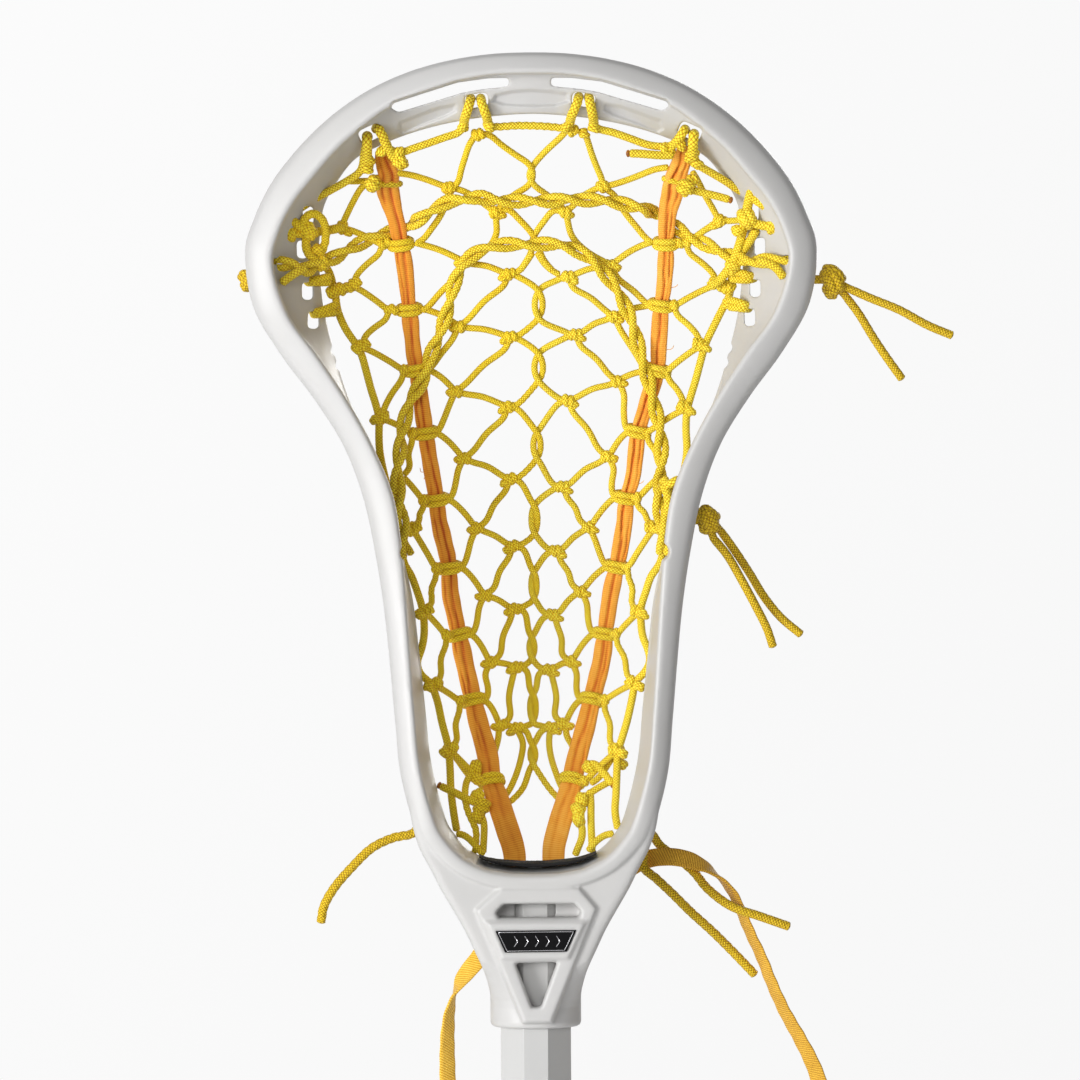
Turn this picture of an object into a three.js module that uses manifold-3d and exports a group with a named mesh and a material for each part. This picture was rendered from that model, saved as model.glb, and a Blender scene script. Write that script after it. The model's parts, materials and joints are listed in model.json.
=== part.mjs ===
// Lacrosse stick: a moulded head laced with a traditional pocket, on a metal shaft.
// Units are millimetres. +Z runs along the shaft towards the head, +X is to the right of
// somebody facing the open side of the head, and +Y runs from the open side to the back.
// The origin is on the shaft's axis, at the lower edge of the head's collar.
import * as THREE from 'three';
import * as BufferGeometryUtils from 'three/addons/utils/BufferGeometryUtils.js';
import Module from 'manifold-3d';

const wasm = await Module();
wasm.setup();

// ---- driving dimensions -------------------------------------------------------------
const SHAFT_FLATS = 25.4;      // across flats
const SHAFT_FLAT = 8.7;        // width of the four main flats
const SHAFT_WALL = 1.5;
const SHAFT_TOP = 45.0;        // how far the shaft goes into the head
const SHAFT_BOTTOM = -725.0;
const SOCKET_TOP = 46.6;
const FIT = 0.35;              // gap between neighbouring pieces
const COLLAR_R = 16.5;
const COLLAR_H = 16.0;
const THROAT_FRONT = -19.0;    // front face of the throat
const THROAT_BACK = 16.5;
const SHIELD_FRONT = -21.0;
const PLATE_SEAT = -22.6;
const CAP_FLATS = 30.6;
const CAP_LENGTH = 42.0;
const CAP_FLOOR = 4.0;
const PAD_THICK = 2.0;
const PAD_HALF_DEPTH = 12.0;

// ---- head rim: stations from the bottom of the pocket's mouth up to the middle of the
// scoop, for the half with +X: outer x, z; inner x, z of the front bead; inner x, z of the
// back rail; y of the bead's crown; y of the rail's back.
const RIM = [[0.0,49.81,0.0,55.97,0.0,57.66,-21.0,24.0],
  [10.35,50.1,8.71,56.3,8.07,58.12,-21.02,23.82],
  [20.43,52.33,17.27,57.89,16.04,59.51,-21.07,23.53],
  [29.66,56.95,25.02,61.78,23.44,62.7,-21.11,23.23],
  [37.39,63.8,31.14,67.94,29.08,68.48,-21.1,23.02],
  [42.92,72.53,35.55,75.44,32.85,75.59,-21.0,23.0],
  [48.19,92.0,40.89,94.69,37.73,95.0,-20.76,23.4],
  [50.17,112.22,42.83,114.63,39.81,114.98,-20.41,24.16],
  [51.93,132.47,44.24,134.62,41.9,134.97,-20.03,24.92],
  [53.96,152.69,45.58,154.63,44.2,154.94,-19.7,25.32],
  [57.02,172.79,47.27,174.6,48.61,174.57,-19.5,25.0],
  [61.18,192.33,50.31,193.03,52.67,192.3,-19.39,24.09],
  [68.2,211.02,57.3,210.41,57.94,209.7,-19.28,22.74],
  [78.74,228.01,66.2,226.89,66.04,225.91,-19.22,21.06],
  [90.64,244.06,76.37,242.62,71.6,243.13,-19.28,19.15],
  [100.44,261.41,87.23,257.84,75.71,260.72,-19.52,17.09],
  [103.19,281.04,92.71,275.6,77.43,278.67,-20.0,15.0],
  [99.63,293.56,90.51,287.39,76.83,288.85,-20.84,12.7],
  [93.82,305.23,85.14,298.1,75.17,298.83,-22.0,10.07],
  [85.91,315.63,77.66,307.5,70.14,307.67,-23.34,7.31],
  [76.87,325.04,69.78,316.56,63.53,315.42,-24.72,4.59],
  [66.71,333.23,60.73,324.45,54.5,319.99,-25.99,2.09],
  [55.56,340.01,51.06,331.56,44.98,323.69,-27.0,0.0],
  [42.33,345.51,38.83,336.58,33.96,326.7,-28.1,-2.48],
  [28.48,349.14,26.3,340.89,22.73,328.75,-28.94,-4.44],
  [14.31,351.17,13.25,343.18,11.39,330.02,-29.55,-5.93],
  [0.0,351.68,0.0,343.49,0.0,330.53,-30.0,-7.0]];
const CORD_ROUTES = {
  left_centre_lace: [
    [1.0,4,1,[[-23.69,15.95,277.79],[-9.05,17.17,274.1]]],
    [1.0,4,1,[[-6.75,17.48,273.03],[1.32,19.01,267.26]]],
    [1.0,4,1,[[1.33,18.92,267.63],[1.26,21.19,257.82]]],
    [1.0,4,1,[[1.26,21.11,258.18],[-6.39,22.6,251.73]]],
    [1.0,4,1,[[-8.7,17.5,272.88],[-26.09,21.64,255.81]]],
    [1.0,4,1,[[-26.14,15.67,278.61],[-41.17,13.56,284.95]]],
    [1.0,4,1,[[-25.74,16.11,277.11],[-38.3,20.4,261.23]]],
    [1.0,4,1,[[-25.73,21.92,254.65],[-8.64,22.73,251.16]]],
    [1.0,4,1,[[-6.35,22.97,250.12],[1.18,24.3,244.34]]],
    [1.0,4,1,[[1.18,24.22,244.71],[1.11,26.27,234.84]]],
    [1.0,4,1,[[1.12,26.2,235.21],[-7.39,27.93,226.43]]],
    [1.0,4,1,[[-8.31,22.98,250.02],[-27.38,26.8,232.07]]],
    [1.0,4,1,[[-28.13,21.71,255.54],[-38.3,20.4,261.23]]],
    [1.0,4,1,[[-27.63,22.11,253.8],[-35.83,25.41,239.23]]],
    [1.0,4,1,[[-27.07,27.06,230.84],[-9.54,28.04,225.86]]],
    [1.0,4,1,[[-7.43,28.3,224.55],[0.37,30.02,215.8]]],
    [1.0,4,1,[[0.37,29.94,216.16],[0.3,31.89,206.25]]],
    [1.0,4,1,[[0.31,31.82,206.62],[-6.81,33.16,199.78]]],
    [1.0,4,1,[[-9.16,28.3,224.56],[-24.73,31.63,207.57]]],
    [1.0,4,1,[[-29.2,26.81,232.13],[-35.83,25.41,239.23]]],
    [1.0,4,1,[[-28.68,27.23,229.96],[-32.73,29.94,216.16]]],
    [1.0,4,1,[[-24.41,31.92,206.11],[-8.93,33.23,199.41]]],
    [1.0,4,1,[[-7.0,33.53,197.84],[-0.73,35.27,188.95]]],
    [1.0,4,1,[[-0.73,35.2,189.32],[-0.8,37.24,178.62]]],
    [1.0,4,1,[[-0.79,37.18,178.99],[-5.76,37.83,174.99]]],
    [1.0,4,1,[[-8.5,33.53,197.86],[-20.26,36.66,181.86]]],
    [1.0,4,1,[[-26.37,31.62,207.65],[-32.73,29.94,216.16]]],
    [1.0,4,1,[[-25.88,32.06,205.37],[-28.96,34.77,191.53]]],
    [1.0,4,1,[[-19.84,36.95,180.28],[-7.95,37.87,174.73]]],
    [1.0,4,1,[[-6.11,38.14,173.07],[-1.07,39.52,164.57]]],
    [1.0,4,1,[[-1.07,39.46,164.94],[-1.14,41.14,154.57]]],
    [1.0,4,1,[[-1.14,41.08,154.94],[-5.51,41.6,151.77]]],
    [1.0,4,1,[[-7.46,38.14,173.09],[-17.57,40.72,157.14]]],
    [1.0,4,1,[[-21.79,36.66,181.86],[-28.96,34.77,191.53]]],
    [1.0,4,1,[[-21.32,37.06,179.58],[-24.48,39.22,166.42]]],
    [1.0,4,1,[[-17.07,40.98,155.54],[-7.75,41.64,151.52]]],
    [1.0,4,1,[[-6.04,41.79,149.82],[-1.97,42.34,140.49]]],
    [1.0,4,1,[[-1.97,42.33,140.86],[-2.02,42.66,132.34]]],
    [1.0,4,1,[[-2.02,42.64,132.71],[-4.94,42.74,130.22]]],
    [1.0,4,1,[[-7.13,41.78,149.84],[-15.64,42.64,132.4]]],
    [1.0,4,1,[[-18.92,40.72,157.15],[-24.48,39.22,166.42]]],
    [1.0,4,1,[[-18.51,41.02,154.78],[-21.12,42.3,141.6]]],
    [1.0,4,1,[[-14.93,42.71,131.0],[-7.21,42.76,129.61]]],
    [1.0,4,1,[[-5.43,42.68,128.18],[-1.73,42.03,119.4]]],
    [1.0,4,1,[[-1.73,42.12,119.76],[-1.79,39.61,109.1]]],
    [1.0,4,1,[[-1.79,39.7,109.47],[-4.95,39.25,107.57]]],
    [1.0,4,1,[[-6.31,42.57,128.15],[-12.25,39.55,109.23]]],
    [1.0,4,1,[[-16.77,42.65,132.4],[-21.12,42.3,141.6]]],
    [1.0,4,1,[[-16.18,42.59,129.93],[-15.92,41.51,117.19]]],
    [1.0,4,1,[[-11.35,39.3,107.79],[-7.33,39.14,107.12]]],
    [1.0,4,1,[[-5.34,38.84,105.84],[-1.84,37.62,100.67]]],
    [1.0,4,1,[[-1.84,37.71,101.03],[-1.88,34.24,93.4]]],
    [1.0,4,1,[[-13.06,39.63,109.2],[-15.92,41.51,117.19]]],
    [1.0,4,1,[[-12.58,39.05,106.74],[-12.3,37.36,99.57]]],
    [1.0,4,1,[[-5.84,38.8,105.65],[-4.55,37.02,98.1],[-5.69,32.73,90.88]]],
    [1.0,4,1,[[-1.88,34.46,93.76],[-3.86,30.57,87.28]]],
    [1.0,4,1,[[-11.93,10.17,295.1],[-0.78,14.76,281.35]]],
    [1.0,4,1,[[-0.78,14.76,281.35],[-6.93,16.97,274.71]]],
    [1.0,4,2,[[-12.73,10.25,294.85],[-12.78,12.0,289.62],[-24.03,15.55,278.98]]],
    [1.0,4,1,[[-1.29,3.02,312.08],[-1.34,5.87,306.07]]],
    [1.0,4,1,[[-1.33,5.7,306.42],[-11.79,9.5,296.92]]],
    [1.0,4,1,[[-14.65,-2.24,321.56],[-1.3,3.18,311.73]]],
    [1.0,4,1,[[-28.22,6.61,304.5],[-21.06,8.04,301.45],[-13.8,9.61,296.77]]],
    [1.0,4,1,[[-28.79,5.89,306.04],[-23.82,1.84,314.56],[-21.2,-1.59,320.52]]],
    [1.0,4,1,[[-30.64,6.21,305.36],[-36.65,5.37,307.13],[-44.63,4.36,309.25]]],
    [1.0,4,1,[[-29.66,6.84,303.81],[-31.33,9.84,296.08],[-41.17,13.56,284.95]]]
  ],
  right_centre_lace: [
    [1.0,4,1,[[28.3,16.42,276.37],[14.34,17.54,273.0]]],
    [1.0,4,1,[[11.98,17.81,272.04],[4.03,19.01,267.26]]],
    [1.0,4,1,[[4.04,18.92,267.63],[3.98,21.19,257.82]]],
    [1.0,4,1,[[3.98,21.11,258.18],[14.59,22.47,252.26]]],
    [1.0,4,1,[[14.06,17.84,271.87],[29.62,20.95,258.83]]],
    [1.0,4,1,[[30.66,16.1,277.33],[42.82,13.68,284.59]]],
    [1.0,4,1,[[30.35,16.59,275.67],[40.96,20.18,262.18]]],
    [1.0,4,1,[[29.41,21.27,257.49],[16.91,22.5,252.14]]],
    [1.0,4,1,[[14.62,22.78,250.95],[3.89,24.3,244.34]]],
    [1.0,4,1,[[3.9,24.22,244.71],[3.83,26.27,234.84]]],
    [1.0,4,1,[[3.84,26.2,235.21],[11.86,27.55,228.37]]],
    [1.0,4,1,[[16.6,22.82,250.7],[31.11,26.14,235.41]]],
    [1.0,4,1,[[31.8,21.04,258.48],[40.96,20.18,262.18]]],
    [1.0,4,1,[[31.14,21.41,256.85],[39.8,25.55,238.5]]],
    [1.0,4,1,[[30.77,26.43,234.04],[14.06,27.62,227.97]]],
    [1.0,4,1,[[12.02,27.9,226.54],[3.09,30.02,215.8]]],
    [1.0,4,1,[[3.09,29.94,216.16],[3.03,31.89,206.25]]],
    [1.0,4,1,[[3.03,31.82,206.62],[9.93,33.7,196.99]]],
    [1.0,4,1,[[13.61,27.91,226.5],[27.43,31.54,208.01]]],
    [1.0,4,1,[[33.14,26.22,235.07],[39.8,25.55,238.5]]],
    [1.0,4,1,[[32.02,26.59,233.2],[32.37,29.94,216.16]]],
    [1.0,4,1,[[27.11,31.87,206.29],[11.77,33.76,196.64]]],
    [1.0,4,1,[[9.68,34.06,195.14],[2.0,35.27,188.95]]],
    [1.0,4,1,[[2.0,35.2,189.32],[1.94,37.24,178.62]]],
    [1.0,4,1,[[1.94,37.18,178.99],[7.4,38.11,173.27]]],
    [1.0,4,1,[[11.41,34.11,194.89],[20.35,36.65,181.89]]],
    [1.0,4,1,[[28.73,31.51,208.15],[32.37,29.94,216.16]]],
    [1.0,4,1,[[28.17,31.99,205.7],[27.85,34.7,191.9]]],
    [1.0,4,1,[[20.0,36.98,180.11],[9.37,38.14,173.06]]],
    [1.0,4,1,[[7.45,38.42,171.36],[1.66,39.52,164.57]]],
    [1.0,4,1,[[1.67,39.46,164.94],[1.6,41.14,154.57]]],
    [1.0,4,1,[[1.6,41.08,154.94],[6.03,41.87,149.63]]],
    [1.0,4,1,[[8.98,38.44,171.25],[17.31,40.54,158.24]]],
    [1.0,4,1,[[21.75,36.65,181.92],[27.85,34.7,191.9]]],
    [1.0,4,1,[[21.36,37.07,179.58],[24.36,39.22,166.42]]],
    [1.0,4,1,[[16.97,40.84,156.37],[7.89,41.9,149.43]]],
    [1.0,4,1,[[6.08,42.06,147.6],[0.77,42.34,140.49]]],
    [1.0,4,1,[[0.77,42.33,140.86],[0.72,42.66,132.34]]],
    [1.0,4,1,[[0.72,42.64,132.71],[4.32,42.78,129.17]]],
    [1.0,4,1,[[7.36,42.07,147.44],[13.65,42.65,132.43]]],
    [1.0,4,1,[[18.73,40.55,158.22],[24.36,39.22,166.42]]],
    [1.0,4,1,[[18.16,40.85,155.88],[19.91,42.3,141.6]]],
    [1.0,4,1,[[12.92,42.72,130.82],[6.48,42.8,128.67]]],
    [1.0,4,1,[[4.69,42.72,127.09],[1.01,42.03,119.4]]],
    [1.0,4,1,[[1.01,42.12,119.76],[0.95,39.61,109.1]]],
    [1.0,4,1,[[0.95,39.7,109.47],[4.71,39.23,107.5]]],
    [1.0,4,1,[[5.63,42.61,127.03],[11.03,39.65,109.6]]],
    [1.0,4,1,[[14.78,42.66,132.37],[19.91,42.3,141.6]]],
    [1.0,4,1,[[14.22,42.59,129.94],[14.88,41.51,117.19]]],
    [1.0,4,1,[[10.16,39.36,108.04],[7.1,39.17,107.23]]],
    [1.0,4,1,[[5.05,38.85,105.9],[0.89,37.62,100.67]]],
    [1.0,4,1,[[0.9,37.71,101.03],[0.85,34.24,93.4]]],
    [1.0,4,1,[[11.87,39.72,109.55],[14.88,41.51,117.19]]],
    [1.0,4,1,[[11.52,39.14,107.11],[12.09,37.54,100.3]]],
    [1.0,4,1,[[5.79,38.79,105.64],[5.42,37.02,98.1],[6.85,33.16,91.6]]],
    [1.0,4,1,[[0.85,34.46,93.76],[3.87,30.57,87.28]]],
    [1.0,4,1,[[11.73,10.3,294.7],[2.15,14.76,281.35]]],
    [1.0,4,1,[[2.15,14.76,281.35],[12.08,17.38,273.49]]],
    [1.0,4,2,[[12.74,10.36,294.52],[13.89,12.0,289.62],[28.58,16.05,277.48]]],
    [1.0,4,1,[[1.62,3.02,312.08],[1.58,5.87,306.07]]],
    [1.0,4,1,[[1.58,5.7,306.42],[11.57,9.61,296.6]]],
    [1.0,4,1,[[12.2,-2.24,321.56],[1.61,3.18,311.73]]],
    [1.0,4,1,[[25.17,6.62,304.49],[19.05,7.89,301.81],[13.39,9.67,296.58]]],
    [1.0,4,1,[[25.92,5.85,306.11],[22.72,1.84,314.56],[19.46,-2.67,322.26]]],
    [1.0,4,1,[[27.6,6.23,305.31],[38.0,5.03,307.84],[44.18,3.86,310.32]]],
    [1.0,4,1,[[27.26,6.75,304.16],[31.44,8.4,300.38],[42.82,13.68,284.59]]]
  ],
  left_outer_lace: [
    [1.0,4,1,[[-67.74,9.66,290.52],[-52.18,13.56,284.95]]],
    [1.0,4,1,[[-52.18,13.56,284.95],[-64.7,14.35,270.97]]],
    [1.0,4,1,[[-64.48,14.81,269.41],[-49.35,20.4,261.23]]],
    [1.0,4,1,[[-49.35,20.4,261.23],[-61.75,17.98,248.72]]],
    [1.0,4,1,[[-61.61,18.31,247.24],[-46.9,25.41,239.23]]],
    [1.0,4,1,[[-46.9,25.41,239.23],[-55.24,21.6,222.65]]],
    [1.0,4,1,[[-54.82,22.05,221.07],[-43.82,29.94,216.16]]],
    [1.0,4,1,[[-43.82,29.94,216.16],[-47.65,25.21,201.48]]],
    [1.0,4,1,[[-47.3,25.66,199.54],[-40.08,34.77,191.53]]],
    [1.0,4,1,[[-40.08,34.77,191.53],[-44.04,27.07,181.78]]],
    [1.0,4,1,[[-43.9,27.09,179.93],[-35.63,39.22,166.42]]],
    [1.0,4,1,[[-35.63,39.22,166.42],[-39.93,26.89,151.43]]],
    [1.0,4,1,[[-39.7,27.13,149.88],[-32.27,42.3,141.6]]],
    [1.0,4,1,[[-32.27,42.3,141.6],[-36.81,26.34,124.42]]],
    [1.0,4,1,[[-36.41,26.52,123.08],[-27.07,41.51,117.19]]],
    [1.0,4,1,[[-27.07,41.51,117.19],[-31.1,26.45,100.55]]],
    [1.0,4,1,[[-30.5,25.99,98.68],[-20.44,30.78,87.64]]],
    [1.0,4,1,[[-62.19,6.21,303.17],[-68.32,9.07,292.06]]],
    [1.0,4,1,[[-70.2,9.29,290.68],[-75.13,9.02,289.65]]]
  ],
  right_outer_lace: [
    [1.0,4,1,[[67.86,9.31,291.82],[53.84,13.68,284.59]]],
    [1.0,4,1,[[53.84,13.68,284.59],[67.34,14.08,270.56]]],
    [1.0,4,1,[[67.12,14.53,269.11],[52.01,20.18,262.18]]],
    [1.0,4,1,[[52.01,20.18,262.18],[61.63,18.41,248.52]]],
    [1.0,4,1,[[61.45,18.85,246.74],[50.88,25.55,238.5]]],
    [1.0,4,1,[[50.88,25.55,238.5],[56.15,21.62,225.6]]],
    [1.0,4,1,[[55.66,21.9,223.84],[43.47,29.94,216.16]]],
    [1.0,4,1,[[43.47,29.94,216.16],[48.58,24.58,202.51]]],
    [1.0,4,1,[[48.26,24.92,200.66],[38.97,34.7,191.9]]],
    [1.0,4,1,[[38.97,34.7,191.9],[44.21,26.55,181.58]]],
    [1.0,4,1,[[44.14,26.61,179.77],[35.5,39.22,166.42]]],
    [1.0,4,1,[[35.5,39.22,166.42],[38.79,27.71,150.77]]],
    [1.0,4,1,[[38.47,27.99,149.19],[31.07,42.3,141.6]]],
    [1.0,4,1,[[31.07,42.3,141.6],[36.85,25.89,124.41]]],
    [1.0,4,1,[[36.47,26.05,123.11],[26.03,41.51,117.19]]],
    [1.0,4,1,[[26.03,41.51,117.19],[30.51,26.38,99.83]]],
    [1.0,4,1,[[29.84,25.93,98.04],[18.37,30.78,87.64]]],
    [1.0,4,1,[[61.29,5.41,305.31],[68.32,8.66,293.48]]],
    [1.0,4,1,[[70.26,8.86,292.24],[75.51,8.46,291.63]]]
  ],
  left_sidewall_string: [
    [1.2,5,1,[[-74.39,16.81,275.96],[-72.99,17.74,270.51],[-71.95,18.5,265.41],[-71.27,19.2,259.94],[-68.41,20.4,254.85],[-64.48,22.13,247.58],[-61.27,23.72,239.18],[-58.43,25.16,230.41],[-55.94,26.14,221.61],[-54.89,26.05,213.15],[-53.83,25.77,203.96],[-51.35,26.07,191.1],[-48.15,26.81,176.4],[-45.3,27.27,163.53],[-41.73,29.44,152.84],[-40.68,29.25,144.38],[-40.34,28.26,135.93],[-38.93,28.45,126.36],[-36.07,30.13,117.49],[-33.21,30.01,104.6],[-31.41,29.2,95.43],[-30.7,26.44,84.5],[-29.27,24.94,75.38],[-27.47,24.91,69.5]]]
  ],
  right_sidewall_string: [
    [1.2,5,1,[[73.11,18.05,267.96],[71.64,18.83,263.59],[67.98,20.43,257.42],[63.59,22.67,247.96],[61.37,24.16,239.56],[59.14,25.2,231.51],[56.91,25.9,223.44],[55.73,25.47,213.14],[53.48,25.97,203.96],[50.83,26.28,191.1],[47.45,27.33,176.4],[44.8,27.67,163.53],[40.37,30.66,152.83],[39.93,29.61,142.9],[39.87,28.65,135.92],[38.34,28.97,126.35],[36.07,29.32,115.67],[33.06,29.78,104.61],[31.16,29.03,95.43],[30.33,26.86,86.32],[29.51,24.96,76.48],[27.64,24.91,69.87]]]
  ],
  upper_shooting_cord_a: [
    [1.35,6,1,[[-86.24,-8.0,277.87],[-82.18,-4.0,276.99],[-77.3,0.0,278.87],[-70.24,3.5,281.9],[-61.19,7.0,286.81],[-53.7,5.19,289.69],[-46.53,4.92,292.17],[-35.48,2.88,298.27],[-24.14,1.8,301.6],[-12.98,1.8,301.61],[-0.3,1.92,301.26],[12.45,1.68,301.97],[25.33,1.92,301.25],[34.62,2.4,299.79],[45.85,3.48,296.46],[53.31,4.93,290.98],[58.68,7.0,288.24],[68.69,3.5,283.0],[77.08,0.0,279.64],[82.08,-4.0,278.8],[86.53,-8.0,278.62]]]
  ],
  upper_shooting_cord_b: [
    [1.35,6,1,[[-86.87,-8.0,274.73],[-81.83,-4.0,273.8],[-76.1,0.0,275.91],[-68.82,3.5,279.02],[-59.82,7.0,283.91],[-52.6,5.19,286.68],[-45.17,4.92,289.27],[-34.23,2.88,295.33],[-23.67,1.8,298.43],[-13.02,1.8,298.41],[-0.26,1.92,298.06],[12.45,1.68,298.77],[25.02,1.92,298.06],[33.9,2.4,296.67],[44.49,3.48,293.57],[51.58,4.93,288.28],[57.2,7.0,285.4],[67.33,3.5,280.1],[76.13,0.0,276.59],[81.73,-4.0,275.62],[86.4,-8.0,275.43]]]
  ],
  lower_shooting_cord_a: [
    [1.35,6,1,[[-50.73,12.0,199.2],[-49.71,18.35,209.54],[-48.54,19.0,219.22],[-45.83,19.48,228.7],[-40.99,19.38,236.82],[-38.41,17.78,244.33],[-35.02,15.77,253.05],[-32.04,13.75,261.68],[-29.73,11.82,270.1],[-25.77,9.6,277.72],[-19.27,7.92,283.23],[-7.85,7.14,285.68],[5.22,7.02,286.05],[16.57,7.8,283.62],[24.71,9.36,278.65],[30.77,11.65,271.18],[34.5,13.08,264.86],[37.88,14.59,258.12],[41.18,17.28,246.37],[44.08,19.74,234.71],[46.96,19.86,224.41],[48.75,18.9,214.28],[49.04,18.64,202.0],[48.11,12.0,191.96]]]
  ],
  lower_shooting_cord_b: [
    [1.35,6,1,[[-47.54,12.0,198.89],[-46.53,18.35,209.19],[-45.41,19.0,218.59],[-42.89,19.48,227.44],[-38.1,19.38,235.44],[-35.4,17.78,243.22],[-32.02,15.77,251.95],[-28.98,13.75,260.73],[-26.75,11.82,268.95],[-23.26,9.6,275.74],[-17.99,7.92,280.29],[-7.49,7.14,282.5],[4.95,7.02,282.86],[15.44,7.8,280.62],[22.59,9.36,276.25],[28.16,11.65,269.33],[31.69,13.08,263.33],[34.86,14.59,257.03],[38.09,17.28,245.55],[40.98,19.74,233.9],[43.84,19.86,223.69],[45.56,18.9,213.99],[45.84,18.64,202.09],[44.92,12.0,192.25]]]
  ],
  top_string: [
    [1.25,4,1,[[71.67,-0.8,305.68],[69.48,-1.2,307.11],[64.34,-4.0,309.84],[60.28,-7.5,312.89],[59.54,-9.5,317.47]]],
    [1.25,4,1,[[59.53,-9.5,317.11],[59.0,-11.8,322.02]]],
    [1.25,4,1,[[59.0,-11.8,322.02],[58.8,-13.0,324.47]]],
    [1.25,4,1,[[58.8,-13.9,324.47],[59.15,1.0,325.41]]],
    [1.25,4,1,[[54.18,-7.0,319.8],[56.83,-11.8,322.02]]],
    [1.25,4,1,[[56.83,-11.8,322.02],[57.06,-13.0,324.47]]],
    [1.25,4,1,[[57.06,-13.9,324.47],[57.41,1.0,325.41]]],
    [1.25,4,1,[[54.18,-7.0,320.16],[49.83,-7.0,318.35],[43.3,-7.5,319.05],[36.07,-8.0,321.55],[29.56,-8.5,323.69],[24.5,-9.0,325.1]]],
    [1.25,4,1,[[24.5,-9.0,325.46],[20.69,-16.6,332.52]]],
    [1.25,4,1,[[20.69,-16.6,332.52],[20.45,-17.8,335.68]]],
    [1.25,4,1,[[20.45,-18.7,335.68],[20.54,-6.0,336.53]]],
    [1.25,4,1,[[14.02,-9.0,326.19],[18.17,-16.6,332.52]]],
    [1.25,4,1,[[18.17,-16.6,332.52],[18.43,-17.8,335.68]]],
    [1.25,4,1,[[18.43,-18.7,335.68],[18.51,-6.0,336.53]]],
    [1.25,4,1,[[14.01,-9.0,325.82],[3.52,-9.0,325.82],[-5.52,-9.0,325.82],[-14.93,-9.0,325.82]]],
    [1.25,4,1,[[-14.93,-9.0,325.82],[-18.25,-16.6,332.16]]],
    [1.25,4,1,[[-18.25,-16.6,332.16],[-18.47,-17.8,335.32]]],
    [1.25,4,1,[[-18.47,-18.7,335.32],[-18.59,-6.0,336.17]]],
    [1.25,4,1,[[-23.98,-9.0,325.82],[-20.78,-16.6,332.16]]],
    [1.25,4,1,[[-20.78,-16.6,332.16],[-20.49,-17.8,335.32]]],
    [1.25,4,1,[[-20.49,-18.7,335.32],[-20.62,-6.0,336.17]]],
    [1.25,4,1,[[-23.97,-9.0,326.19],[-25.44,-8.5,324.05],[-36.33,-8.0,320.46],[-47.23,-7.0,317.27],[-50.84,-7.0,318.35],[-53.37,-7.0,320.16]]],
    [1.25,4,1,[[-53.37,-7.0,319.8],[-56.34,-11.8,321.66]]],
    [1.25,4,1,[[-56.34,-11.8,321.66],[-56.54,-13.0,324.11]]],
    [1.25,4,1,[[-56.54,-13.9,324.11],[-56.92,1.0,325.05]]],
    [1.25,4,1,[[-59.47,-9.5,318.19],[-58.51,-11.8,321.66]]],
    [1.25,4,1,[[-58.51,-11.8,321.66],[-58.27,-13.0,324.11]]],
    [1.25,4,1,[[-58.27,-13.9,324.11],[-58.66,1.0,325.05]]],
    [1.25,4,1,[[-59.46,-9.5,318.56],[-61.0,-7.5,313.25],[-62.56,-4.5,309.81],[-66.28,-2.0,307.42],[-71.43,-0.5,304.61]]]
  ],
};
const KNOTS = {
  left_centre_lace: [[2.2,[-24.95,15.84,278.11]],[2.2,[-7.79,17.28,273.78]],[2.2,[-27.0,21.86,254.91]],[2.2,[-7.37,22.79,250.9]],[2.2,[-28.32,26.99,231.19]],[2.2,[-8.29,28.11,225.51]],[2.2,[-25.6,31.82,206.62]],[2.2,[-7.74,33.33,198.89]],[2.2,[-21.02,36.86,180.83]],[2.2,[-6.77,37.96,174.18]],[2.2,[-18.26,40.9,156.05]],[2.2,[-6.56,41.72,151.01]],[2.2,[-16.21,42.7,131.23]],[2.2,[-5.93,42.77,129.38]],[2.2,[-12.63,39.35,108.0]],[2.2,[-6.05,39.09,106.9]],[2.2,[-12.72,9.84,296.08]],[2.2,[-29.4,6.38,305.0]]],
  right_centre_lace: [[2.2,[29.56,16.32,276.67]],[2.2,[13.08,17.64,272.7]],[2.2,[30.6,21.15,258.0]],[2.2,[15.72,22.62,251.63]],[2.2,[31.99,26.34,234.48]],[2.2,[12.84,27.71,227.53]],[2.2,[28.2,31.74,206.98]],[2.2,[10.68,33.9,195.95]],[2.2,[21.08,36.86,180.83]],[2.2,[8.29,38.26,172.34]],[2.2,[18.0,40.72,157.16]],[2.2,[6.86,42.02,148.64]],[2.2,[14.15,42.7,131.23]],[2.2,[5.25,42.82,128.26]],[2.2,[11.41,39.44,108.37]],[2.2,[5.85,39.09,106.9]],[2.2,[12.46,9.96,295.72]],[2.2,[26.34,6.38,305.0]]],
  left_outer_lace: [[2.2,[-68.93,9.36,290.95]],[2.2,[-65.57,14.41,270.0]],[2.2,[-62.66,17.8,247.81]],[2.2,[-55.81,21.34,221.51]],[2.2,[-47.96,24.82,200.28]],[2.2,[-44.44,26.3,180.81]],[2.2,[-40.21,26.08,150.45]],[2.2,[-37.06,25.47,123.49]],[2.2,[-31.33,25.59,99.6]]],
  right_outer_lace: [[2.2,[68.97,8.96,292.39]],[2.2,[68.24,14.11,269.62]],[2.2,[62.37,18.27,247.46]],[2.2,[56.62,21.27,224.44]],[2.2,[49.01,24.13,201.37]],[2.2,[44.69,25.8,180.63]],[2.2,[39.01,26.95,149.74]],[2.2,[37.16,25.02,123.5]],[2.2,[30.76,25.54,98.87]]],
};
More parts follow.
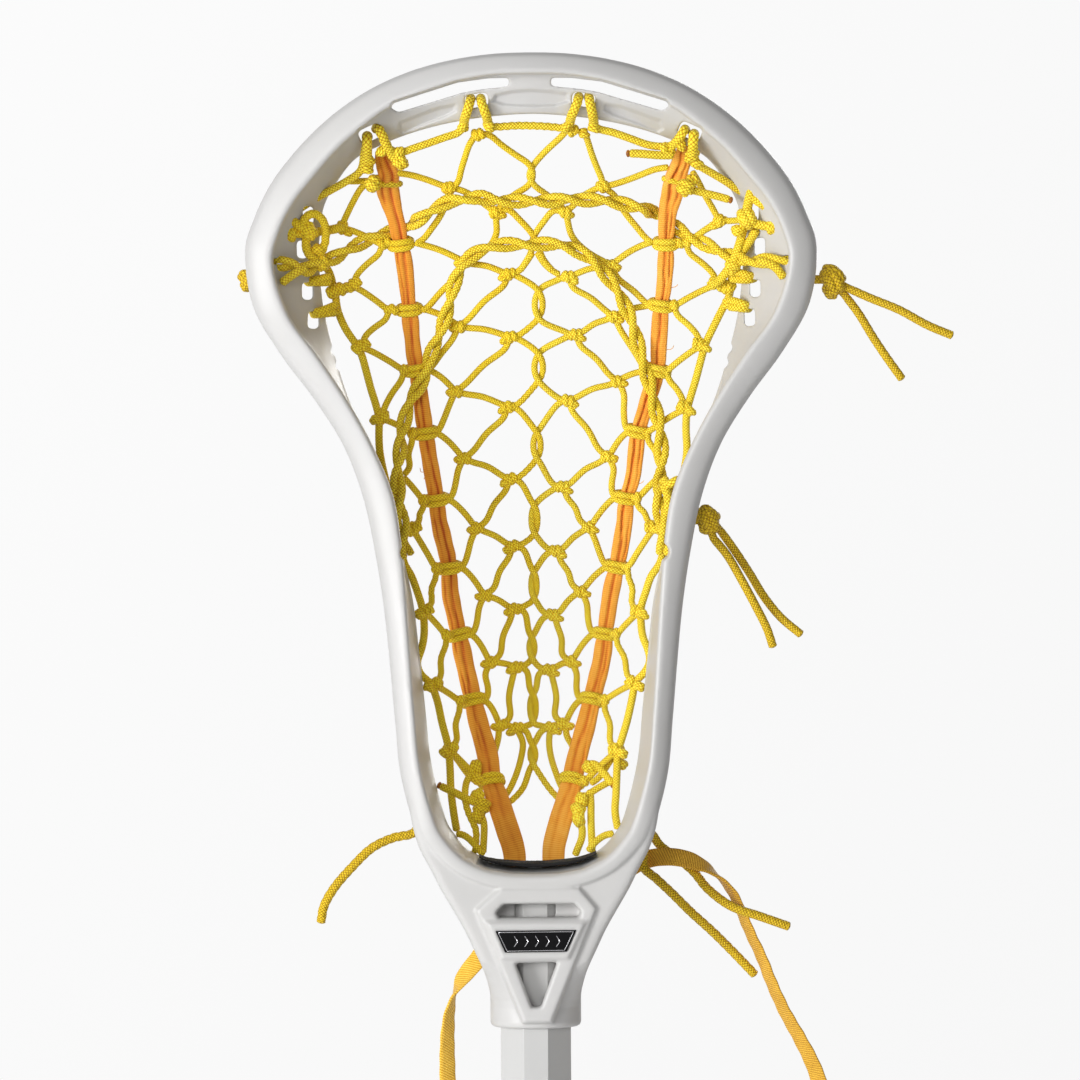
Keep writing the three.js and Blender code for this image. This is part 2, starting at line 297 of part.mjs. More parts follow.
const WRAPS = {
  left_outer_lace: [[[-47.66,13.56,284.95],[0.17,0.3119,-0.9348]],[[-44.81,20.4,261.23],[0.087,0.2243,-0.9706]],[[-42.36,25.41,239.23],[0.1563,0.1991,-0.9674]],[[-39.27,29.94,216.16],[0.1332,0.1909,-0.9725]],[[-35.52,34.77,191.53],[0.1226,0.1903,-0.974]],[[-31.06,39.22,166.42],[0.0846,0.1595,-0.9836]],[[-27.7,42.3,141.6],[0.1965,0.0381,-0.9798]],[[-22.5,41.51,117.19],[0.2147,-0.2234,-0.9508]],[[-15.89,30.78,87.64],[0.2069,-0.5036,-0.8388]]],
  right_outer_lace: [[[49.32,13.68,284.59],[-0.0155,0.3164,-0.9485]],[[47.48,20.18,262.18],[-0.1217,0.2236,-0.9671]],[[46.33,25.55,238.5],[-0.1849,0.1955,-0.9631]],[[38.92,29.94,216.16],[-0.2038,0.1885,-0.9607]],[[34.41,34.7,191.9],[-0.211,0.1875,-0.9593]],[[30.93,39.22,166.42],[-0.2114,0.1565,-0.9648]],[[26.49,42.3,141.6],[-0.1272,0.0385,-0.9911]],[[21.46,41.51,117.19],[-0.2407,-0.222,-0.9449]],[[13.82,30.78,87.64],[-0.1996,-0.5044,-0.8401]]],
};
const RUNNERS = {"left_runner":[[-53.25,3.18,311.73],[-50.63,9.0,298.59],[-47.66,13.56,284.95],[-45.88,17.5,273.13],[-44.81,20.4,261.23],[-43.81,22.94,250.25],[-42.36,25.41,239.23],[-40.77,27.68,227.71],[-39.27,29.94,216.16],[-37.47,32.36,203.86],[-35.52,34.77,191.53],[-33.62,37.18,178.99],[-31.06,39.22,166.42],[-30.2,41.23,154.01],[-27.7,42.3,141.6],[-25.22,42.77,129.38],[-22.5,41.51,117.19],[-18.67,38.01,102.32],[-15.89,30.78,87.64],[-13.48,26.68,80.81],[-10.83,21.97,72.94],[-7.4,19.4,61.5],[-7.4,19.2,55.0],[-7.4,19.2,50.2]],"right_runner":[[52.82,3.18,311.73],[50.4,9.0,298.59],[49.32,13.68,284.59],[48.96,17.4,273.42],[47.48,20.18,262.18],[46.76,22.91,250.35],[46.33,25.55,238.5],[42.46,27.75,227.34],[38.92,29.94,216.16],[37.61,32.32,204.04],[34.41,34.7,191.9],[33.27,37.15,179.17],[30.93,39.22,166.42],[28.26,41.23,154.01],[26.49,42.3,141.6],[24.6,42.77,129.38],[21.46,41.51,117.19],[17.57,38.01,102.32],[13.82,30.78,87.64],[12.04,26.68,80.81],[9.28,21.97,72.94],[6.8,19.4,61.5],[6.8,19.2,55.0],[6.8,19.2,50.2]]};
const TIES = {"left_outer_knot":{"c":[-103.2,-4,271.5],"r":3.0,"neck":[-94.9,-4,271.5],"nr":1.6,"sz":[1,1,1.1]},"right_upper_knot":{"c":[109.3,-4,270.0],"r":4.9,"neck":[95.2,-4,271.0],"nr":1.8,"sz":[1,1,1.22]},"right_middle_knot":{"c":[63.6,0,183.8],"r":4.3,"neck":[57.6,0,183.8],"nr":1.8,"sz":[1,1,1.3]},"lower_left_tie":{"c":[-38.5,26.5,74.0],"r":2.8,"neck":null,"nr":0,"sz":[1,1,1]},"lower_right_tie":{"c":[39.5,26.5,68.5],"r":3.2,"neck":null,"nr":0,"sz":[1,1,1]}};
const TAILS = {"right_upper_tail_a":{"r":1.3,"pts":[[115.54,-4.5,266.67],[122.74,-5.0,263.39],[133.2,-5.5,259.02],[143.49,-5.5,253.37],[152.38,-5.0,249.62]]},"right_upper_tail_b":{"r":1.3,"pts":[[114.33,-3.0,263.83],[118.85,-2.5,257.68],[123.9,-2.0,249.35],[128.94,-2.0,241.73],[134.3,-2.5,234.1]]},"right_middle_tail_a":{"r":1.3,"pts":[[65.75,-1.5,176.4],[70.42,-2.0,170.59],[75.43,-2.5,161.89],[80.45,-2.5,152.45],[84.77,-2.0,143.73],[86.93,-1.5,137.19]]},"right_middle_tail_b":{"r":1.3,"pts":[[68.6,2.0,178.95],[73.48,2.5,172.04],[78.9,3.0,163.67],[83.94,3.0,155.3],[90.06,2.5,147.67],[97.27,2.0,141.49]]},"lower_left_tail":{"r":1.4,"pts":[[-42.2,26.2,73.1],[-44.51,24.5,69.15],[-52.04,22.5,67.41],[-59.71,20.5,63.85],[-67.04,19.0,56.96],[-73.65,18.0,49.32],[-77.33,17.5,42.76],[-78.45,17.0,36.93]]},"lower_right_tail_a":{"r":1.4,"pts":[[43.4,25.9,67.8],[46.02,27.6,63.86],[51.89,28.2,59.41],[58.06,26.2,54.37],[63.04,21.5,48.39],[70.2,16.8,42.8],[75.61,14.9,40.36],[80.36,14.9,38.89],[92.79,15.6,34.46]]},"lower_right_tail_b":{"r":1.4,"pts":[[40.6,23.9,65.0],[39.99,22.0,56.07],[44.36,21.6,52.05],[50.19,21.5,46.56],[56.78,22.5,39.89],[65.14,21.5,32.25],[72.78,21.0,24.58],[80.41,20.5,16.55]]}};
const STRAPS = {"left_runner_tail":{"w":2.9,"t":1.3,"pts":[[-7.4,19.2,49.3],[-7.8,19.6,45.5],[-9.6,20.4,41.0],[-13.2,20.6,35.0],[-17.4,20.0,28.5],[-21.4,19.0,22.6],[-25.8,18.0,17.4],[-29.2,17.0,11.6],[-31.3,16.2,4.8],[-32.3,15.6,-3.5],[-32.5,15.2,-13.0],[-32.3,15.0,-24.0],[-31.8,15.0,-38.0],[-31.2,15.0,-54.0],[-30.6,15.0,-70.0],[-30.2,15.0,-86.0],[-30.0,15.0,-100.0]]},"right_runner_tail":{"w":2.9,"t":1.3,"pts":[[6.8,19.2,49.3],[6.9,19.4,46.8],[9.4,21.2,43.8],[15.0,23.2,44.4],[21.5,26.8,47.8],[28.5,28.4,52.0],[34.5,28.4,55.4],[39.0,27.2,57.9],[45.0,24.6,59.6],[53.5,22.6,59.4],[61.0,22.4,56.8],[67.2,21.2,52.4],[72.0,20.4,47.0],[75.4,19.8,40.0],[78.4,19.4,32.6],[82.8,19.0,23.0],[86.6,18.8,13.2],[91.2,18.6,3.0],[96.4,18.4,-6.4],[101.2,18.2,-16.0],[104.9,18.0,-27.0],[107.4,18.0,-40.0],[108.8,18.0,-54.0],[109.2,18.0,-68.0]]}};

// ---- helpers --------------------------------------------------------------------------
const mat = (color, roughness, metalness = 0) => new THREE.MeshStandardMaterial({ color, roughness, metalness });
const V = (p) => new THREE.Vector3(p[0], p[1], p[2]);

function solid(geometry) {
  const g = geometry.clone();
  for (const name of ['normal', 'uv']) if (g.getAttribute(name)) g.deleteAttribute(name);
  const m = BufferGeometryUtils.mergeVertices(g, 1e-4);
  const mesh = new wasm.Mesh({
    numProp: 3,
    vertProperties: new Float32Array(m.getAttribute('position').array),
    triVerts: new Uint32Array(m.getIndex().array),
  });
  return new wasm.Manifold(mesh);
}

function toGeometry(manifold) {
  const mesh = manifold.getMesh();
  const g = new THREE.BufferGeometry();
  g.setAttribute('position', new THREE.BufferAttribute(new Float32Array(mesh.vertProperties), 3));
  g.setIndex(new THREE.BufferAttribute(new Uint32Array(mesh.triVerts), 1));
  g.computeVertexNormals();
  return g;
}

const union = (list) => list.reduce((a, b) => a.add(b));

const group = new THREE.Group();
function add(name, geometry, material) {
  const mesh = new THREE.Mesh(geometry, material);
  mesh.name = name;
  group.add(mesh);
  return mesh;
}

// A path whose section keeps its width along one chosen direction.
class Route extends THREE.CatmullRomCurve3 {
  constructor(points, across = null) {
    super(points, false, 'centripetal');
    this.across = across;
  }
  computeFrenetFrames(segments) {
    const tangents = [], normals = [], binormals = [];
    let prev = this.across;
    for (let i = 0; i <= segments; i++) {
      const t = this.getTangentAt(i / segments);
      let ref = prev;
      if (!ref) {
        const a = new THREE.Vector3(Math.abs(t.x), Math.abs(t.y), Math.abs(t.z));
        ref = a.x <= a.y && a.x <= a.z ? new THREE.Vector3(1, 0, 0)
          : a.y <= a.z ? new THREE.Vector3(0, 1, 0) : new THREE.Vector3(0, 0, 1);
      }
      const n = ref.clone().addScaledVector(t, -ref.dot(t)).normalize();
      tangents.push(t);
      normals.push(n);
      binormals.push(new THREE.Vector3().crossVectors(t, n));
      prev = this.across || n;
    }
    return { tangents, normals, binormals };
  }
}

function oval(a, b, sides) {
  const s = new THREE.Shape();
  for (let i = 0; i < sides; i++) {
    const w = ((i + 0.5) / sides) * Math.PI * 2;
    const x = Math.cos(w) * a, y = Math.sin(w) * b;
    if (i === 0) s.moveTo(x, y); else s.lineTo(x, y);
  }
  s.closePath();
  return s;
}

function tube(points, a, b, sides, steps, across = null) {
  const path = points.length === 2
    ? Object.assign(new Route([points[0], points[0].clone().lerp(points[1], 0.5), points[1]], across))
    : new Route(points, across);
  return new THREE.ExtrudeGeometry(oval(a, b, sides), { extrudePath: path, steps, bevelEnabled: false });
}

// A prism with its outline in the x-z plane, between two depths.
function prismY(outline, y0, y1, holes = []) {
  const s = new THREE.Shape(outline.map((p) => new THREE.Vector2(p[0], -p[1])));
  for (const h of holes) s.holes.push(new THREE.Path(h.map((p) => new THREE.Vector2(p[0], -p[1]))));
  const g = new THREE.ExtrudeGeometry(s, { depth: y1 - y0, bevelEnabled: false, steps: 1 });
  // x, y, depth  ->  x, depth, -y
  g.applyMatrix4(new THREE.Matrix4().set(1, 0, 0, 0, 0, 0, 1, y0, 0, -1, 0, 0, 0, 0, 0, 1));
  return g;
}

const block = (x0, x1, y0, y1, z0, z1) =>
  new THREE.BoxGeometry(x1 - x0, y1 - y0, z1 - z0).translate((x0 + x1) / 2, (y0 + y1) / 2, (z0 + z1) / 2);

function octagon(flats, flat) {
  const h = flats / 2, f = flat / 2;
  return [[f, -h], [h, -f], [h, f], [f, h], [-f, h], [-h, f], [-h, -f], [-f, -h]];
}
function prismZ(outline, z0, z1, hole = null) {
  const s = new THREE.Shape(outline.map((p) => new THREE.Vector2(p[0], p[1])));
  if (hole) s.holes.push(new THREE.Path(hole.map((p) => new THREE.Vector2(p[0], p[1]))));
  return new THREE.ExtrudeGeometry(s, { depth: z1 - z0, bevelEnabled: false, steps: 1 }).translate(0, 0, z0);
}

// ---- head -----------------------------------------------------------------------------
const white = mat(0xeeedea, 0.38);

function rimSection(s, side) {
  const [ox, oz, ix, iz, rx, rz, yf, yb] = s;
  const ex = ox - ix, ez = oz - iz, w = Math.hypot(ex, ez), ux = ex / w, uz = ez / w;
  const at = (bx, bz, d, y) => [side * (bx + ux * d), y, bz + uz * d];
  const lerp = (p, q, t) => p.map((v, i) => v + (q[i] - v) * t);
  const p6 = at(ix, iz, 0.12 * w, yf + 8.5);
  const p8 = at(rx, rz, 0.8, yb - 6.5);
  const p7 = lerp(p6, p8, 0.5);
  const p15 = [p7[0] + side * ux * 3.0, p7[1], p7[2] + uz * 3.0];
  return [
    at(ox, oz, 0, yf + 5.5), at(ox, oz, -0.12 * w, yf + 2), at(ox, oz, -0.35 * w, yf + 0.2),
    at(ix, iz, 0.35 * w, yf), at(ix, iz, 0.1 * w, yf + 1.6), at(ix, iz, 0, yf + 4.5),
    p6, p7, p8,
    at(rx, rz, 0, yb - 4), at(rx, rz, 0.3, yb - 0.6), at(rx, rz, 1.2, yb), at(rx, rz, 4.0, yb),
    at(rx, rz, 4.8, yb - 1.5), at(rx, rz, 4.8, yb - 5.5),
    p15, at(ix, iz, 0.6 * w, yf + 9.5),
  ];
}

// The rim is a torus whose rings take the rim's section at each station.
const half = RIM;
const loop = [
  ...half.map((s) => rimSection(s, 1)),
  ...half.slice(1, -1).reverse().map((s) => rimSection(s, -1)),
];
function rimGeometry() {
  const nv = loop[0].length, nu = loop.length;
  const g = new THREE.TorusGeometry(10, 1, nv, nu);
  const pos = g.getAttribute('position');
  // TorusGeometry lists (nv + 1) rows of (nu + 1) points
  for (let j = 0; j <= nv; j++) {
    for (let i = 0; i <= nu; i++) {
      const p = loop[i % nu][j % nv];
      pos.setXYZ(j * (nu + 1) + i, p[0], p[1], p[2]);
    }
  }
  return g;
}
let rim = solid(rimGeometry());
if (rim.volume() < 0) {
  const g = rimGeometry();
  const idx = g.getIndex().array;
  for (let i = 0; i < idx.length; i += 3) [idx[i + 1], idx[i + 2]] = [idx[i + 2], idx[i + 1]];
  rim = solid(g);
}

// Throat: the V-shaped body between the pocket's mouth and the collar.
const throatSide = [[16.4, 8], [16.5, 12], [17.2, 15.8], [18.9, 21.6], [22.2, 28.8], [25.6, 36], [29.7, 43.2],
  [33.9, 50.4], [37.5, 57.6], [41.3, 64.8], [43.9, 72], [46.0, 79]];
const throatOutline = [...throatSide, [30, 84], [-30, 84], ...throatSide.map((p) => [-p[0], p[1]]).reverse()];
const mouth = [];
for (const s of half) if (s[5] < 95) mouth.push([s[4] + 0.3, s[5]]);
const mouthOutline = [...mouth, [36, 110], [-36, 110], ...mouth.slice(1).map((p) => [-p[0], p[1]]).reverse()];
let throat = solid(prismY(throatOutline, THROAT_FRONT, THROAT_BACK)).subtract(solid(prismY(mouthOutline, -40, 40)));
const collarProfile = [[0, 0], [15.2, 0], [16.1, 0.5], [COLLAR_R, 1.6], [COLLAR_R, COLLAR_H - 1], [15.6, COLLAR_H], [0, COLLAR_H]];
const collar = solid(new THREE.LatheGeometry(collarProfile.map((p) => new THREE.Vector2(p[0], p[1])), 28).rotateX(Math.PI / 2)
  .applyMatrix4(new THREE.Matrix4().makeScale(1, 1, 1)));
const shieldOutline = [[-12.7, 51.5], [16.2, 51.5], [22.8, 43.8], [6.0, 2.4], [-4.6, 2.2], [-21.8, 43.4]];
const shield = solid(prismY(shieldOutline, SHIELD_FRONT, -10));
const seatOutline = [[-18.9, 39.8], [19.5, 39.8], [12.5, 24.8], [-12.6, 24.8]];
const seat = solid(prismY(seatOutline, PLATE_SEAT, -12));
let head = union([rim, throat, collar, shield, seat]);

// socket for the shaft, with the windows that show the shaft's end
head = head.subtract(solid(prismZ(octagon(SHAFT_FLATS + 2 * FIT, SHAFT_FLAT + 0.3), -2, SOCKET_TOP)));
head = head.subtract(solid(prismY([[-11.3, 45.3], [14.2, 45.3], [16.4, 42.6], [15.9, 40.4], [-13.1, 40.4], [-14.0, 42.5]], -30, -8)));
head = head.subtract(solid(prismY([[-7.2, 24.1], [7.9, 24.4], [1.9, 8.3], [-1.4, 8.1]], -30, -8)));
// seat of the badge plate
head = head.subtract(solid(prismY([[-14.7, 36.2], [15.2, 36.4], [11.6, 28.0], [-11.2, 27.8]], PLATE_SEAT - 2, PLATE_SEAT + 0.7)));
// scoop: the slots between the bead and the wall, and the string holes
const slot = [[7.7, 342.9], [7.7, 340.0], [18, 339.0], [24.5, 337.9], [33, 335.4], [47.5, 331.2], [50.2, 332.5], [49.4, 334.2],
  [38.5, 337.6], [26, 341.4], [15, 342.8]];
head = head.subtract(solid(prismY(slot, -45, 10)));
head = head.subtract(solid(prismY(slot.map((p) => [-p[0], p[1]]).reverse(), -45, 10)));
function hole(cx, cz, w, h, deg) {
  const g = block(-w / 2, w / 2, -45, 40, -h / 2, h / 2).rotateY((deg * Math.PI) / 180);
  return solid(g.translate(cx, 0, cz));
}
for (const [x, z, t] of [[19.3, 335.2, 8], [57.8, 323.9, 25]]) {
  head = head.subtract(hole(x, z, 9.0, 5.0, t)).subtract(hole(-x, z, 9.0, 5.0, -t));
}
// string holes along the two side rails
for (const [x, z] of [[80.9, 295.0], [83.3, 282.6], [81.6, 267.6], [79.6, 257.0]]) {
  head = head.subtract(hole(x, z, 3.6, 6.4, 0)).subtract(hole(-x, z, 3.6, 6.4, 0));
}
// slots for the two runners in the lip behind the throat
for (const x of [-7.4, 6.8]) head = head.subtract(solid(block(x - 3.4, x + 3.4, 17.2, 21.3, 44, 62)));
// lightening pockets in the back, either side of the socket
for (const k of [1, -1]) {
  const tri = [[18.2, 30], [18.2, 51.5], [31.5, 51.5]].map((p) => [k * p[0], p[1]]);
  head = head.subtract(solid(prismY(k > 0 ? tri : tri.reverse(), -12, 17)));
}
// screw hole in the back of the collar
head = head.subtract(solid(new THREE.CylinderGeometry(2.0, 2.0, 12, 12).translate(0, 17, 8)));
add('head', toGeometry(head), white);

// ---- badge plate, ball stop ---------------------------------------------------------------
add('badge_plate', prismY([[-14.3, 35.9], [14.8, 36.1], [11.3, 28.3], [-10.9, 28.1]], PLATE_SEAT - 0.4, PLATE_SEAT + 0.4), mat(0x101010, 0.35));

const lip = [];
for (const s of half) if (s[4] < 26 && s[5] < 100) lip.push([s[4], s[5]]);
function offsetUp(list, d) {
  return list.map((p, i) => {
    const a = list[Math.max(i - 1, 0)], b = list[Math.min(i + 1, list.length - 1)];
    let tx = b[0] - a[0], tz = b[1] - a[1];
    if (i === 0) tz = 0;
    const m = Math.hypot(tx, tz);
    return [p[0] - (tz / m) * d, p[1] + (tx / m) * d];
  });
}
const padLow = offsetUp(lip, FIT), padHigh = offsetUp(lip, FIT + PAD_THICK);
const mirror = (l) => l.slice(1).map((p) => [-p[0], p[1]]).reverse();
add('ball_stop_pad', prismY([...mirror(padLow), ...padLow, ...padHigh.slice().reverse(), ...mirror(padHigh).reverse()],
  -PAD_HALF_DEPTH, PAD_HALF_DEPTH), mat(0x161616, 0.95));

// ---- shaft, end cap, screw ---------------------------------------------------------------
let shaft = solid(prismZ(octagon(SHAFT_FLATS, SHAFT_FLAT), SHAFT_BOTTOM, SHAFT_TOP,
  octagon(SHAFT_FLATS - 2 * SHAFT_WALL, SHAFT_FLAT - 1.2).reverse()));
shaft = shaft.subtract(solid(new THREE.CylinderGeometry(1.95, 1.95, 8, 12).translate(0, 12, 8)));
add('shaft', toGeometry(shaft), mat(0xf2f2f2, 0.22));

const capZ = SHAFT_BOTTOM - FIT - CAP_FLOOR;
const cap = solid(prismZ(octagon(CAP_FLATS, 10.6), capZ, capZ + CAP_LENGTH))
  .subtract(solid(prismZ(octagon(SHAFT_FLATS + 2 * FIT, SHAFT_FLAT + 0.3), capZ + CAP_FLOOR, capZ + CAP_LENGTH + 2)));
add('end_cap', toGeometry(cap), mat(0x1a1a1a, 0.85));

const screwProfile = [[0, 18.9], [2.0, 18.9], [3.4, 17.9], [3.5, 16.9], [1.6, 16.9], [1.6, 10.2], [0, 9.4]].reverse();
const screw = new THREE.LatheGeometry(screwProfile.map((p) => new THREE.Vector2(p[0], p[1])), 12).translate(0, 0, 8);
add('head_screw', screw, mat(0xb8b8b8, 0.3, 1));

// ---- runners ----------------------------------------------------------------------------
const X = new THREE.Vector3(1, 0, 0);
for (const [name, color] of [['left_runner', 0xd6862a], ['right_runner', 0xf7a23c]]) {
  const pts = RUNNERS[name].map(V);
  add(name, tube(pts, 2.8 * Math.SQRT2, 1.6 * Math.SQRT2, 4, pts.length + 6, X), mat(color, 0.85));
}
for (const [name, s] of Object.entries(STRAPS)) {
  const pts = s.pts.map(V);
  add(name, tube(pts, s.t, s.w, 8, 15, new THREE.Vector3(0, 1, 0)), mat(0xeeb23a, 0.85));
}

// ---- laces --------------------------------------------------------------------------------
const yellow = { left: 0xc9a71c, right: 0xe2c52a, mid: 0xd6b822 };
const wrapSection = () => {
  const s = new THREE.Shape([[-5.05, -2.6], [-3.6, -3.85], [3.6, -3.85], [5.05, -2.6], [5.05, 2.6], [3.6, 3.85], [-3.6, 3.85], [-5.05, 2.6]]
    .map((p) => new THREE.Vector2(...p)));
  s.holes.push(new THREE.Path([[-3.4, -2.05], [-3.4, 2.05], [3.4, 2.05], [3.4, -2.05]].map((p) => new THREE.Vector2(...p))));
  return new THREE.ExtrudeGeometry(s, { depth: 4.0, bevelEnabled: false, steps: 1 }).translate(0, 0, -2.0);
};
for (const [name, list] of Object.entries(CORD_ROUTES)) {
  const parts = [];
  for (const [r, sides, steps, pts] of list) {
    const p = pts.map(V);
    const q = sides === 4 ? r * 1.18 : r;
    parts.push(solid(tube(p, q, q, sides, Math.max(1, (p.length - 1) * steps))));
  }
  for (const [r, c] of KNOTS[name] || []) parts.push(solid(new THREE.BoxGeometry(r * 1.75, r * 1.75, r * 1.75).translate(...c)));
  for (const [c, t] of WRAPS[name] || []) {
    const tz = V(t), tx = X.clone().addScaledVector(tz, -X.dot(tz)).normalize(), ty = new THREE.Vector3().crossVectors(tz, tx);
    parts.push(solid(wrapSection().applyMatrix4(new THREE.Matrix4().makeBasis(tx, ty, tz)).translate(...c)));
  }
  const color = name.startsWith('left') ? yellow.left : name.startsWith('right') ? yellow.right : yellow.mid;
  const m = parts.length === 1 ? parts[0] : union(parts);
  const bodies = m.decompose().length;
  if (bodies !== 1) console.error(name, 'has', bodies, 'bodies');
  add(name, toGeometry(m), mat(color, 0.8));
}

// ---- knots outside the rim, and the tails that hang from them --------------------------------
for (const [name, k] of Object.entries(TIES)) {
  let body = solid(new THREE.SphereGeometry(k.r, 10, 7).scale(...k.sz).translate(...k.c));
  if (k.neck) body = body.add(solid(tube([V(k.neck), V(k.c)], k.nr, k.nr, 8, 1)));
  add(name, toGeometry(body), mat(yellow.mid, 0.8));
}
for (const [name, t] of Object.entries(TAILS)) {
  const pts = t.pts.map(V);
  add(name, tube(pts, t.r, t.r, 8, 8), mat(yellow.mid, 0.8));
}

export default group;
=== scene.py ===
import json
import math
import random

import bmesh
import bpy
import numpy as np
from mathutils import Matrix, Vector

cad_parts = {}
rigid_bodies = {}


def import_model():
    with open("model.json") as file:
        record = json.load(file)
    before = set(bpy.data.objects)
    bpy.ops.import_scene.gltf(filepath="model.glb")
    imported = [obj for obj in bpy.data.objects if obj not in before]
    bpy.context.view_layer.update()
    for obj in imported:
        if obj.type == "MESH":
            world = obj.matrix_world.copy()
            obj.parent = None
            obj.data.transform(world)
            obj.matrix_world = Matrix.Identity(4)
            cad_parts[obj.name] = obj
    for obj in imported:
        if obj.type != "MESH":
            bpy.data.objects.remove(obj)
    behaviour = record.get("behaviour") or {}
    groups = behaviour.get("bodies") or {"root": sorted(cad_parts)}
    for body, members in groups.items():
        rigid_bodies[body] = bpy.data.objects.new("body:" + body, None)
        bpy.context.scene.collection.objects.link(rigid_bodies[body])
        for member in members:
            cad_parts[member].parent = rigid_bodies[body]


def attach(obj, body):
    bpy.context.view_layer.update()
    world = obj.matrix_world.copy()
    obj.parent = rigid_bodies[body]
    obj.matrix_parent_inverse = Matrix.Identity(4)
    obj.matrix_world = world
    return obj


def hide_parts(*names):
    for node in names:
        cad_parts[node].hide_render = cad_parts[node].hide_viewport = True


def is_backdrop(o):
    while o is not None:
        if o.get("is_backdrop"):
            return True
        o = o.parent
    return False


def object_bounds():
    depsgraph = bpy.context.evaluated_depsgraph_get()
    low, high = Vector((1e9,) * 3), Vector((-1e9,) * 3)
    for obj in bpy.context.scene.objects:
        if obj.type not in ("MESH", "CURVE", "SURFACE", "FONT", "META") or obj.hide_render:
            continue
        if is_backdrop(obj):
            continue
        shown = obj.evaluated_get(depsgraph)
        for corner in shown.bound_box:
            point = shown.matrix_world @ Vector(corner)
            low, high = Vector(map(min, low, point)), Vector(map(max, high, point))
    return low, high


for _o in list(bpy.data.objects):
    bpy.data.objects.remove(_o)

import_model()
_lo, _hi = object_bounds()
frame_lo = list(_lo)
random.seed(7)
MM = 0.001

# ---- camera: in front of the open side, level with the pocket ---------------------------
cam_data = bpy.data.cameras.new("camera")
cam = bpy.data.objects.new("camera", cam_data)
bpy.context.scene.collection.objects.link(cam)
cam.location = (0.0026, -2.22, 0.1764)
cam.rotation_euler = (math.pi / 2, math.radians(0.358), 0)
cam_data.sensor_width = 36.0
cam_data.lens = 203.7
cam_data.clip_start = 0.05
cam_data.clip_end = 60
bpy.context.scene.camera = cam

RIM = [[0.0,49.81,0.0,55.97,0.0,57.66,-21.0,24.0],[10.35,50.1,8.71,56.3,8.07,58.12,-21.02,23.82],[20.43,52.33,17.27,57.89,16.04,59.51,-21.07,23.53],[29.66,56.95,25.02,61.78,23.44,62.7,-21.11,23.23],[37.39,63.8,31.14,67.94,29.08,68.48,-21.1,23.02],[42.92,72.53,35.55,75.44,32.85,75.59,-21.0,23.0],[48.19,92.0,40.89,94.69,37.73,95.0,-20.76,23.4],[50.17,112.22,42.83,114.63,39.81,114.98,-20.41,24.16],[51.93,132.47,44.24,134.62,41.9,134.97,-20.03,24.92],[53.96,152.69,45.58,154.63,44.2,154.94,-19.7,25.32],[57.02,172.79,47.27,174.6,48.61,174.57,-19.5,25.0],[61.18,192.33,50.31,193.03,52.67,192.3,-19.39,24.09],[68.2,211.02,57.3,210.41,57.94,209.7,-19.28,22.74],[78.74,228.01,66.2,226.89,66.04,225.91,-19.22,21.06],[90.64,244.06,76.37,242.62,71.6,243.13,-19.28,19.15],[100.44,261.41,87.23,257.84,75.71,260.72,-19.52,17.09],[103.19,281.04,92.71,275.6,77.43,278.67,-20.0,15.0],[99.63,293.56,90.51,287.39,76.83,288.85,-20.84,12.7],[93.82,305.23,85.14,298.1,75.17,298.83,-22.0,10.07],[85.91,315.63,77.66,307.5,70.14,307.67,-23.34,7.31],[76.87,325.04,69.78,316.56,63.53,315.42,-24.72,4.59],[66.71,333.23,60.73,324.45,54.5,319.99,-25.99,2.09],[55.56,340.01,51.06,331.56,44.98,323.69,-27.0,0.0],[42.33,345.51,38.83,336.58,33.96,326.7,-28.1,-2.48],[28.48,349.14,26.3,340.89,22.73,328.75,-28.94,-4.44],[14.31,351.17,13.25,343.18,11.39,330.02,-29.55,-5.93],[0.0,351.68,0.0,343.49,0.0,330.53,-30.0,-7.0]]
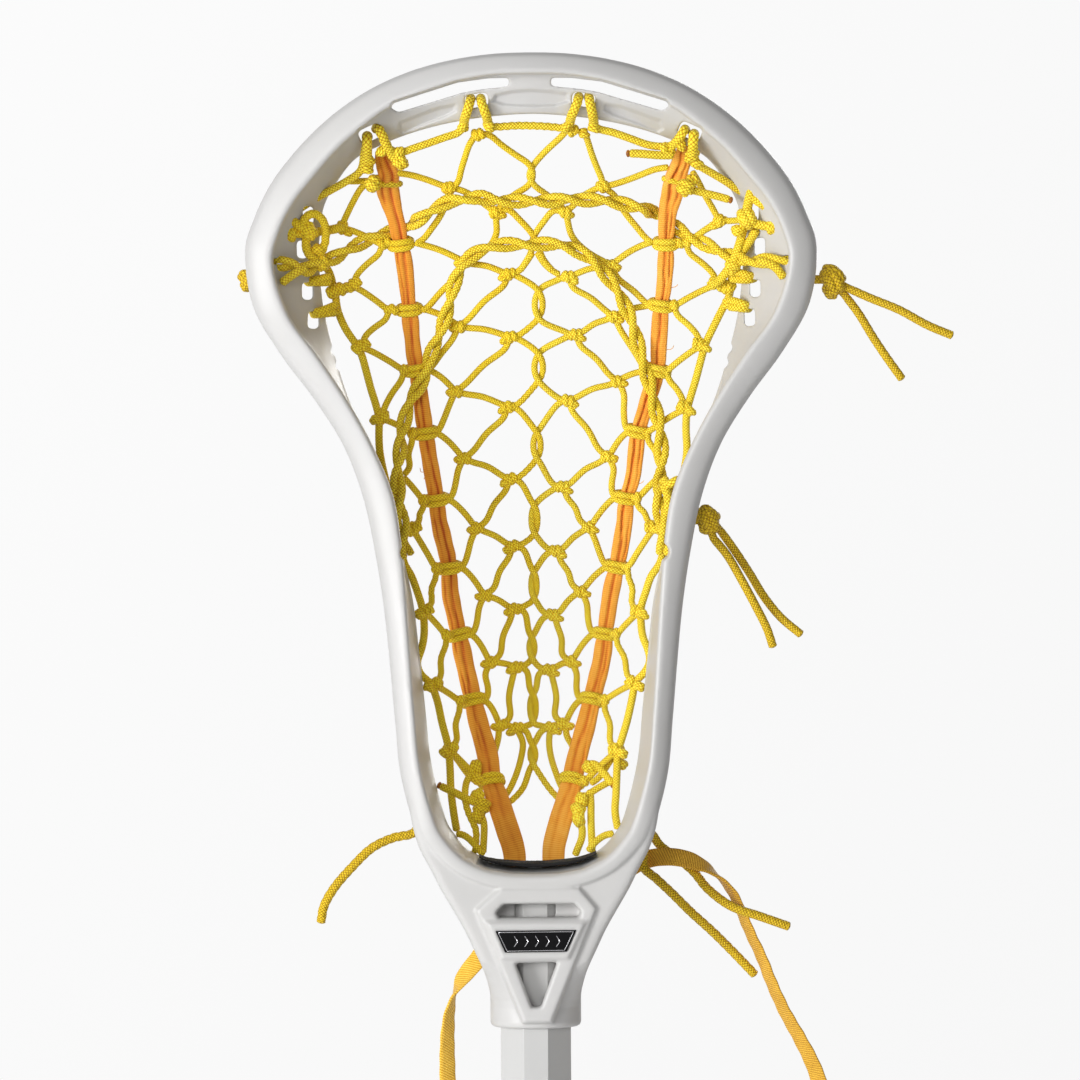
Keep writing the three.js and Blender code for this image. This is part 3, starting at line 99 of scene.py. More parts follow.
STRANDS = {
 'left_centre_lace': [
  [1.02,"b",[[-6.69,17.28,273.78],[-4.5,17.64,272.7],[1.59,17.83,268.86],[3.51,18.46,266.14],[4.17,20.06,262.72],[3.46,21.66,259.3],[1.51,22.29,256.57],[-4.06,22.54,251.99],[-6.27,22.79,250.9]]],
  [1.02,"b",[[-24.22,16.14,278.12],[-21.66,16.23,277.55],[-16.36,16.26,276.85],[-10.34,17.04,274.5],[-8.52,17.48,273.79]]],
  [1.02,"b",[[-8.89,17.82,273.07],[-9.65,18.54,270.17],[-17.39,19.76,264.0],[-23.31,21.28,257.45],[-26.27,21.98,255.28]]],
  [1.02,"b",[[-25.31,15.8,278.84],[-33.18,14.35,282.59],[-40.29,13.22,284.75],[-42.46,12.24,285.25]]],
  [1.02,"b",[[-25.33,16.4,277.04],[-26.82,17.28,273.78],[-33.47,19.03,267.16],[-38.05,19.83,261.95],[-40.25,19.37,260.46]]],
  [1.02,"b",[[-6.27,22.79,250.9],[-4.07,23.04,249.81],[1.44,23.12,245.96],[3.44,23.75,243.22],[4.16,25.3,239.78],[3.39,26.78,236.33],[1.36,27.32,233.58],[-4.97,27.89,226.61],[-7.19,28.11,225.51]]],
  [1.02,"b",[[-26.27,22.16,254.92],[-23.71,22.18,254.42],[-17.18,22.12,253.81],[-9.93,22.62,251.63],[-8.1,22.99,250.91]]],
  [1.02,"b",[[-8.48,23.26,250.18],[-9.23,23.83,247.26],[-17.84,25.12,240.69],[-24.62,26.49,233.75],[-27.59,27.12,231.56]]],
  [1.02,"b",[[-27.37,21.9,255.64],[-33.08,20.89,259.11],[-38.43,20.04,261.04],[-40.61,19.12,261.55]]],
  [1.02,"b",[[-27.38,22.32,253.82],[-28.88,22.87,250.54],[-33.58,24.21,244.72],[-37.1,24.86,239.95],[-39.31,24.35,238.47]]],
  [1.02,"b",[[-7.19,28.11,225.51],[-4.99,28.32,224.41],[0.64,28.89,217.43],[2.49,29.43,214.68],[3.09,30.92,211.21],[2.44,32.4,207.73],[0.55,32.94,204.97],[-4.42,33.11,200.0],[-6.64,33.33,198.89]]],
  [1.02,"b",[[-27.59,27.29,231.19],[-25.02,27.36,230.33],[-18.3,27.37,229.26],[-10.86,27.96,226.24],[-9.03,28.31,225.52]]],
  [1.02,"b",[[-9.4,28.55,224.78],[-10.16,29.03,221.85],[-16.94,30.03,215.7],[-21.89,31.31,209.19],[-24.86,31.94,206.99]]],
  [1.02,"b",[[-28.69,27.05,231.92],[-33.16,25.98,236.34],[-37.48,25.04,239.04],[-39.66,24.14,239.56]]],
  [1.02,"b",[[-28.7,27.41,230.09],[-30.2,27.86,226.79],[-32.36,28.91,221.43],[-34.52,29.4,216.89],[-36.72,28.89,215.41]]],
  [1.02,"b",[[-6.64,33.33,198.89],[-4.43,33.54,197.79],[-0.46,34.15,190.6],[1.25,34.69,187.84],[1.73,36.24,183.97],[1.2,37.8,180.09],[-0.55,38.25,177.32],[-3.44,37.78,175.29],[-5.67,37.96,174.18]]],
  [1.02,"b",[[-24.86,32.12,206.62],[-22.29,32.28,205.29],[-16.67,32.39,203.67],[-10.32,33.18,199.63],[-8.48,33.53,198.89]]],
  [1.02,"b",[[-8.86,33.77,198.16],[-9.62,34.25,195.21],[-14.38,35.16,189.5],[-17.31,36.35,183.42],[-20.28,36.98,181.2]]],
  [1.02,"b",[[-25.96,31.87,207.35],[-30.5,30.64,212.6],[-34.89,29.58,215.97],[-37.08,28.67,216.51]]],
  [1.02,"b",[[-25.98,32.23,205.52],[-27.48,32.68,202.2],[-28.52,33.73,196.81],[-30.08,34.22,192.26],[-32.29,33.71,190.78]]],
  [1.02,"b",[[-5.67,37.96,174.18],[-3.46,38.14,173.07],[-0.8,38.45,166.24],[0.84,38.9,163.46],[1.26,40.3,159.76],[0.79,41.7,156.04],[-0.89,42.15,153.26],[-3.23,41.54,152.12],[-5.45,41.72,151.01]]],
  [1.02,"b",[[-20.28,37.16,180.83],[-17.71,37.28,179.59],[-13.9,37.33,178.06],[-9.36,37.84,174.92],[-7.51,38.16,174.18]]],
  [1.02,"b",[[-7.89,38.38,173.44],[-8.65,38.76,170.49],[-12.52,39.49,164.75],[-14.54,40.48,158.64],[-17.52,41.04,156.42]]],
  [1.02,"b",[[-21.39,36.91,181.57],[-26.0,35.56,187.45],[-30.45,34.4,191.34],[-32.65,33.5,191.89]]],
  [1.02,"b",[[-21.4,37.26,179.72],[-22.9,37.6,176.4],[-24.12,38.4,171.47],[-25.77,38.7,167.16],[-27.99,38.14,165.68]]],
  [1.02,"b",[[-5.45,41.72,151.01],[-3.24,41.9,149.9],[-1.7,41.48,142.17],[-0.06,41.58,139.39],[0.38,42.49,136.6],[-0.09,43.4,133.81],[-1.77,43.51,131.03],[-2.59,42.73,130.49],[-4.82,42.77,129.38]]],
  [1.02,"b",[[-17.52,41.2,156.05],[-14.94,41.24,155.17],[-12.41,41.22,154.09],[-9.15,41.6,151.75],[-7.31,41.92,151.01]]],
  [1.02,"b",[[-7.68,42.14,150.27],[-8.44,42.28,147.3],[-11.39,42.33,140.75],[-12.49,42.6,133.82],[-15.47,42.89,131.59]]],
  [1.02,"b",[[-18.62,40.98,156.79],[-22.39,39.86,162.5],[-26.15,38.85,166.24],[-28.35,37.96,166.79]]],
  [1.02,"b",[[-18.64,41.28,154.94],[-20.14,41.62,151.6],[-20.85,42.1,146.66],[-22.24,41.87,142.35],[-24.46,41.13,140.88]]],
  [1.02,"b",[[-4.82,42.77,129.38],[-2.6,42.82,128.26],[-1.46,41.62,121.07],[0.22,40.97,118.31],[0.68,40.86,114.43],[0.17,40.76,110.55],[-1.54,40.11,107.8],[-2.72,39.35,108.0],[-4.94,39.09,106.9]]],
  [1.02,"b",[[-15.47,43.0,131.22],[-12.88,42.91,131.06],[-11.06,42.72,130.86],[-8.51,42.74,130.12],[-6.67,42.97,129.37]]],
  [1.02,"b",[[-7.04,43.1,128.63],[-7.8,43.12,125.67],[-9.29,41.77,118.29],[-8.92,39.96,110.57],[-11.89,39.64,108.36]]],
  [1.02,"b",[[-16.58,42.87,131.97],[-19.53,42.45,137.68],[-22.62,41.9,141.42],[-24.82,41.08,141.99]]],
  [1.02,"b",[[-16.59,42.94,130.11],[-18.09,42.87,126.78],[-16.98,42.66,122.08],[-17.39,41.28,117.94],[-19.6,40.14,116.49]]],
  [1.02,"b",[[-4.94,39.09,106.9],[-2.73,38.83,105.8],[-1.57,37.21,102.34],[0.07,36.56,99.59],[0.5,36.51,97.2],[0.04,35.9,94.82],[-1.63,34.28,92.11],[-4.24,30.77,85.06],[-8.69,29.46,80.33],[-11.64,29.38,78.49]]],
  [1.02,"b",[[-11.89,39.65,107.99],[-9.3,39.55,108.0],[-9.34,39.35,108.0],[-8.64,39.27,107.64],[-6.79,39.29,106.9]]],
  [1.02,"b",[[-13.0,39.72,108.73],[-15.24,40.71,113.79],[-17.76,41.07,117.02],[-19.97,40.4,117.59]]],
  [1.02,"b",[[-13.01,39.29,106.9],[-13.21,39.12,103.57],[-14.16,40.05,99.85],[-15.29,39.37,96.17]]],
  [1.02,"b",[[-5.99,39.03,105.79],[-4.16,37.88,101.77],[-4.93,36.25,95.91],[-6.8,33.28,89.75],[-9.78,31.01,83.58],[-12.0,30.5,81.02]]],
  [1.02,"b",[[-18.96,-5.04,323.55],[-15.34,-4.54,323.59],[-10.31,-1.16,319.82],[-5.26,1.0,316.32],[-0.2,1.88,312.74],[0.87,4.53,308.9],[-0.98,7.01,305.4],[-5.74,7.55,302.52],[-10.14,8.88,298.95],[-12.72,9.72,296.44]]],
  [1.02,"b",[[-20.43,-3.89,322.54],[-22.3,-1.16,319.82],[-23.8,1.34,315.62],[-25.32,3.52,311.02],[-26.46,5.54,306.78],[-28.67,6.38,305.0]]],
  [1.02,"b",[[-48.94,2.36,310.23],[-43.88,3.69,309.58],[-37.73,5.03,307.84],[-33.03,5.87,306.07],[-29.76,6.38,305.0]]],
  [1.02,"b",[[-28.68,6.88,305.03],[-25.04,6.88,303.94],[-20.7,8.39,301.84],[-16.35,9.0,298.59],[-13.45,9.72,296.44]]],
  [1.02,"b",[[-29.78,6.88,303.94],[-30.56,9.0,300.41],[-33.19,11.52,294.71],[-36.9,13.2,289.68],[-39.12,13.46,286.77],[-42.04,12.56,284.9]]],
  [1.02,"b",[[-12.36,10.26,295.74],[-12.75,11.52,292.89],[-12.42,13.02,289.31],[-14.28,14.46,284.99],[-18.71,15.68,281.03],[-23.85,16.02,278.48]]],
  [1.02,"b",[[-11.62,9.72,296.44],[-8.33,9.48,297.16],[-4.35,10.68,293.57],[0.0,12.24,288.9],[2.53,13.08,284.56],[3.25,14.04,281.68],[5.05,15.84,278.11],[7.96,16.92,274.87]]],
  [1.02,"b",[[0.69,15.44,281.75],[-2.27,16.28,277.4],[-4.48,16.92,274.87],[-7.42,17.28,273.78]]]],
 'right_centre_lace': [
  [1.02,"b",[[11.98,17.64,272.7],[9.77,18.0,271.62],[3.79,19.43,268.93],[1.84,20.06,266.21],[1.13,20.06,262.72],[1.79,20.06,259.24],[3.71,20.69,256.51],[12.42,22.37,252.72],[14.62,22.62,251.63]]],
  [1.02,"b",[[28.83,16.62,276.68],[26.27,16.68,276.19],[21.32,16.68,275.59],[15.64,17.4,273.42],[13.81,17.84,272.71]]],
  [1.02,"b",[[14.17,18.18,271.99],[14.89,18.79,269.09],[21.83,19.53,264.99],[26.94,20.56,260.54],[29.87,21.27,258.37]]],
  [1.02,"b",[[29.93,16.28,277.4],[36.18,14.63,281.75],[41.94,13.34,284.39],[44.12,12.36,284.89]]],
  [1.02,"b",[[29.93,16.88,275.6],[31.38,17.76,272.34],[37.7,19.01,267.26],[42.08,19.62,262.89],[44.26,19.15,261.41]]],
  [1.02,"b",[[14.62,22.62,251.63],[12.41,22.87,250.54],[3.65,24.72,246.01],[1.62,25.35,243.27],[0.85,25.3,239.78],[1.57,25.18,236.29],[3.57,25.72,233.54],[9.53,27.5,228.62],[11.73,27.71,227.53]]],
  [1.02,"b",[[29.87,21.45,258.01],[27.3,21.59,256.98],[23.17,21.68,255.72],[18.29,22.45,252.36],[16.45,22.82,251.64]]],
  [1.02,"b",[[16.82,23.09,250.91],[17.54,23.66,247.99],[23.85,24.68,242.7],[28.32,25.84,237.04],[31.26,26.47,234.85]]],
  [1.02,"b",[[30.97,21.18,258.73],[36.92,20.45,261.02],[42.44,19.83,261.98],[44.63,18.9,262.5]]],
  [1.02,"b",[[30.97,21.6,256.91],[32.42,22.16,253.63],[37.75,24.07,245.33],[41.6,25.01,239.22],[43.78,24.5,237.74]]],
  [1.02,"b",[[11.73,27.71,227.53],[9.52,27.93,226.43],[2.84,30.49,217.46],[0.96,31.03,214.71],[0.31,30.92,211.21],[0.91,30.8,207.71],[2.77,31.34,204.95],[7.36,33.69,197.05],[9.57,33.9,195.95]]],
  [1.02,"b",[[31.26,26.64,234.49],[28.68,26.77,233.33],[22.42,26.85,231.92],[15.42,27.57,228.26],[13.57,27.91,227.53]]],
  [1.02,"b",[[13.94,28.16,226.8],[14.66,28.63,223.87],[20.51,29.8,216.9],[24.53,31.24,209.55],[27.47,31.87,207.35]]],
  [1.02,"b",[[32.36,26.4,235.21],[37.28,25.76,237.42],[41.96,25.19,238.31],[44.15,24.28,238.83]]],
  [1.02,"b",[[32.36,26.76,233.39],[33.81,27.21,230.09],[33.74,28.68,222.58],[34.68,29.4,216.89],[36.87,28.89,215.41]]],
  [1.02,"b",[[9.57,33.9,195.95],[7.35,34.12,194.84],[1.75,35.75,190.61],[0.01,36.29,187.85],[-0.53,36.24,183.97],[-0.04,36.2,180.09],[1.67,36.65,177.32],[4.97,38.08,173.44],[7.18,38.26,172.34]]],
  [1.02,"b",[[27.47,32.04,206.99],[24.88,32.35,204.92],[19.45,32.64,202.39],[13.26,33.76,196.68],[11.41,34.1,195.95]]],
  [1.02,"b",[[11.78,34.35,195.21],[12.5,34.82,192.27],[15.87,35.45,188.03],[17.4,36.35,183.42],[20.34,36.98,181.2]]],
  [1.02,"b",[[28.58,31.8,207.72],[31.77,30.61,212.77],[35.04,29.58,215.97],[37.24,28.67,216.51]]],
  [1.02,"b",[[28.57,32.16,205.88],[30.03,32.61,202.57],[29.15,33.66,197.18],[29.66,34.15,192.63],[31.86,33.64,191.15]]],
  [1.02,"b",[[7.18,38.26,172.34],[4.96,38.44,171.23],[1.41,40.05,166.23],[-0.26,40.5,163.45],[-0.73,40.3,159.76],[-0.31,40.1,156.06],[1.33,40.55,153.28],[3.53,41.92,149.75],[5.74,42.02,148.64]]],
  [1.02,"b",[[20.34,37.16,180.83],[17.75,37.35,179.17],[14.69,37.48,177.14],[10.88,38.14,173.07],[9.03,38.46,172.33]]],
  [1.02,"b",[[9.39,38.68,171.6],[10.12,39.06,168.64],[13.14,39.55,164.38],[14.32,40.3,159.76],[17.27,40.86,157.53]]],
  [1.02,"b",[[21.45,36.91,181.57],[25.81,35.52,187.66],[30.03,34.33,191.71],[32.23,33.42,192.26]]],
  [1.02,"b",[[21.45,37.26,179.72],[22.91,37.6,176.4],[24.61,38.4,171.47],[26.51,38.7,167.16],[28.71,38.14,165.68]]],
  [1.02,"b",[[5.74,42.02,148.64],[3.52,42.07,147.53],[0.52,43.08,142.15],[-1.16,43.18,139.37],[-1.62,42.49,136.6],[-1.19,41.8,133.84],[0.45,41.91,131.06],[1.92,42.77,129.38],[4.14,42.82,128.26]]],
  [1.02,"b",[[17.27,41.02,157.16],[14.67,41.19,155.49],[12.43,41.32,153.46],[9.45,41.98,149.38],[7.6,42.22,148.64]]],
  [1.02,"b",[[7.96,42.35,147.89],[8.68,42.37,144.93],[10.5,42.38,139.56],[10.47,42.6,133.82],[13.42,42.89,131.59]]],
  [1.02,"b",[[18.38,40.8,157.9],[22.69,39.77,163.0],[26.87,38.85,166.24],[29.08,37.96,166.79]]],
  [1.02,"b",[[18.37,41.1,156.05],[19.83,41.44,152.72],[20.2,42.09,147.05],[21.38,41.87,142.35],[23.59,41.13,140.88]]],
  [1.02,"b",[[4.14,42.82,128.26],[1.91,42.86,127.15],[0.76,43.22,121.03],[-0.95,42.57,118.27],[-1.46,40.86,114.43],[-1.0,39.16,110.6],[0.68,38.51,107.84],[2.53,39.35,108.0],[4.74,39.09,106.9]]],
  [1.02,"b",[[13.41,43.0,131.22],[10.82,42.92,130.81],[9.7,42.74,130.3],[7.85,42.79,129.0],[5.99,43.02,128.26]]],
  [1.02,"b",[[6.36,43.14,127.52],[7.08,43.16,124.55],[8.33,41.68,117.93],[7.73,40.04,110.94],[10.67,39.72,108.73]]],
  [1.02,"b",[[14.53,42.87,131.97],[18.13,42.45,137.68],[21.75,41.9,141.42],[23.97,41.08,141.99]]],
  [1.02,"b",[[14.52,42.94,130.11],[15.98,42.87,126.78],[15.7,42.66,122.08],[16.53,41.28,117.94],[18.73,40.14,116.49]]],
  [1.02,"b",[[4.74,39.09,106.9],[2.52,38.83,105.8],[0.65,38.81,102.29],[-1.03,38.16,99.54],[-1.49,36.51,97.2],[-1.05,34.3,94.88],[0.59,32.68,92.17],[5.33,30.77,85.06],[8.62,30.11,81.4],[11.55,30.03,79.57]]],
  [1.02,"b",[[10.67,39.74,108.36],[8.08,39.62,108.28],[8.63,39.4,108.19],[8.44,39.27,107.64],[6.59,39.29,106.9]]],
  [1.02,"b",[[11.78,39.81,109.1],[14.22,40.75,113.95],[16.89,41.07,117.02],[19.11,40.4,117.59]]],
  [1.02,"b",[[11.77,39.38,107.26],[11.93,39.2,103.94],[13.95,40.22,100.58],[15.77,39.37,96.17]]],
  [1.02,"b",[[5.84,39.03,105.79],[5.45,37.88,101.77],[6.15,36.47,96.27],[7.95,33.71,90.47],[10.12,31.87,85.01],[12.31,31.14,82.1]]],
  [1.02,"b",[[13.66,-6.12,325.29],[10.75,-3.17,322.23],[7.11,-0.73,319.12],[3.82,1.17,315.97],[0.89,3.65,312.49],[-0.59,4.53,308.9],[1.57,5.41,305.31],[5.56,7.55,302.52],[9.19,8.76,299.31],[12.09,9.72,296.44]]],
  [1.02,"b",[[19.46,-5.18,324.63],[20.91,-1.81,320.86],[22.36,1.0,316.32],[24.17,3.18,311.73],[25.98,5.2,307.48],[26.34,6.21,305.36]]],
  [1.02,"b",[[50.34,2.18,311.67],[45.27,3.52,311.02],[40.54,4.36,309.25],[34.72,5.37,307.13],[29.99,6.04,305.71],[26.71,6.38,305.0]]],
  [1.02,"b",[[25.62,6.88,305.03],[22.33,7.05,303.58],[18.69,8.54,301.48],[15.39,9.12,298.23],[12.82,9.84,296.08]]],
  [1.02,"b",[[27.07,6.71,304.29],[30.35,7.72,302.16],[32.18,9.68,298.99],[35.1,11.52,294.71],[38.74,12.96,290.4],[42.02,13.48,286.41],[44.55,12.68,284.54]]],
  [1.02,"b",[[12.82,10.38,295.38],[13.54,11.64,292.53],[14.25,13.14,288.95],[16.43,14.34,285.35],[21.53,15.68,281.03],[27.37,16.26,277.76]]],
  [1.02,"b",[[11.73,9.84,296.08],[8.45,9.6,296.8],[5.14,10.8,293.21],[0.72,13.36,286.77],[0.33,14.72,283.91],[-0.05,15.56,281.39],[-2.27,15.96,277.75],[-4.12,17.02,274.87]]],
  [1.02,"b",[[2.15,14.04,281.68],[4.32,15.84,278.11],[7.23,16.8,275.23],[10.52,17.4,273.42]]]],
 'left_outer_lace': [
  [1.02,"b",[[-68.58,9.8,290.61],[-65.41,10.06,289.8],[-59.09,11.34,287.07],[-54.5,12.17,284.7],[-52.3,11.9,284.5]]],
  [1.02,"b",[[-52.29,11.68,285.22],[-54.5,12.23,284.52],[-55.29,13.56,281.66],[-60.23,13.91,277.47],[-64.08,14.15,273.28],[-64.84,14.8,270.38]]],
  [1.02,"b",[[-65.22,14.83,269.65],[-62.34,15.32,268.16],[-56.54,16.98,264.17],[-52.31,18.09,260.96],[-50.11,18.03,260.78]]],
  [1.02,"b",[[-50.1,17.9,261.51],[-52.31,18.12,260.78],[-53.09,19.05,257.89],[-57.68,18.41,254.49],[-61.18,17.88,251.1],[-61.94,18.28,248.19]]],
  [1.02,"b",[[-62.31,18.24,247.45],[-58.82,19.15,246.02],[-51.89,21.6,242.13],[-46.91,23.26,238.99],[-44.71,23.44,238.81]]],
  [1.02,"b",[[-44.7,23.34,239.54],[-46.91,23.28,238.8],[-47.67,23.94,235.88],[-51.56,23.02,230.35],[-54.35,22.11,224.83],[-55.09,22.0,221.89]]],
  [1.02,"b",[[-55.46,21.79,221.15],[-52.99,22.66,220.53],[-47.9,25.02,218.1],[-44.14,26.71,215.92],[-41.95,27.31,215.75]]],
  [1.02,"b",[[-41.94,27.25,216.48],[-44.14,26.72,215.74],[-44.17,27.45,212.81],[-45.7,26.61,208.2],[-45.04,27.05,203.61],[-47.24,25.68,200.65]]],
  [1.02,"b",[[-47.6,25.36,199.92],[-46.11,26.11,198.45],[-42.79,28.39,194.5],[-40.21,30.15,191.31],[-38.03,31.43,191.14]]],
  [1.02,"b",[[-38.02,31.39,191.87],[-40.21,30.15,191.13],[-40.24,30.78,188.19],[-41.97,29.13,186.15],[-41.54,29.51,184.13],[-43.72,27.38,181.18]]],
  [1.02,"b",[[-44.08,26.93,180.44],[-42.36,28.04,177.6],[-38.61,30.95,171.13],[-35.74,33.32,166.26],[-33.56,35.2,166.07]]],
  [1.02,"b",[[-33.56,35.15,166.81],[-35.74,33.32,166.08],[-35.77,33.92,163.12],[-37.64,31.37,158.42],[-37.34,31.04,153.71],[-39.5,27.51,150.8]]],
  [1.02,"b",[[-39.86,26.85,150.08],[-38.31,28.57,148.64],[-34.88,32.55,144.71],[-32.22,35.26,141.53],[-30.04,37.68,141.3]]],
  [1.02,"b",[[-30.04,37.86,142.04],[-32.22,35.22,141.34],[-32.24,35.17,138.39],[-34.29,31.11,132.56],[-34.17,30.03,126.69],[-36.35,26.83,123.82]]],
  [1.02,"b",[[-36.71,26.15,123.1],[-34.74,28.22,122.32],[-30.55,32.46,119.56],[-27.37,35.01,117.18],[-25.18,36.93,116.94]]],
  [1.02,"b",[[-25.18,37.26,117.67],[-27.37,34.93,116.99],[-27.38,34.35,114.06],[-28.99,30.52,108.45],[-28.42,29.13,102.79],[-30.61,26.62,99.93]]],
  [1.02,"b",[[-30.97,26.11,99.22],[-28.55,27.05,96.98],[-23.53,28.25,91.64],[-19.8,27.9,87.57],[-17.6,28.37,87.36]]],
  [1.02,"b",[[-57.71,3.14,307.73],[-61.4,4.59,305.26],[-64.42,6.95,300.66],[-67.04,8.22,295.63],[-68.92,9.16,291.67]]],
  [1.02,"b",[[-68.57,9.5,290.59],[-71.13,9.42,289.86],[-76.21,8.53,289.08],[-80.88,6.67,288.26]]],
  [1.02,"b",[[-66.8,2.89,307.35],[-62.8,3.0,307.35],[-58.44,3.13,307.36]]],
  [1.05,"b",[[-31.05,31.19,99.04],[-28.85,30.97,96.47],[-26.28,29.81,92.83],[-24.08,28.58,89.93],[-21.5,27.28,87.78]]],
  [1.1,"b",[[-22.6,28.73,91.03],[-24.79,26.0,88.19],[-25.52,23.19,83.53],[-24.8,20.95,78.12],[-23.34,19.79,74.51],[-21.53,19.8,70.48],[-21.57,19.95,65.34],[-21.96,20.49,61.65]]],
  [1.1,"b",[[-20.04,21.09,76.65],[-18.59,19.97,73.04],[-18.61,19.62,67.92],[-19.02,19.99,61.67]]],
  [1.2,"b",[[-34.66,21.92,86.52],[-32.46,21.27,85.45],[-29.17,21.41,83.97],[-25.14,21.11,81.78],[-21.12,21.03,79.95]]],
  [1.1,"b",[[-28.87,20.0,69.0],[-26.31,20.0,68.64],[-23.38,19.0,66.49],[-20.82,18.0,63.6],[-18.64,18.0,61.04]]]],
 'right_outer_lace': [
  [1.02,"b",[[68.61,9.41,292.05],[66.02,9.76,290.79],[60.72,11.18,287.25],[56.81,12.15,284.33],[54.61,11.89,284.14]]],
  [1.02,"b",[[54.61,11.67,284.86],[56.81,12.2,284.15],[57.56,13.58,281.3],[62.73,13.84,277.11],[66.8,13.92,272.91],[67.53,14.52,270.01]]],
  [1.02,"b",[[67.89,14.53,269.28],[64.37,15.19,268.11],[57.38,17.11,264.73],[52.35,18.4,261.93],[50.15,18.38,261.74]]],
  [1.02,"b",[[50.15,18.25,262.47],[52.35,18.43,261.75],[53.09,19.4,258.85],[57.55,18.84,254.8],[60.92,18.37,250.75],[61.65,18.78,247.84]]],
  [1.02,"b",[[62.01,18.73,247.1],[59.22,19.56,245.57],[53.55,21.99,241.52],[49.4,23.7,238.26],[47.2,24.01,238.09]]],
  [1.02,"b",[[47.21,23.92,238.82],[49.4,23.71,238.08],[50.12,24.13,235.16],[53.2,22.91,231.45],[55.19,22.08,227.76],[55.9,21.93,224.83]]],
  [1.02,"b",[[56.26,21.71,224.09],[53.18,22.78,222.73],[46.99,25.51,218.99],[42.48,27.45,215.93],[40.28,28.05,215.76]]],
  [1.02,"b",[[40.29,27.99,216.5],[42.48,27.46,215.75],[42.48,28.31,212.82],[45.4,26.72,208.75],[46.14,26.3,204.7],[48.3,24.99,201.75]]],
  [1.02,"b",[[48.66,24.68,201.01],[46.52,25.94,199.37],[42.01,28.83,195.09],[38.63,30.73,191.68],[36.44,31.91,191.51]]],
  [1.02,"b",[[36.44,31.91,192.25],[38.63,30.75,191.5],[38.62,31.58,188.56],[41.31,29.28,186.25],[41.83,28.82,183.94],[43.98,26.85,181.0]]],
  [1.02,"b",[[44.33,26.42,180.26],[42.36,27.83,177.46],[38.16,31.44,171.08],[34.98,34.03,166.26],[32.79,35.87,166.06]]],
  [1.02,"b",[[32.79,35.95,166.8],[34.97,34.0,166.07],[34.96,34.17,163.12],[36.64,31.3,158.07],[36.15,31.2,153.01],[38.29,28.24,150.1]]],
  [1.02,"b",[[38.65,27.69,149.37],[37.03,29.32,148.1],[33.46,33.3,144.49],[30.71,36.12,141.51],[28.52,38.37,141.29]]],
  [1.02,"b",[[28.52,38.46,142.03],[30.71,36.1,141.33],[30.69,36.33,138.37],[33.59,31.64,132.55],[34.3,29.4,126.71],[36.44,26.33,123.84]]],
  [1.02,"b",[[36.8,25.69,123.12],[34.48,28.08,122.32],[29.64,32.84,119.55],[26.02,35.66,117.16],[23.83,37.45,116.93]]],
  [1.02,"b",[[23.83,37.79,117.66],[26.02,35.58,116.98],[26.0,34.98,114.04],[28.03,30.67,108.08],[27.88,28.85,102.07],[30.04,26.52,99.2]]],
  [1.02,"b",[[30.4,26.05,98.48],[27.78,27.0,96.43],[22.38,28.11,91.42],[18.4,27.76,87.57],[16.19,28.15,87.37]]],
  [1.02,"b",[[58.7,2.27,310.22],[60.91,4.24,306.7],[63.49,6.67,301.74],[66.41,7.96,296.71],[68.6,8.9,292.75]]],
  [1.02,"b",[[69.33,8.93,292.39],[73.31,8.0,292.34],[77.62,5.93,292.59]]],
  [1.02,"b",[[62.79,10.88,288.84],[65.7,9.95,290.25],[68.6,9.11,292.03]]],
  [1.05,"b",[[30.46,31.02,98.31],[28.23,30.32,95.39],[25.61,28.94,91.39],[23.37,27.72,88.49],[20.41,26.64,86.7]]],
  [1.25,"b",[[19.36,28.99,92.49],[21.21,28.67,94.34],[23.76,27.09,92.56],[26.3,25.86,89.67],[28.83,24.32,86.42]]],
  [1.1,"b",[[28.49,25.78,87.83],[26.27,25.14,86.76],[22.95,24.06,84.96],[19.63,23.76,82.77],[17.04,23.46,80.58]]],
  [1.15,"b",[[20.38,25.24,84.55],[20.7,22.82,79.51],[20.65,20.86,73.73],[20.94,19.66,64.25],[20.93,20.49,61.65]]],
  [1.15,"b",[[15.88,19.79,74.51],[17.32,19.99,71.2],[17.3,19.93,67.17],[15.81,20.08,63.5],[14.7,20.93,60.52]]],
  [1.1,"b",[[29.04,20.0,68.64],[26.1,20.0,68.27],[23.15,19.0,66.49],[20.93,18.0,64.34],[19.45,18.0,62.14]]],
  [1.1,"b",[[29.67,28.67,94.34],[31.87,28.06,94.0],[33.69,27.19,92.56]]]],
 'left_sidewall_string': [
  [1.2,"b",[[-75.34,12.86,277.24],[-73.55,13.51,274.35],[-72.51,14.25,269.99],[-71.46,14.98,265.27],[-71.13,15.39,262.0],[-69.72,16.17,257.63],[-67.58,17.12,253.28],[-64.36,18.44,248.56],[-62.57,19.26,245.29],[-60.81,20.25,239.09],[-59.04,21.21,232.14],[-57.27,22.09,226.3],[-56.21,22.37,221.53],[-56.24,21.78,214.55],[-55.91,21.87,208.68],[-54.19,24.18,199.9],[-51.36,25.88,189.26],[-48.49,25.55,176.4],[-47.4,24.1,168.32],[-44.86,24.17,163.91],[-42.73,25.6,158.03],[-40.95,26.67,152.14],[-40.24,26.65,146.99],[-40.26,25.57,141.12],[-41.36,23.96,136.01],[-42.85,23.83,131.61],[-41.41,23.66,127.2],[-38.16,25.4,124.23],[-35.65,27.06,117.94],[-33.86,26.92,109.48],[-31.71,26.84,101.03],[-31.0,25.22,93.37],[-30.65,22.84,84.65],[-29.59,22.04,75.87],[-28.53,22.01,69.64]]],
  [1.25,"b",[[-72.97,7.0,272.97],[-76.2,5.5,272.18],[-79.47,5.0,271.43],[-81.02,7.5,271.35],[-81.96,13.0,271.4]]],
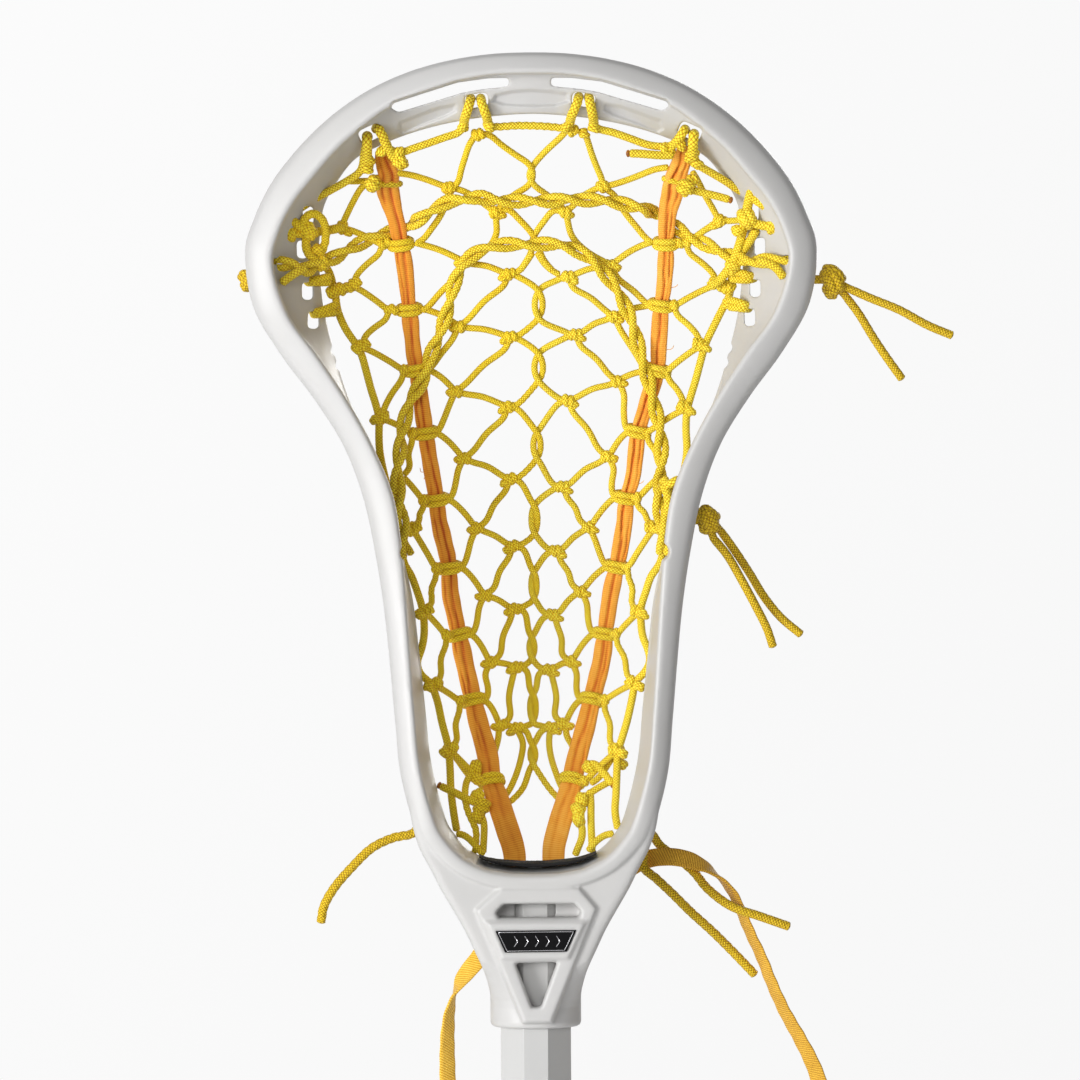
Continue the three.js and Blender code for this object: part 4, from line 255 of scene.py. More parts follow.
  [1.25,"b",[[-73.02,8.0,270.83],[-76.61,6.5,270.76],[-79.87,6.0,270.74],[-81.08,9.0,270.87],[-81.59,13.0,271.04]]],
  [1.25,"b",[[-70.9,8.5,262.83],[-74.12,6.5,261.29],[-77.37,5.6,260.16],[-79.29,8.0,259.89],[-79.84,13.0,260.08]]],
  [1.25,"b",[[-71.28,8.5,259.91],[-74.51,7.0,259.49],[-77.78,6.6,259.11],[-79.33,9.0,259.2],[-79.47,13.0,259.35]]],
  [1.5,"b",[[-88.7,-6.0,294.51],[-86.53,-6.0,292.7],[-84.05,-5.0,290.94],[-81.24,-3.0,289.23],[-77.36,0.0,287.92]]],
  [1.32,"b",[[-82.64,-4.0,290.26],[-82.22,-5.0,293.11],[-79.67,-5.0,295.29],[-76.81,-4.0,294.61],[-75.05,-3.0,292.13],[-74.42,-1.0,288.6],[-74.84,0.0,284.66],[-76.35,1.0,281.07],[-78.26,3.0,278.25]]],
  [1.38,"b",[[-80.91,-2.0,288.91],[-81.66,-2.0,285.28],[-81.36,-1.0,281.7],[-78.87,0.0,278.84],[-75.32,2.0,277.12]]],
  [1.38,"b",[[-68.46,6.0,290.78],[-72.04,4.0,289.95],[-76.66,1.0,289.07],[-82.01,-2.0,288.19],[-86.28,-4.0,288.09]]]],
 'right_sidewall_string': [
  [1.2,"b",[[73.37,13.8,272.9],[73.0,14.3,269.27],[72.26,14.92,264.9],[69.7,16.02,260.19],[66.78,17.43,254.38],[63.85,18.91,248.21],[62.01,20.1,242.01],[60.16,21.12,235.08],[57.94,22.07,227.76],[56.82,22.3,223.37],[56.4,21.85,216.75],[56.72,21.87,208.68],[55.23,23.32,199.89],[51.54,25.6,189.26],[48.52,25.41,176.4],[46.6,24.11,167.59],[43.28,24.88,162.81],[41.43,26.54,157.28],[39.58,27.69,151.39],[39.53,26.95,146.25],[40.2,25.18,140.4],[41.99,23.96,136.01],[42.7,23.83,131.61],[40.46,23.66,127.2],[37.54,25.92,124.21],[36.03,26.14,117.59],[34.15,26.22,109.5],[31.9,26.58,102.14],[30.78,26.66,98.46],[30.34,24.86,91.91],[29.89,22.43,82.83],[29.48,22.06,76.61],[30.54,22.01,70.01]]],
  [1.25,"b",[[72.8,7.0,274.06],[76.03,5.5,273.27],[79.64,5.0,272.16],[81.19,7.5,271.9],[81.74,13.0,271.77]]],
  [1.25,"b",[[72.45,8.0,271.19],[76.04,6.5,270.76],[79.67,6.0,270.74],[80.87,9.0,271.23],[81.38,13.0,271.4]]],
  [1.25,"b",[[71.69,8.5,263.55],[74.9,6.5,262.75],[77.78,5.6,261.62],[78.95,8.0,261.35],[79.49,13.0,261.54]]],
  [1.25,"b",[[71.67,8.5,261.0],[74.9,7.0,260.58],[77.8,6.6,260.2],[78.98,9.0,260.29],[79.48,13.0,260.44]]],
  [1.5,"b",[[80.59,-5.0,303.62],[79.48,-5.0,300.72],[78.77,-4.0,297.51],[78.06,-3.0,293.94]]],
  [1.5,"b",[[80.56,-5.0,300.0],[82.69,-6.0,298.49],[85.58,-6.0,296.32]]],
  [1.38,"b",[[82.09,-1.0,288.96],[79.59,1.0,284.7],[75.99,3.0,279.71],[71.68,6.0,274.38],[68.1,9.0,270.14],[65.9,9.0,269.05]]],
  [1.38,"b",[[77.41,0.0,290.47],[76.69,1.0,286.88],[75.58,1.0,282.89],[74.13,2.0,278.94],[73.48,5.0,275.43],[73.15,7.0,272.24]]],
  [1.44,"b",[[76.66,-1.0,292.23],[80.21,-3.0,291.04],[84.12,-5.0,289.85],[87.38,-5.0,289.49]]]],
 'upper_shooting_cord': [
  [1.32,"t",[[-96.05,-6.0,277.48],[-92.38,-7.0,277.07],[-86.98,-6.5,276.73],[-82.03,-3.5,275.05],[-76.76,1.5,277.46],[-69.61,6.0,280.58],[-65.32,9.0,283.27],[-60.62,11.0,285.92],[-53.37,14.0,288.63],[-46.08,15.5,291.26],[-40.41,7.26,293.76],[-34.9,6.06,297.34],[-29.41,5.22,299.84],[-23.94,4.98,300.55],[-18.48,4.74,301.27],[-13.02,5.1,300.2],[-5.74,5.22,299.84],[1.54,5.22,299.84],[7.0,5.22,299.84],[12.47,4.98,300.55],[17.93,5.1,300.2],[27.03,5.22,299.84],[34.31,5.7,298.41],[39.77,6.18,296.98],[45.39,15.0,295.63],[49.4,15.3,293.08],[53.39,14.5,290.12],[58.06,12.0,287.07],[63.46,9.5,284.02],[68.82,6.5,281.33],[74.16,3.0,278.98],[79.47,-1.0,277.34],[84.77,-5.0,277.16],[89.4,-7.0,277.07],[93.02,-7.0,277.07],[96.33,-6.0,277.12]],1.46,26,0.4],
  [1.35,"b",[[-81.61,-5.0,275.35],[-84.4,-8.0,274.13],[-87.26,-9.0,272.28],[-90.51,-9.6,269.72]]],
  [1.35,"b",[[81.83,-6.0,277.12],[85.38,-8.0,276.3],[88.94,-9.0,274.09],[91.44,-9.4,270.45]]]],
 'lower_shooting_cord': [
  [1.32,"t",[[-45.73,15.0,170.55],[-47.14,14.0,174.57],[-47.46,13.5,180.79],[-48.5,13.5,189.19],[-48.84,13.5,193.94],[-49.52,13.0,200.15],[-48.41,15.0,208.58],[-47.42,22.15,217.49],[-44.8,22.71,227.41],[-39.61,22.68,236.22],[-37.33,21.08,243.88],[-33.58,19.07,252.61],[-30.56,17.05,261.33],[-28.28,15.04,270.03],[-24.92,12.78,277.24],[-19.76,11.34,281.56],[-14.26,10.62,283.71],[-5.86,10.38,284.43],[-0.39,10.5,284.07],[5.09,10.38,284.43],[10.56,10.5,284.07],[16.03,11.1,282.28],[21.49,12.18,279.04],[26.23,13.74,274.36],[29.87,15.12,269.67],[33.14,16.38,264.23],[36.42,18.06,256.97],[39.68,20.75,245.33],[42.59,22.9,235.12],[45.11,23.31,224.86],[47.22,22.2,214.19],[47.13,22.16,200.62],[46.16,13.0,191.02],[46.86,13.5,183.71],[47.92,14.0,176.4],[47.54,15.0,170.55]],1.46,27,1.6],
  [1.3,"b",[[48.04,13.0,199.05],[49.44,11.0,196.11],[51.62,10.0,197.56],[53.49,12.0,198.31]]],
  [1.3,"b",[[47.65,13.0,196.13],[49.06,11.0,193.19],[49.37,10.0,188.81],[49.05,13.0,185.53]]]],
 'top_string': [
  [1.22,"b",[[80.51,4.0,300.14],[78.29,2.5,301.51],[75.34,1.0,303.24],[70.56,-1.5,306.36],[65.06,-4.0,309.48],[61.4,-6.0,311.53],[59.56,-7.5,313.98],[59.17,-9.5,317.47],[59.12,-12.5,320.17]]],
  [1.65,"b",[[59.4,-2.0,322.67],[59.25,-8.0,323.0],[58.95,-12.4,321.98],[58.77,-11.6,318.78],[58.63,-9.0,315.69],[58.85,-7.0,313.28]]],
  [1.45,"b",[[56.51,-2.0,324.84],[56.0,-8.0,324.81],[55.53,-12.4,323.97],[54.08,-12.0,321.65],[52.31,-9.6,319.63],[50.17,-7.6,317.95]]],
  [1.22,"b",[[55.21,-10.0,321.78],[53.07,-8.0,319.74],[49.82,-7.2,318.7],[43.31,-7.0,319.08],[36.08,-7.5,321.58],[28.85,-8.0,324.08],[25.23,-8.5,324.77],[23.42,-9.5,325.79]]],
  [1.5,"b",[[23.07,-7.5,325.92],[23.07,-9.0,326.91],[22.3,-16.2,330.78],[21.6,-16.5,333.97],[21.41,-14.8,335.54],[21.22,-11.6,336.49],[21.28,-4.0,336.68]]],
  [1.5,"b",[[14.39,-7.5,326.65],[14.39,-9.0,327.63],[15.73,-16.2,331.11],[17.09,-16.5,333.97],[17.35,-14.8,335.54],[17.61,-11.6,336.49],[17.66,-4.0,336.68]]],
  [1.22,"b",[[15.11,-12.0,329.6],[14.38,-10.0,326.84],[12.56,-9.0,325.46],[8.23,-8.4,325.86],[3.52,-8.4,326.23],[-5.52,-8.4,326.41],[-11.32,-8.4,326.04],[-14.56,-9.2,326.17],[-15.25,-12.0,328.87]]],
  [1.5,"b",[[-15.3,-7.5,326.65],[-15.28,-9.0,327.63],[-16.28,-16.2,330.91],[-17.34,-16.5,333.61],[-17.57,-14.8,335.17],[-17.81,-11.6,336.13],[-17.88,-4.0,336.31]]],
  [1.5,"b",[[-23.99,-7.5,326.65],[-23.96,-9.0,327.63],[-22.86,-16.2,330.91],[-21.85,-16.5,333.61],[-21.63,-14.8,335.17],[-21.42,-11.6,336.13],[-21.51,-4.0,336.31]]],
  [1.22,"b",[[-23.19,-12.0,329.23],[-24.33,-9.8,326.13],[-25.8,-8.6,324.04],[-30.16,-8.0,322.63],[-36.34,-7.4,320.5],[-42.88,-7.0,318.35],[-47.23,-7.0,316.91],[-50.46,-8.0,317.93],[-52.95,-9.4,320.01]]],
  [1.55,"b",[[-56.0,-2.0,325.93],[-55.48,-8.0,326.07],[-54.65,-12.2,325.25],[-53.56,-12.8,323.04],[-52.18,-11.0,319.9],[-50.45,-8.6,316.8],[-48.7,-7.0,314.37]]],
  [1.6,"b",[[-58.92,-2.0,323.03],[-59.12,-8.0,323.0],[-59.0,-12.4,321.98],[-59.04,-11.6,319.14],[-59.13,-9.0,316.05],[-59.21,-7.0,313.28]]],
  [1.22,"b",[[-59.02,-12.0,320.92],[-60.21,-9.0,316.78],[-60.66,-7.0,312.92],[-61.81,-5.4,310.12],[-65.49,-4.0,307.67],[-69.92,-2.0,305.25],[-74.71,-0.5,302.79],[-79.89,1.5,300.0],[-84.32,3.0,297.17]]],
  [1.3,"b",[[51.95,-8.5,315.36],[46.87,-9.0,315.33],[42.53,-9.2,315.68],[38.19,-9.0,316.05],[35.66,-9.0,316.05]]],
  [1.22,"b",[[58.51,-3.5,302.98],[61.41,-3.3,302.27],[65.04,-3.0,301.38],[68.67,-2.7,300.49],[72.3,-2.6,299.41]]]],
}
COILS = {
 'left_centre_lace': [
  [[-8.15,17.28,273.78],[1.0,0.0,0.02],1.15,2.0,1.02,3.9],
  [[-10.18,17.7,272.52],[-0.32,0.19,0.93],0.95,1.2,1.0,1.0],
  [[-24.22,15.84,278.11],[0.96,0.0,-0.29],1.15,1.8,1.02,3.2],
  [[-26.42,16.08,277.39],[0.28,0.19,0.94],0.95,1.2,1.0,1.0],
  [[-7.74,22.79,250.9],[1.0,0.0,0.1],1.15,2.0,1.02,3.9],
  [[-9.77,23.08,249.63],[-0.32,0.19,0.93],0.95,1.2,1.0,1.0],
  [[-26.27,21.86,254.91],[0.96,0.0,-0.27],1.15,1.8,1.02,3.2],
  [[-28.48,22.03,254.18],[0.28,0.19,0.94],0.95,1.2,1.0,1.0],
  [[-8.66,28.11,225.51],[1.0,0.0,-0.06],1.15,2.0,1.02,3.9],
  [[-10.69,28.36,224.23],[-0.32,0.19,0.93],0.95,1.2,1.0,1.0],
  [[-27.59,26.99,231.19],[0.99,0.0,-0.17],1.15,1.8,1.02,3.2],
  [[-29.8,27.14,230.45],[0.28,0.19,0.94],0.95,1.2,1.0,1.0],
  [[-8.11,33.33,198.89],[0.94,0.0,0.33],1.15,2.0,1.02,3.9],
  [[-10.15,33.58,197.6],[-0.32,0.19,0.93],0.95,1.2,1.0,1.0],
  [[-24.86,31.82,206.62],[1.0,0.0,0.01],1.15,1.8,1.02,3.2],
  [[-27.08,31.96,205.88],[0.28,0.19,0.94],0.95,1.2,1.0,1.0],
  [[-7.14,37.96,174.18],[0.96,0.0,0.27],1.15,2.0,1.02,3.9],
  [[-9.19,38.17,172.89],[-0.32,0.19,0.93],0.95,1.2,1.0,1.0],
  [[-20.28,36.86,180.83],[0.97,0.0,-0.24],1.15,1.8,1.02,3.2],
  [[-22.5,37.0,180.09],[0.28,0.19,0.94],0.95,1.2,1.0,1.0],
  [[-6.94,41.72,151.01],[0.99,0.0,0.17],1.15,2.0,1.02,3.9],
  [[-8.98,41.93,149.71],[-0.32,0.19,0.93],0.95,1.2,1.0,1.0],
  [[-17.52,40.9,156.05],[0.98,0.0,-0.22],1.15,1.8,1.02,3.2],
  [[-19.74,41.02,155.31],[0.28,0.19,0.94],0.95,1.2,1.0,1.0],
  [[-6.3,42.77,129.38],[1.0,0.0,-0.01],1.15,2.0,1.02,3.9],
  [[-8.34,42.82,128.08],[-0.32,0.19,0.93],0.95,1.2,1.0,1.0],
  [[-15.47,42.7,131.23],[0.96,0.0,-0.29],1.15,1.8,1.02,3.2],
  [[-17.69,42.73,130.49],[0.28,0.19,0.94],0.95,1.2,1.0,1.0],
  [[-6.42,39.09,106.9],[1.0,0.0,0.01],1.15,2.0,1.02,3.9],
  [[-8.46,38.79,105.62],[-0.32,0.19,0.93],0.95,1.2,1.0,1.0],
  [[-11.89,39.35,108.0],[1.0,0.0,0.07],1.15,1.8,1.02,3.2],
  [[-14.11,39.18,107.27],[0.28,0.19,0.94],0.95,1.2,1.0,1.0],
  [[-18.97,-4.93,323.38],[0.98,0.0,0.2],1.2,2,1.02,3.6],
  [[-29.4,6.38,305.0],[0.96,0.0,-0.29],1.2,2,1.02,3.6],
  [[-30.51,7.08,303.95],[0.19,0.28,0.94],1.0,1.2,1.0,1.0],
  [[-12.72,9.78,296.26],[0.98,0.0,0.2],1.2,2,1.02,3.8],
  [[-10.91,10.4,295.02],[0.28,0.19,0.94],1.0,1.2,1.0,1.0]],
 'right_centre_lace': [
  [[13.44,17.64,272.7],[1.0,0.0,0.01],1.15,2.0,1.02,3.9],
  [[15.45,18.04,271.44],[0.32,0.19,0.93],0.95,1.2,1.0,1.0],
  [[28.83,16.32,276.67],[1.0,0.0,-0.01],1.15,1.8,1.02,3.2],
  [[31.02,16.56,275.95],[0.28,0.19,0.94],0.95,1.2,1.0,1.0],
  [[16.09,22.62,251.63],[1.0,0.0,-0.01],1.15,2.0,1.02,3.9],
  [[18.1,22.91,250.35],[0.32,0.19,0.93],0.95,1.2,1.0,1.0],
  [[29.87,21.15,258.0],[0.97,0.0,0.25],1.15,1.8,1.02,3.2],
  [[32.07,21.32,257.27],[0.28,0.19,0.94],0.95,1.2,1.0,1.0],
  [[13.21,27.71,227.53],[0.97,0.0,-0.23],1.15,2.0,1.02,3.9],
  [[15.22,27.96,226.24],[0.32,0.19,0.93],0.95,1.2,1.0,1.0],
  [[31.25,26.34,234.48],[1.0,0.0,0.07],1.15,1.8,1.02,3.2],
  [[33.46,26.49,233.75],[0.28,0.19,0.94],0.95,1.2,1.0,1.0],
  [[11.04,33.9,195.95],[1.0,0.0,-0.04],1.15,2.0,1.02,3.9],
  [[13.07,34.16,194.66],[0.32,0.19,0.93],0.95,1.2,1.0,1.0],
  [[27.47,31.74,206.98],[1.0,0.0,-0.03],1.15,1.8,1.02,3.2],
  [[29.67,31.89,206.25],[0.28,0.19,0.94],0.95,1.2,1.0,1.0],
  [[8.66,38.26,172.34],[1.0,0.0,0.03],1.15,2.0,1.02,3.9],
  [[10.68,38.47,171.04],[0.32,0.19,0.93],0.95,1.2,1.0,1.0],
  [[20.34,36.86,180.83],[0.95,0.0,0.3],1.15,1.8,1.02,3.2],
  [[22.55,37.0,180.09],[0.28,0.19,0.94],0.95,1.2,1.0,1.0],
  [[7.23,42.02,148.64],[1.0,0.0,-0.1],1.15,2.0,1.02,3.9],
  [[9.25,42.07,147.34],[0.32,0.19,0.93],0.95,1.2,1.0,1.0],
  [[17.26,40.72,157.16],[1.0,0.0,0.05],1.15,1.8,1.02,3.2],
  [[19.48,40.84,156.42],[0.28,0.19,0.94],0.95,1.2,1.0,1.0],
  [[5.62,42.82,128.26],[0.99,0.0,-0.15],1.15,2.0,1.02,3.9],
  [[7.65,42.87,126.97],[0.32,0.19,0.93],0.95,1.2,1.0,1.0],
  [[13.41,42.7,131.23],[0.97,0.0,0.26],1.15,1.8,1.02,3.2],
  [[15.63,42.73,130.49],[0.28,0.19,0.94],0.95,1.2,1.0,1.0],
  [[6.22,39.09,106.9],[0.99,0.0,-0.16],1.15,2.0,1.02,3.9],
  [[8.24,38.79,105.62],[0.32,0.19,0.93],0.95,1.2,1.0,1.0],
  [[10.67,39.44,108.37],[0.96,0.0,0.3],1.15,1.8,1.02,3.2],
  [[12.88,39.27,107.64],[0.28,0.19,0.94],0.95,1.2,1.0,1.0],
  [[15.11,-5.68,324.6],[0.98,0.0,-0.2],1.2,1.6,1.02,3.2],
  [[19.46,-4.74,323.57],[0.19,0.19,0.96],1.1,1.3,1.02,2.0],
  [[26.34,6.38,305.0],[0.96,0.0,0.29],1.2,2,1.02,3.6],
  [[12.46,9.84,296.08],[0.98,0.0,-0.2],1.2,2,1.02,3.8],
  [[13.91,10.52,294.66],[-0.28,0.19,0.94],1.0,1.2,1.0,1.0]],
 'left_outer_lace': [
  [[-53.66,12.02,284.88],[0.99,0.0,0.14],0.95,1.4,1.0,3.7439999999999998],
  [[-51.17,18.12,261.15],[1.0,0.0,-0.08],0.95,1.4,1.0,4.319999999999999],
  [[-64.47,14.57,270.37],[0.89,0.0,0.46],1.3,2.0,1.08,3.6],
  [[-67.03,14.26,268.9],[0.52,0.21,0.83],1.1,1.5,1.05,1.6],
  [[-47.08,22.97,239.16],[0.99,0.0,0.15],0.95,1.4,1.0,1.7280000000000002],
  [[-61.57,18.09,248.18],[0.9,0.0,0.44],1.3,2.0,1.08,3.6],
  [[-64.12,17.45,246.7],[0.52,0.21,0.83],1.1,1.5,1.05,1.6],
  [[-44.17,26.48,216.1],[1.0,0.0,-0.03],0.95,1.4,1.0,2.016],
  [[-54.72,21.87,221.89],[0.93,0.0,0.36],1.3,2.0,1.08,3.6],
  [[-57.27,20.56,220.4],[0.52,0.21,0.83],1.1,1.5,1.05,1.6],
  [[-40.32,29.85,191.49],[0.99,0.0,-0.13],0.95,1.4,1.0,1.8719999999999999],
  [[-35.85,32.99,166.45],[0.99,0.0,0.12],0.95,1.4,1.0,1.8719999999999999],
  [[-43.35,27.45,181.18],[0.99,0.0,0.17],1.3,2.0,1.08,3.6],
  [[-45.88,24.68,179.71],[0.52,0.21,0.83],1.1,1.5,1.05,1.6],
  [[-32.39,34.85,141.72],[1.0,0.0,0.05],0.95,1.4,1.0,1.7280000000000002],
  [[-39.14,27.74,150.8],[0.97,0.0,0.25],1.3,2.0,1.08,3.6],
  [[-41.64,23.79,149.38],[0.52,0.21,0.83],1.1,1.5,1.05,1.6],
  [[-27.41,34.84,117.36],[1.0,0.0,-0.01],0.95,1.4,1.0,2.016],
  [[-35.98,27.01,123.82],[0.96,0.0,0.28],1.3,2.0,1.08,3.6],
  [[-38.5,23.32,122.44],[0.52,0.21,0.83],1.1,1.5,1.05,1.6],
  [[-30.24,26.63,99.93],[0.97,0.0,0.22],1.3,2.0,1.08,3.6],
  [[-32.78,24.09,98.55],[0.52,0.21,0.83],1.1,1.5,1.05,1.6],
  [[-56.61,2.83,306.98],[0.29,0.1,0.95],1.3,2,1.05,3.4],
  [[-58.82,3.51,305.93],[0.93,0.0,0.37],1.2,1.5,1.05,2.0],
  [[-68.93,9.36,290.95],[0.89,0.0,0.45],1.3,2,1.05,3.4],
  [[-67.14,10.04,289.16],[0.28,0.19,0.94],1.0,1.2,1.0,1.2],
  [[-21.49,29.31,92.85],[1,0,0.3],1.5,2,1.15,2.4],
  [[-21.13,27.93,88.85],[0.7,0,1],1.2,1.6,1.1,2.6],
  [[-20.76,23.33,82.06],[0.9,0,0.4],1.7,2,1.15,3.4],
  [[-19.3,21.38,78.84],[0.3,0,1],1.7,2.6,1.15,5.0],
  [[-21.14,20.01,74.87],[0.8,0,0.6],1.4,1.8,1.1,2.6],
  [[-31.42,31.19,99.04],[1,0,0.2],1.5,2,1.15,3.2]],
 'right_outer_lace': [
  [[55.68,12.04,284.51],[0.99,0.0,-0.12],0.95,1.4,1.0,4.319999999999999],
  [[52.38,18.15,262.1],[1.0,0.0,-0.09],0.95,1.4,1.0,2.016],
  [[67.15,14.3,270.0],[0.93,0.0,-0.38],1.3,2.0,1.08,3.6],
  [[69.69,13.92,268.52],[0.52,0.21,0.83],1.1,1.5,1.05,1.6],
  [[61.28,18.6,247.83],[0.92,0.0,-0.39],1.3,2.0,1.08,3.6],
  [[63.81,17.88,246.34],[0.52,0.21,0.83],1.1,1.5,1.05,1.6],
  [[55.53,21.8,224.82],[0.98,0.0,-0.19],1.3,2.0,1.08,3.6],
  [[58.06,20.49,223.33],[0.52,0.21,0.83],1.1,1.5,1.05,1.6],
  [[38.95,30.25,191.87],[0.98,0.0,-0.17],0.95,1.4,1.0,1.44],
  [[43.61,26.91,181.0],[0.97,0.0,-0.24],1.3,2.0,1.08,3.6],
  [[46.12,24.23,179.52],[0.52,0.21,0.83],1.1,1.5,1.05,1.6],
  [[31.03,35.51,141.71],[0.99,0.0,-0.1],0.95,1.4,1.0,1.44],
  [[37.93,28.42,150.09],[0.92,0.0,-0.39],1.3,2.0,1.08,3.6],
  [[40.43,24.9,148.67],[0.52,0.21,0.83],1.1,1.5,1.05,1.6],
  [[26.21,35.33,117.35],[1.0,0.0,-0.02],0.95,1.4,1.0,1.7280000000000002],
  [[36.08,26.49,123.83],[0.88,0.0,-0.47],1.3,2.0,1.08,3.6],
  [[38.59,22.97,122.45],[0.52,0.21,0.83],1.1,1.5,1.05,1.6],
  [[18.58,27.58,87.76],[0.99,0.0,0.16],0.95,1.4,1.0,1.7280000000000002],
  [[29.68,26.52,99.2],[0.99,0.0,-0.17],1.3,2.0,1.08,3.6],
  [[32.21,24.07,97.82],[0.52,0.21,0.83],1.1,1.5,1.05,1.6],
  [[68.97,8.96,292.39],[0.89,0.0,-0.45],1.3,2,1.05,3.4],
  [[66.79,9.73,290.6],[-0.28,0.19,0.94],1.0,1.2,1.0,1.2],
  [[20.46,28.99,92.49],[0.4,0,1],1.6,1.8,1.2,2.6],
  [[17.41,23.08,80.97],[0.9,0,0.3],1.6,2,1.15,2.8],
  [[15.91,21.14,77.75],[0.4,0,1],1.5,2,1.15,2.6],
  [[16.24,19.58,74.15],[0.9,0,0.4],1.6,2,1.15,2.8],
  [[30.46,31.02,98.31],[1,0,-0.2],1.6,2,1.15,3.4],
  [[31.87,28.26,93.99],[0.5,0,1],1.3,1.6,1.15,2.0]],
 'left_sidewall_string': [
  [[-72.49,13.28,267.76],[0.98,0.0,0.2],1.3,2,1.15,3.2],
  [[-70.29,13.14,268.49],[1.0,0.0,0.1],1.3,2,1.1,4.2],
  [[-72.21,14.44,260.86],[0.37,0.0,0.93],1.3,1.5,1.15,2.4],
  [[-87.37,-4.0,288.09],[1,0,0.1],1.7,2,1.3,3.0],
  [[-80.51,-3.0,289.23],[0.6,0,1],2.0,2,1.35,3.6],
  [[-76.05,2.0,277.48],[1,0,0.5],1.6,2,1.2,3.2],
  [[-77.4,0.0,282.48],[0.2,0,1],1.2,1.6,1.15,2.2]],
 'right_sidewall_string': [
  [[72.23,13.38,268.13],[0.98,0.0,-0.2],1.3,2,1.15,3.2],
  [[69.68,13.33,269.23],[1.0,0.0,0.1],1.2,2,1.1,3.6],
  [[72.23,14.36,262.32],[0.37,0.0,0.93],1.3,1.5,1.15,2.4],
  [[78.41,-3.0,292.49],[0.9,0,0.4],2.5,2.2,1.4,4.2],
  [[78.8,-2.0,292.18],[0.2,0,1],1.5,2,1.3,3.0],
  [[87.38,-5.0,289.49],[1,0,0],1.5,1.8,1.2,2.0],
  [[75.2,-0.5,288.26],[0.4,0,1],1.3,1.6,1.15,2.4],
  [[73.45,4.0,276.12],[0.6,0,1],1.5,2,1.2,3.2]],
 'lower_shooting_cord': [
  [[48.82,16.53,195.43],[0.29,0.0,0.96],1.6,2,1.3,4.0],
  [[-49.98,15.61,194.69],[0.2,0.0,0.98],1.6,3,1.3,7.0]],
 'top_string': [
  [[-53.71,-8.5,317.53],[0.86,0.0,-0.51],1.15,1.3,1.15,1.6],
  [[-59.23,-6.5,311.14],[0.29,0.0,0.96],1.15,1.3,1.15,1.6],
  [[23.05,-9.4,325.43],[0.51,0.0,0.86],1.15,1.3,1.15,1.6],
  [[13.29,-9.4,325.8],[-0.51,0.0,0.86],1.15,1.3,1.15,1.6],
  [[-14.93,-9.4,326.16],[0.51,0.0,0.86],1.15,1.3,1.15,1.6],
  [[-24.33,-9.4,325.8],[-0.51,0.0,0.86],1.15,1.3,1.15,1.6],
  [[54.49,-9.0,318.95],[0.86,0.0,0.51],1.15,1.3,1.15,1.6],
  [[60.29,-7.0,312.2],[0.37,0.0,0.93],1.15,1.3,1.15,1.6],
  [[-47.58,-7.8,316.85],[0.96,0.0,-0.29],1.15,1.3,1.15,1.6],
  [[48.72,-8.0,317.57],[0.96,0.0,0.29],1.15,1.3,1.15,1.6],
  [[-47.26,-6.5,313.68],[0.9,0,0.43],1.7,2,1.2,3.4],
  [[-58.85,-6.5,314.04],[0.4,0,1],1.3,2,1.2,3.6],
  [[-57.15,-4.5,305.83],[0.7,0,0.7],1.6,2,1.2,3.4],
  [[50.18,-7.0,317.63],[0.9,0,0.3],1.1,1.6,1.15,2.6],
  [[58.48,-7.5,315.06],[0.2,0,1],1.2,2,1.2,3.6],
  [[56.31,-4.5,303.65],[0.5,0,0.85],1.9,2,1.2,4.0],
  [[58.9,-3.0,306.28],[1,0,0.2],1.3,1.6,1.1,2.4]],
}
WRAPS = {
 'left_outer_lace': [[[-47.66,13.56,284.95],[0.17,0.312,-0.935],0.104],[[-44.81,20.4,261.23],[0.087,0.224,-0.971],0.011],[[-42.36,25.41,239.23],[0.156,0.199,-0.967],0.017],[[-39.27,29.94,216.16],[0.133,0.191,-0.973],0.002],[[-35.52,34.77,191.53],[0.123,0.19,-0.974],-0.017],[[-31.06,39.22,166.42],[0.085,0.16,-0.984],-0.047],[[-27.7,42.3,141.6],[0.196,0.038,-0.98],-0.109],[[-22.5,41.51,117.19],[0.215,-0.223,-0.951],0.008],[[-15.89,30.78,87.64],[0.207,-0.504,-0.839],0.119]],
 'right_outer_lace': [[[49.32,13.68,284.59],[-0.015,0.316,-0.948],-0.021],[[47.48,20.18,262.18],[-0.122,0.224,-0.967],0.032],[[46.33,25.55,238.5],[-0.185,0.195,-0.963],0.059],[[38.92,29.94,216.16],[-0.204,0.189,-0.961],0.014],[[34.41,34.7,191.9],[-0.211,0.187,-0.959],-0.096],[[30.93,39.22,166.42],[-0.211,0.156,-0.965],-0.065],[[26.49,42.3,141.6],[-0.127,0.039,-0.991],0.028],[[21.46,41.51,117.19],[-0.241,-0.222,-0.945],-0.077],[[13.82,30.78,87.64],[-0.2,-0.504,-0.84],0.047]],
}
TOPWRAPS = [[[-51.6,6.14,306.81],[0.1,0.1,-0.99]],[[52.58,5.97,307.17],[-0.1,0.1,-0.99]]]
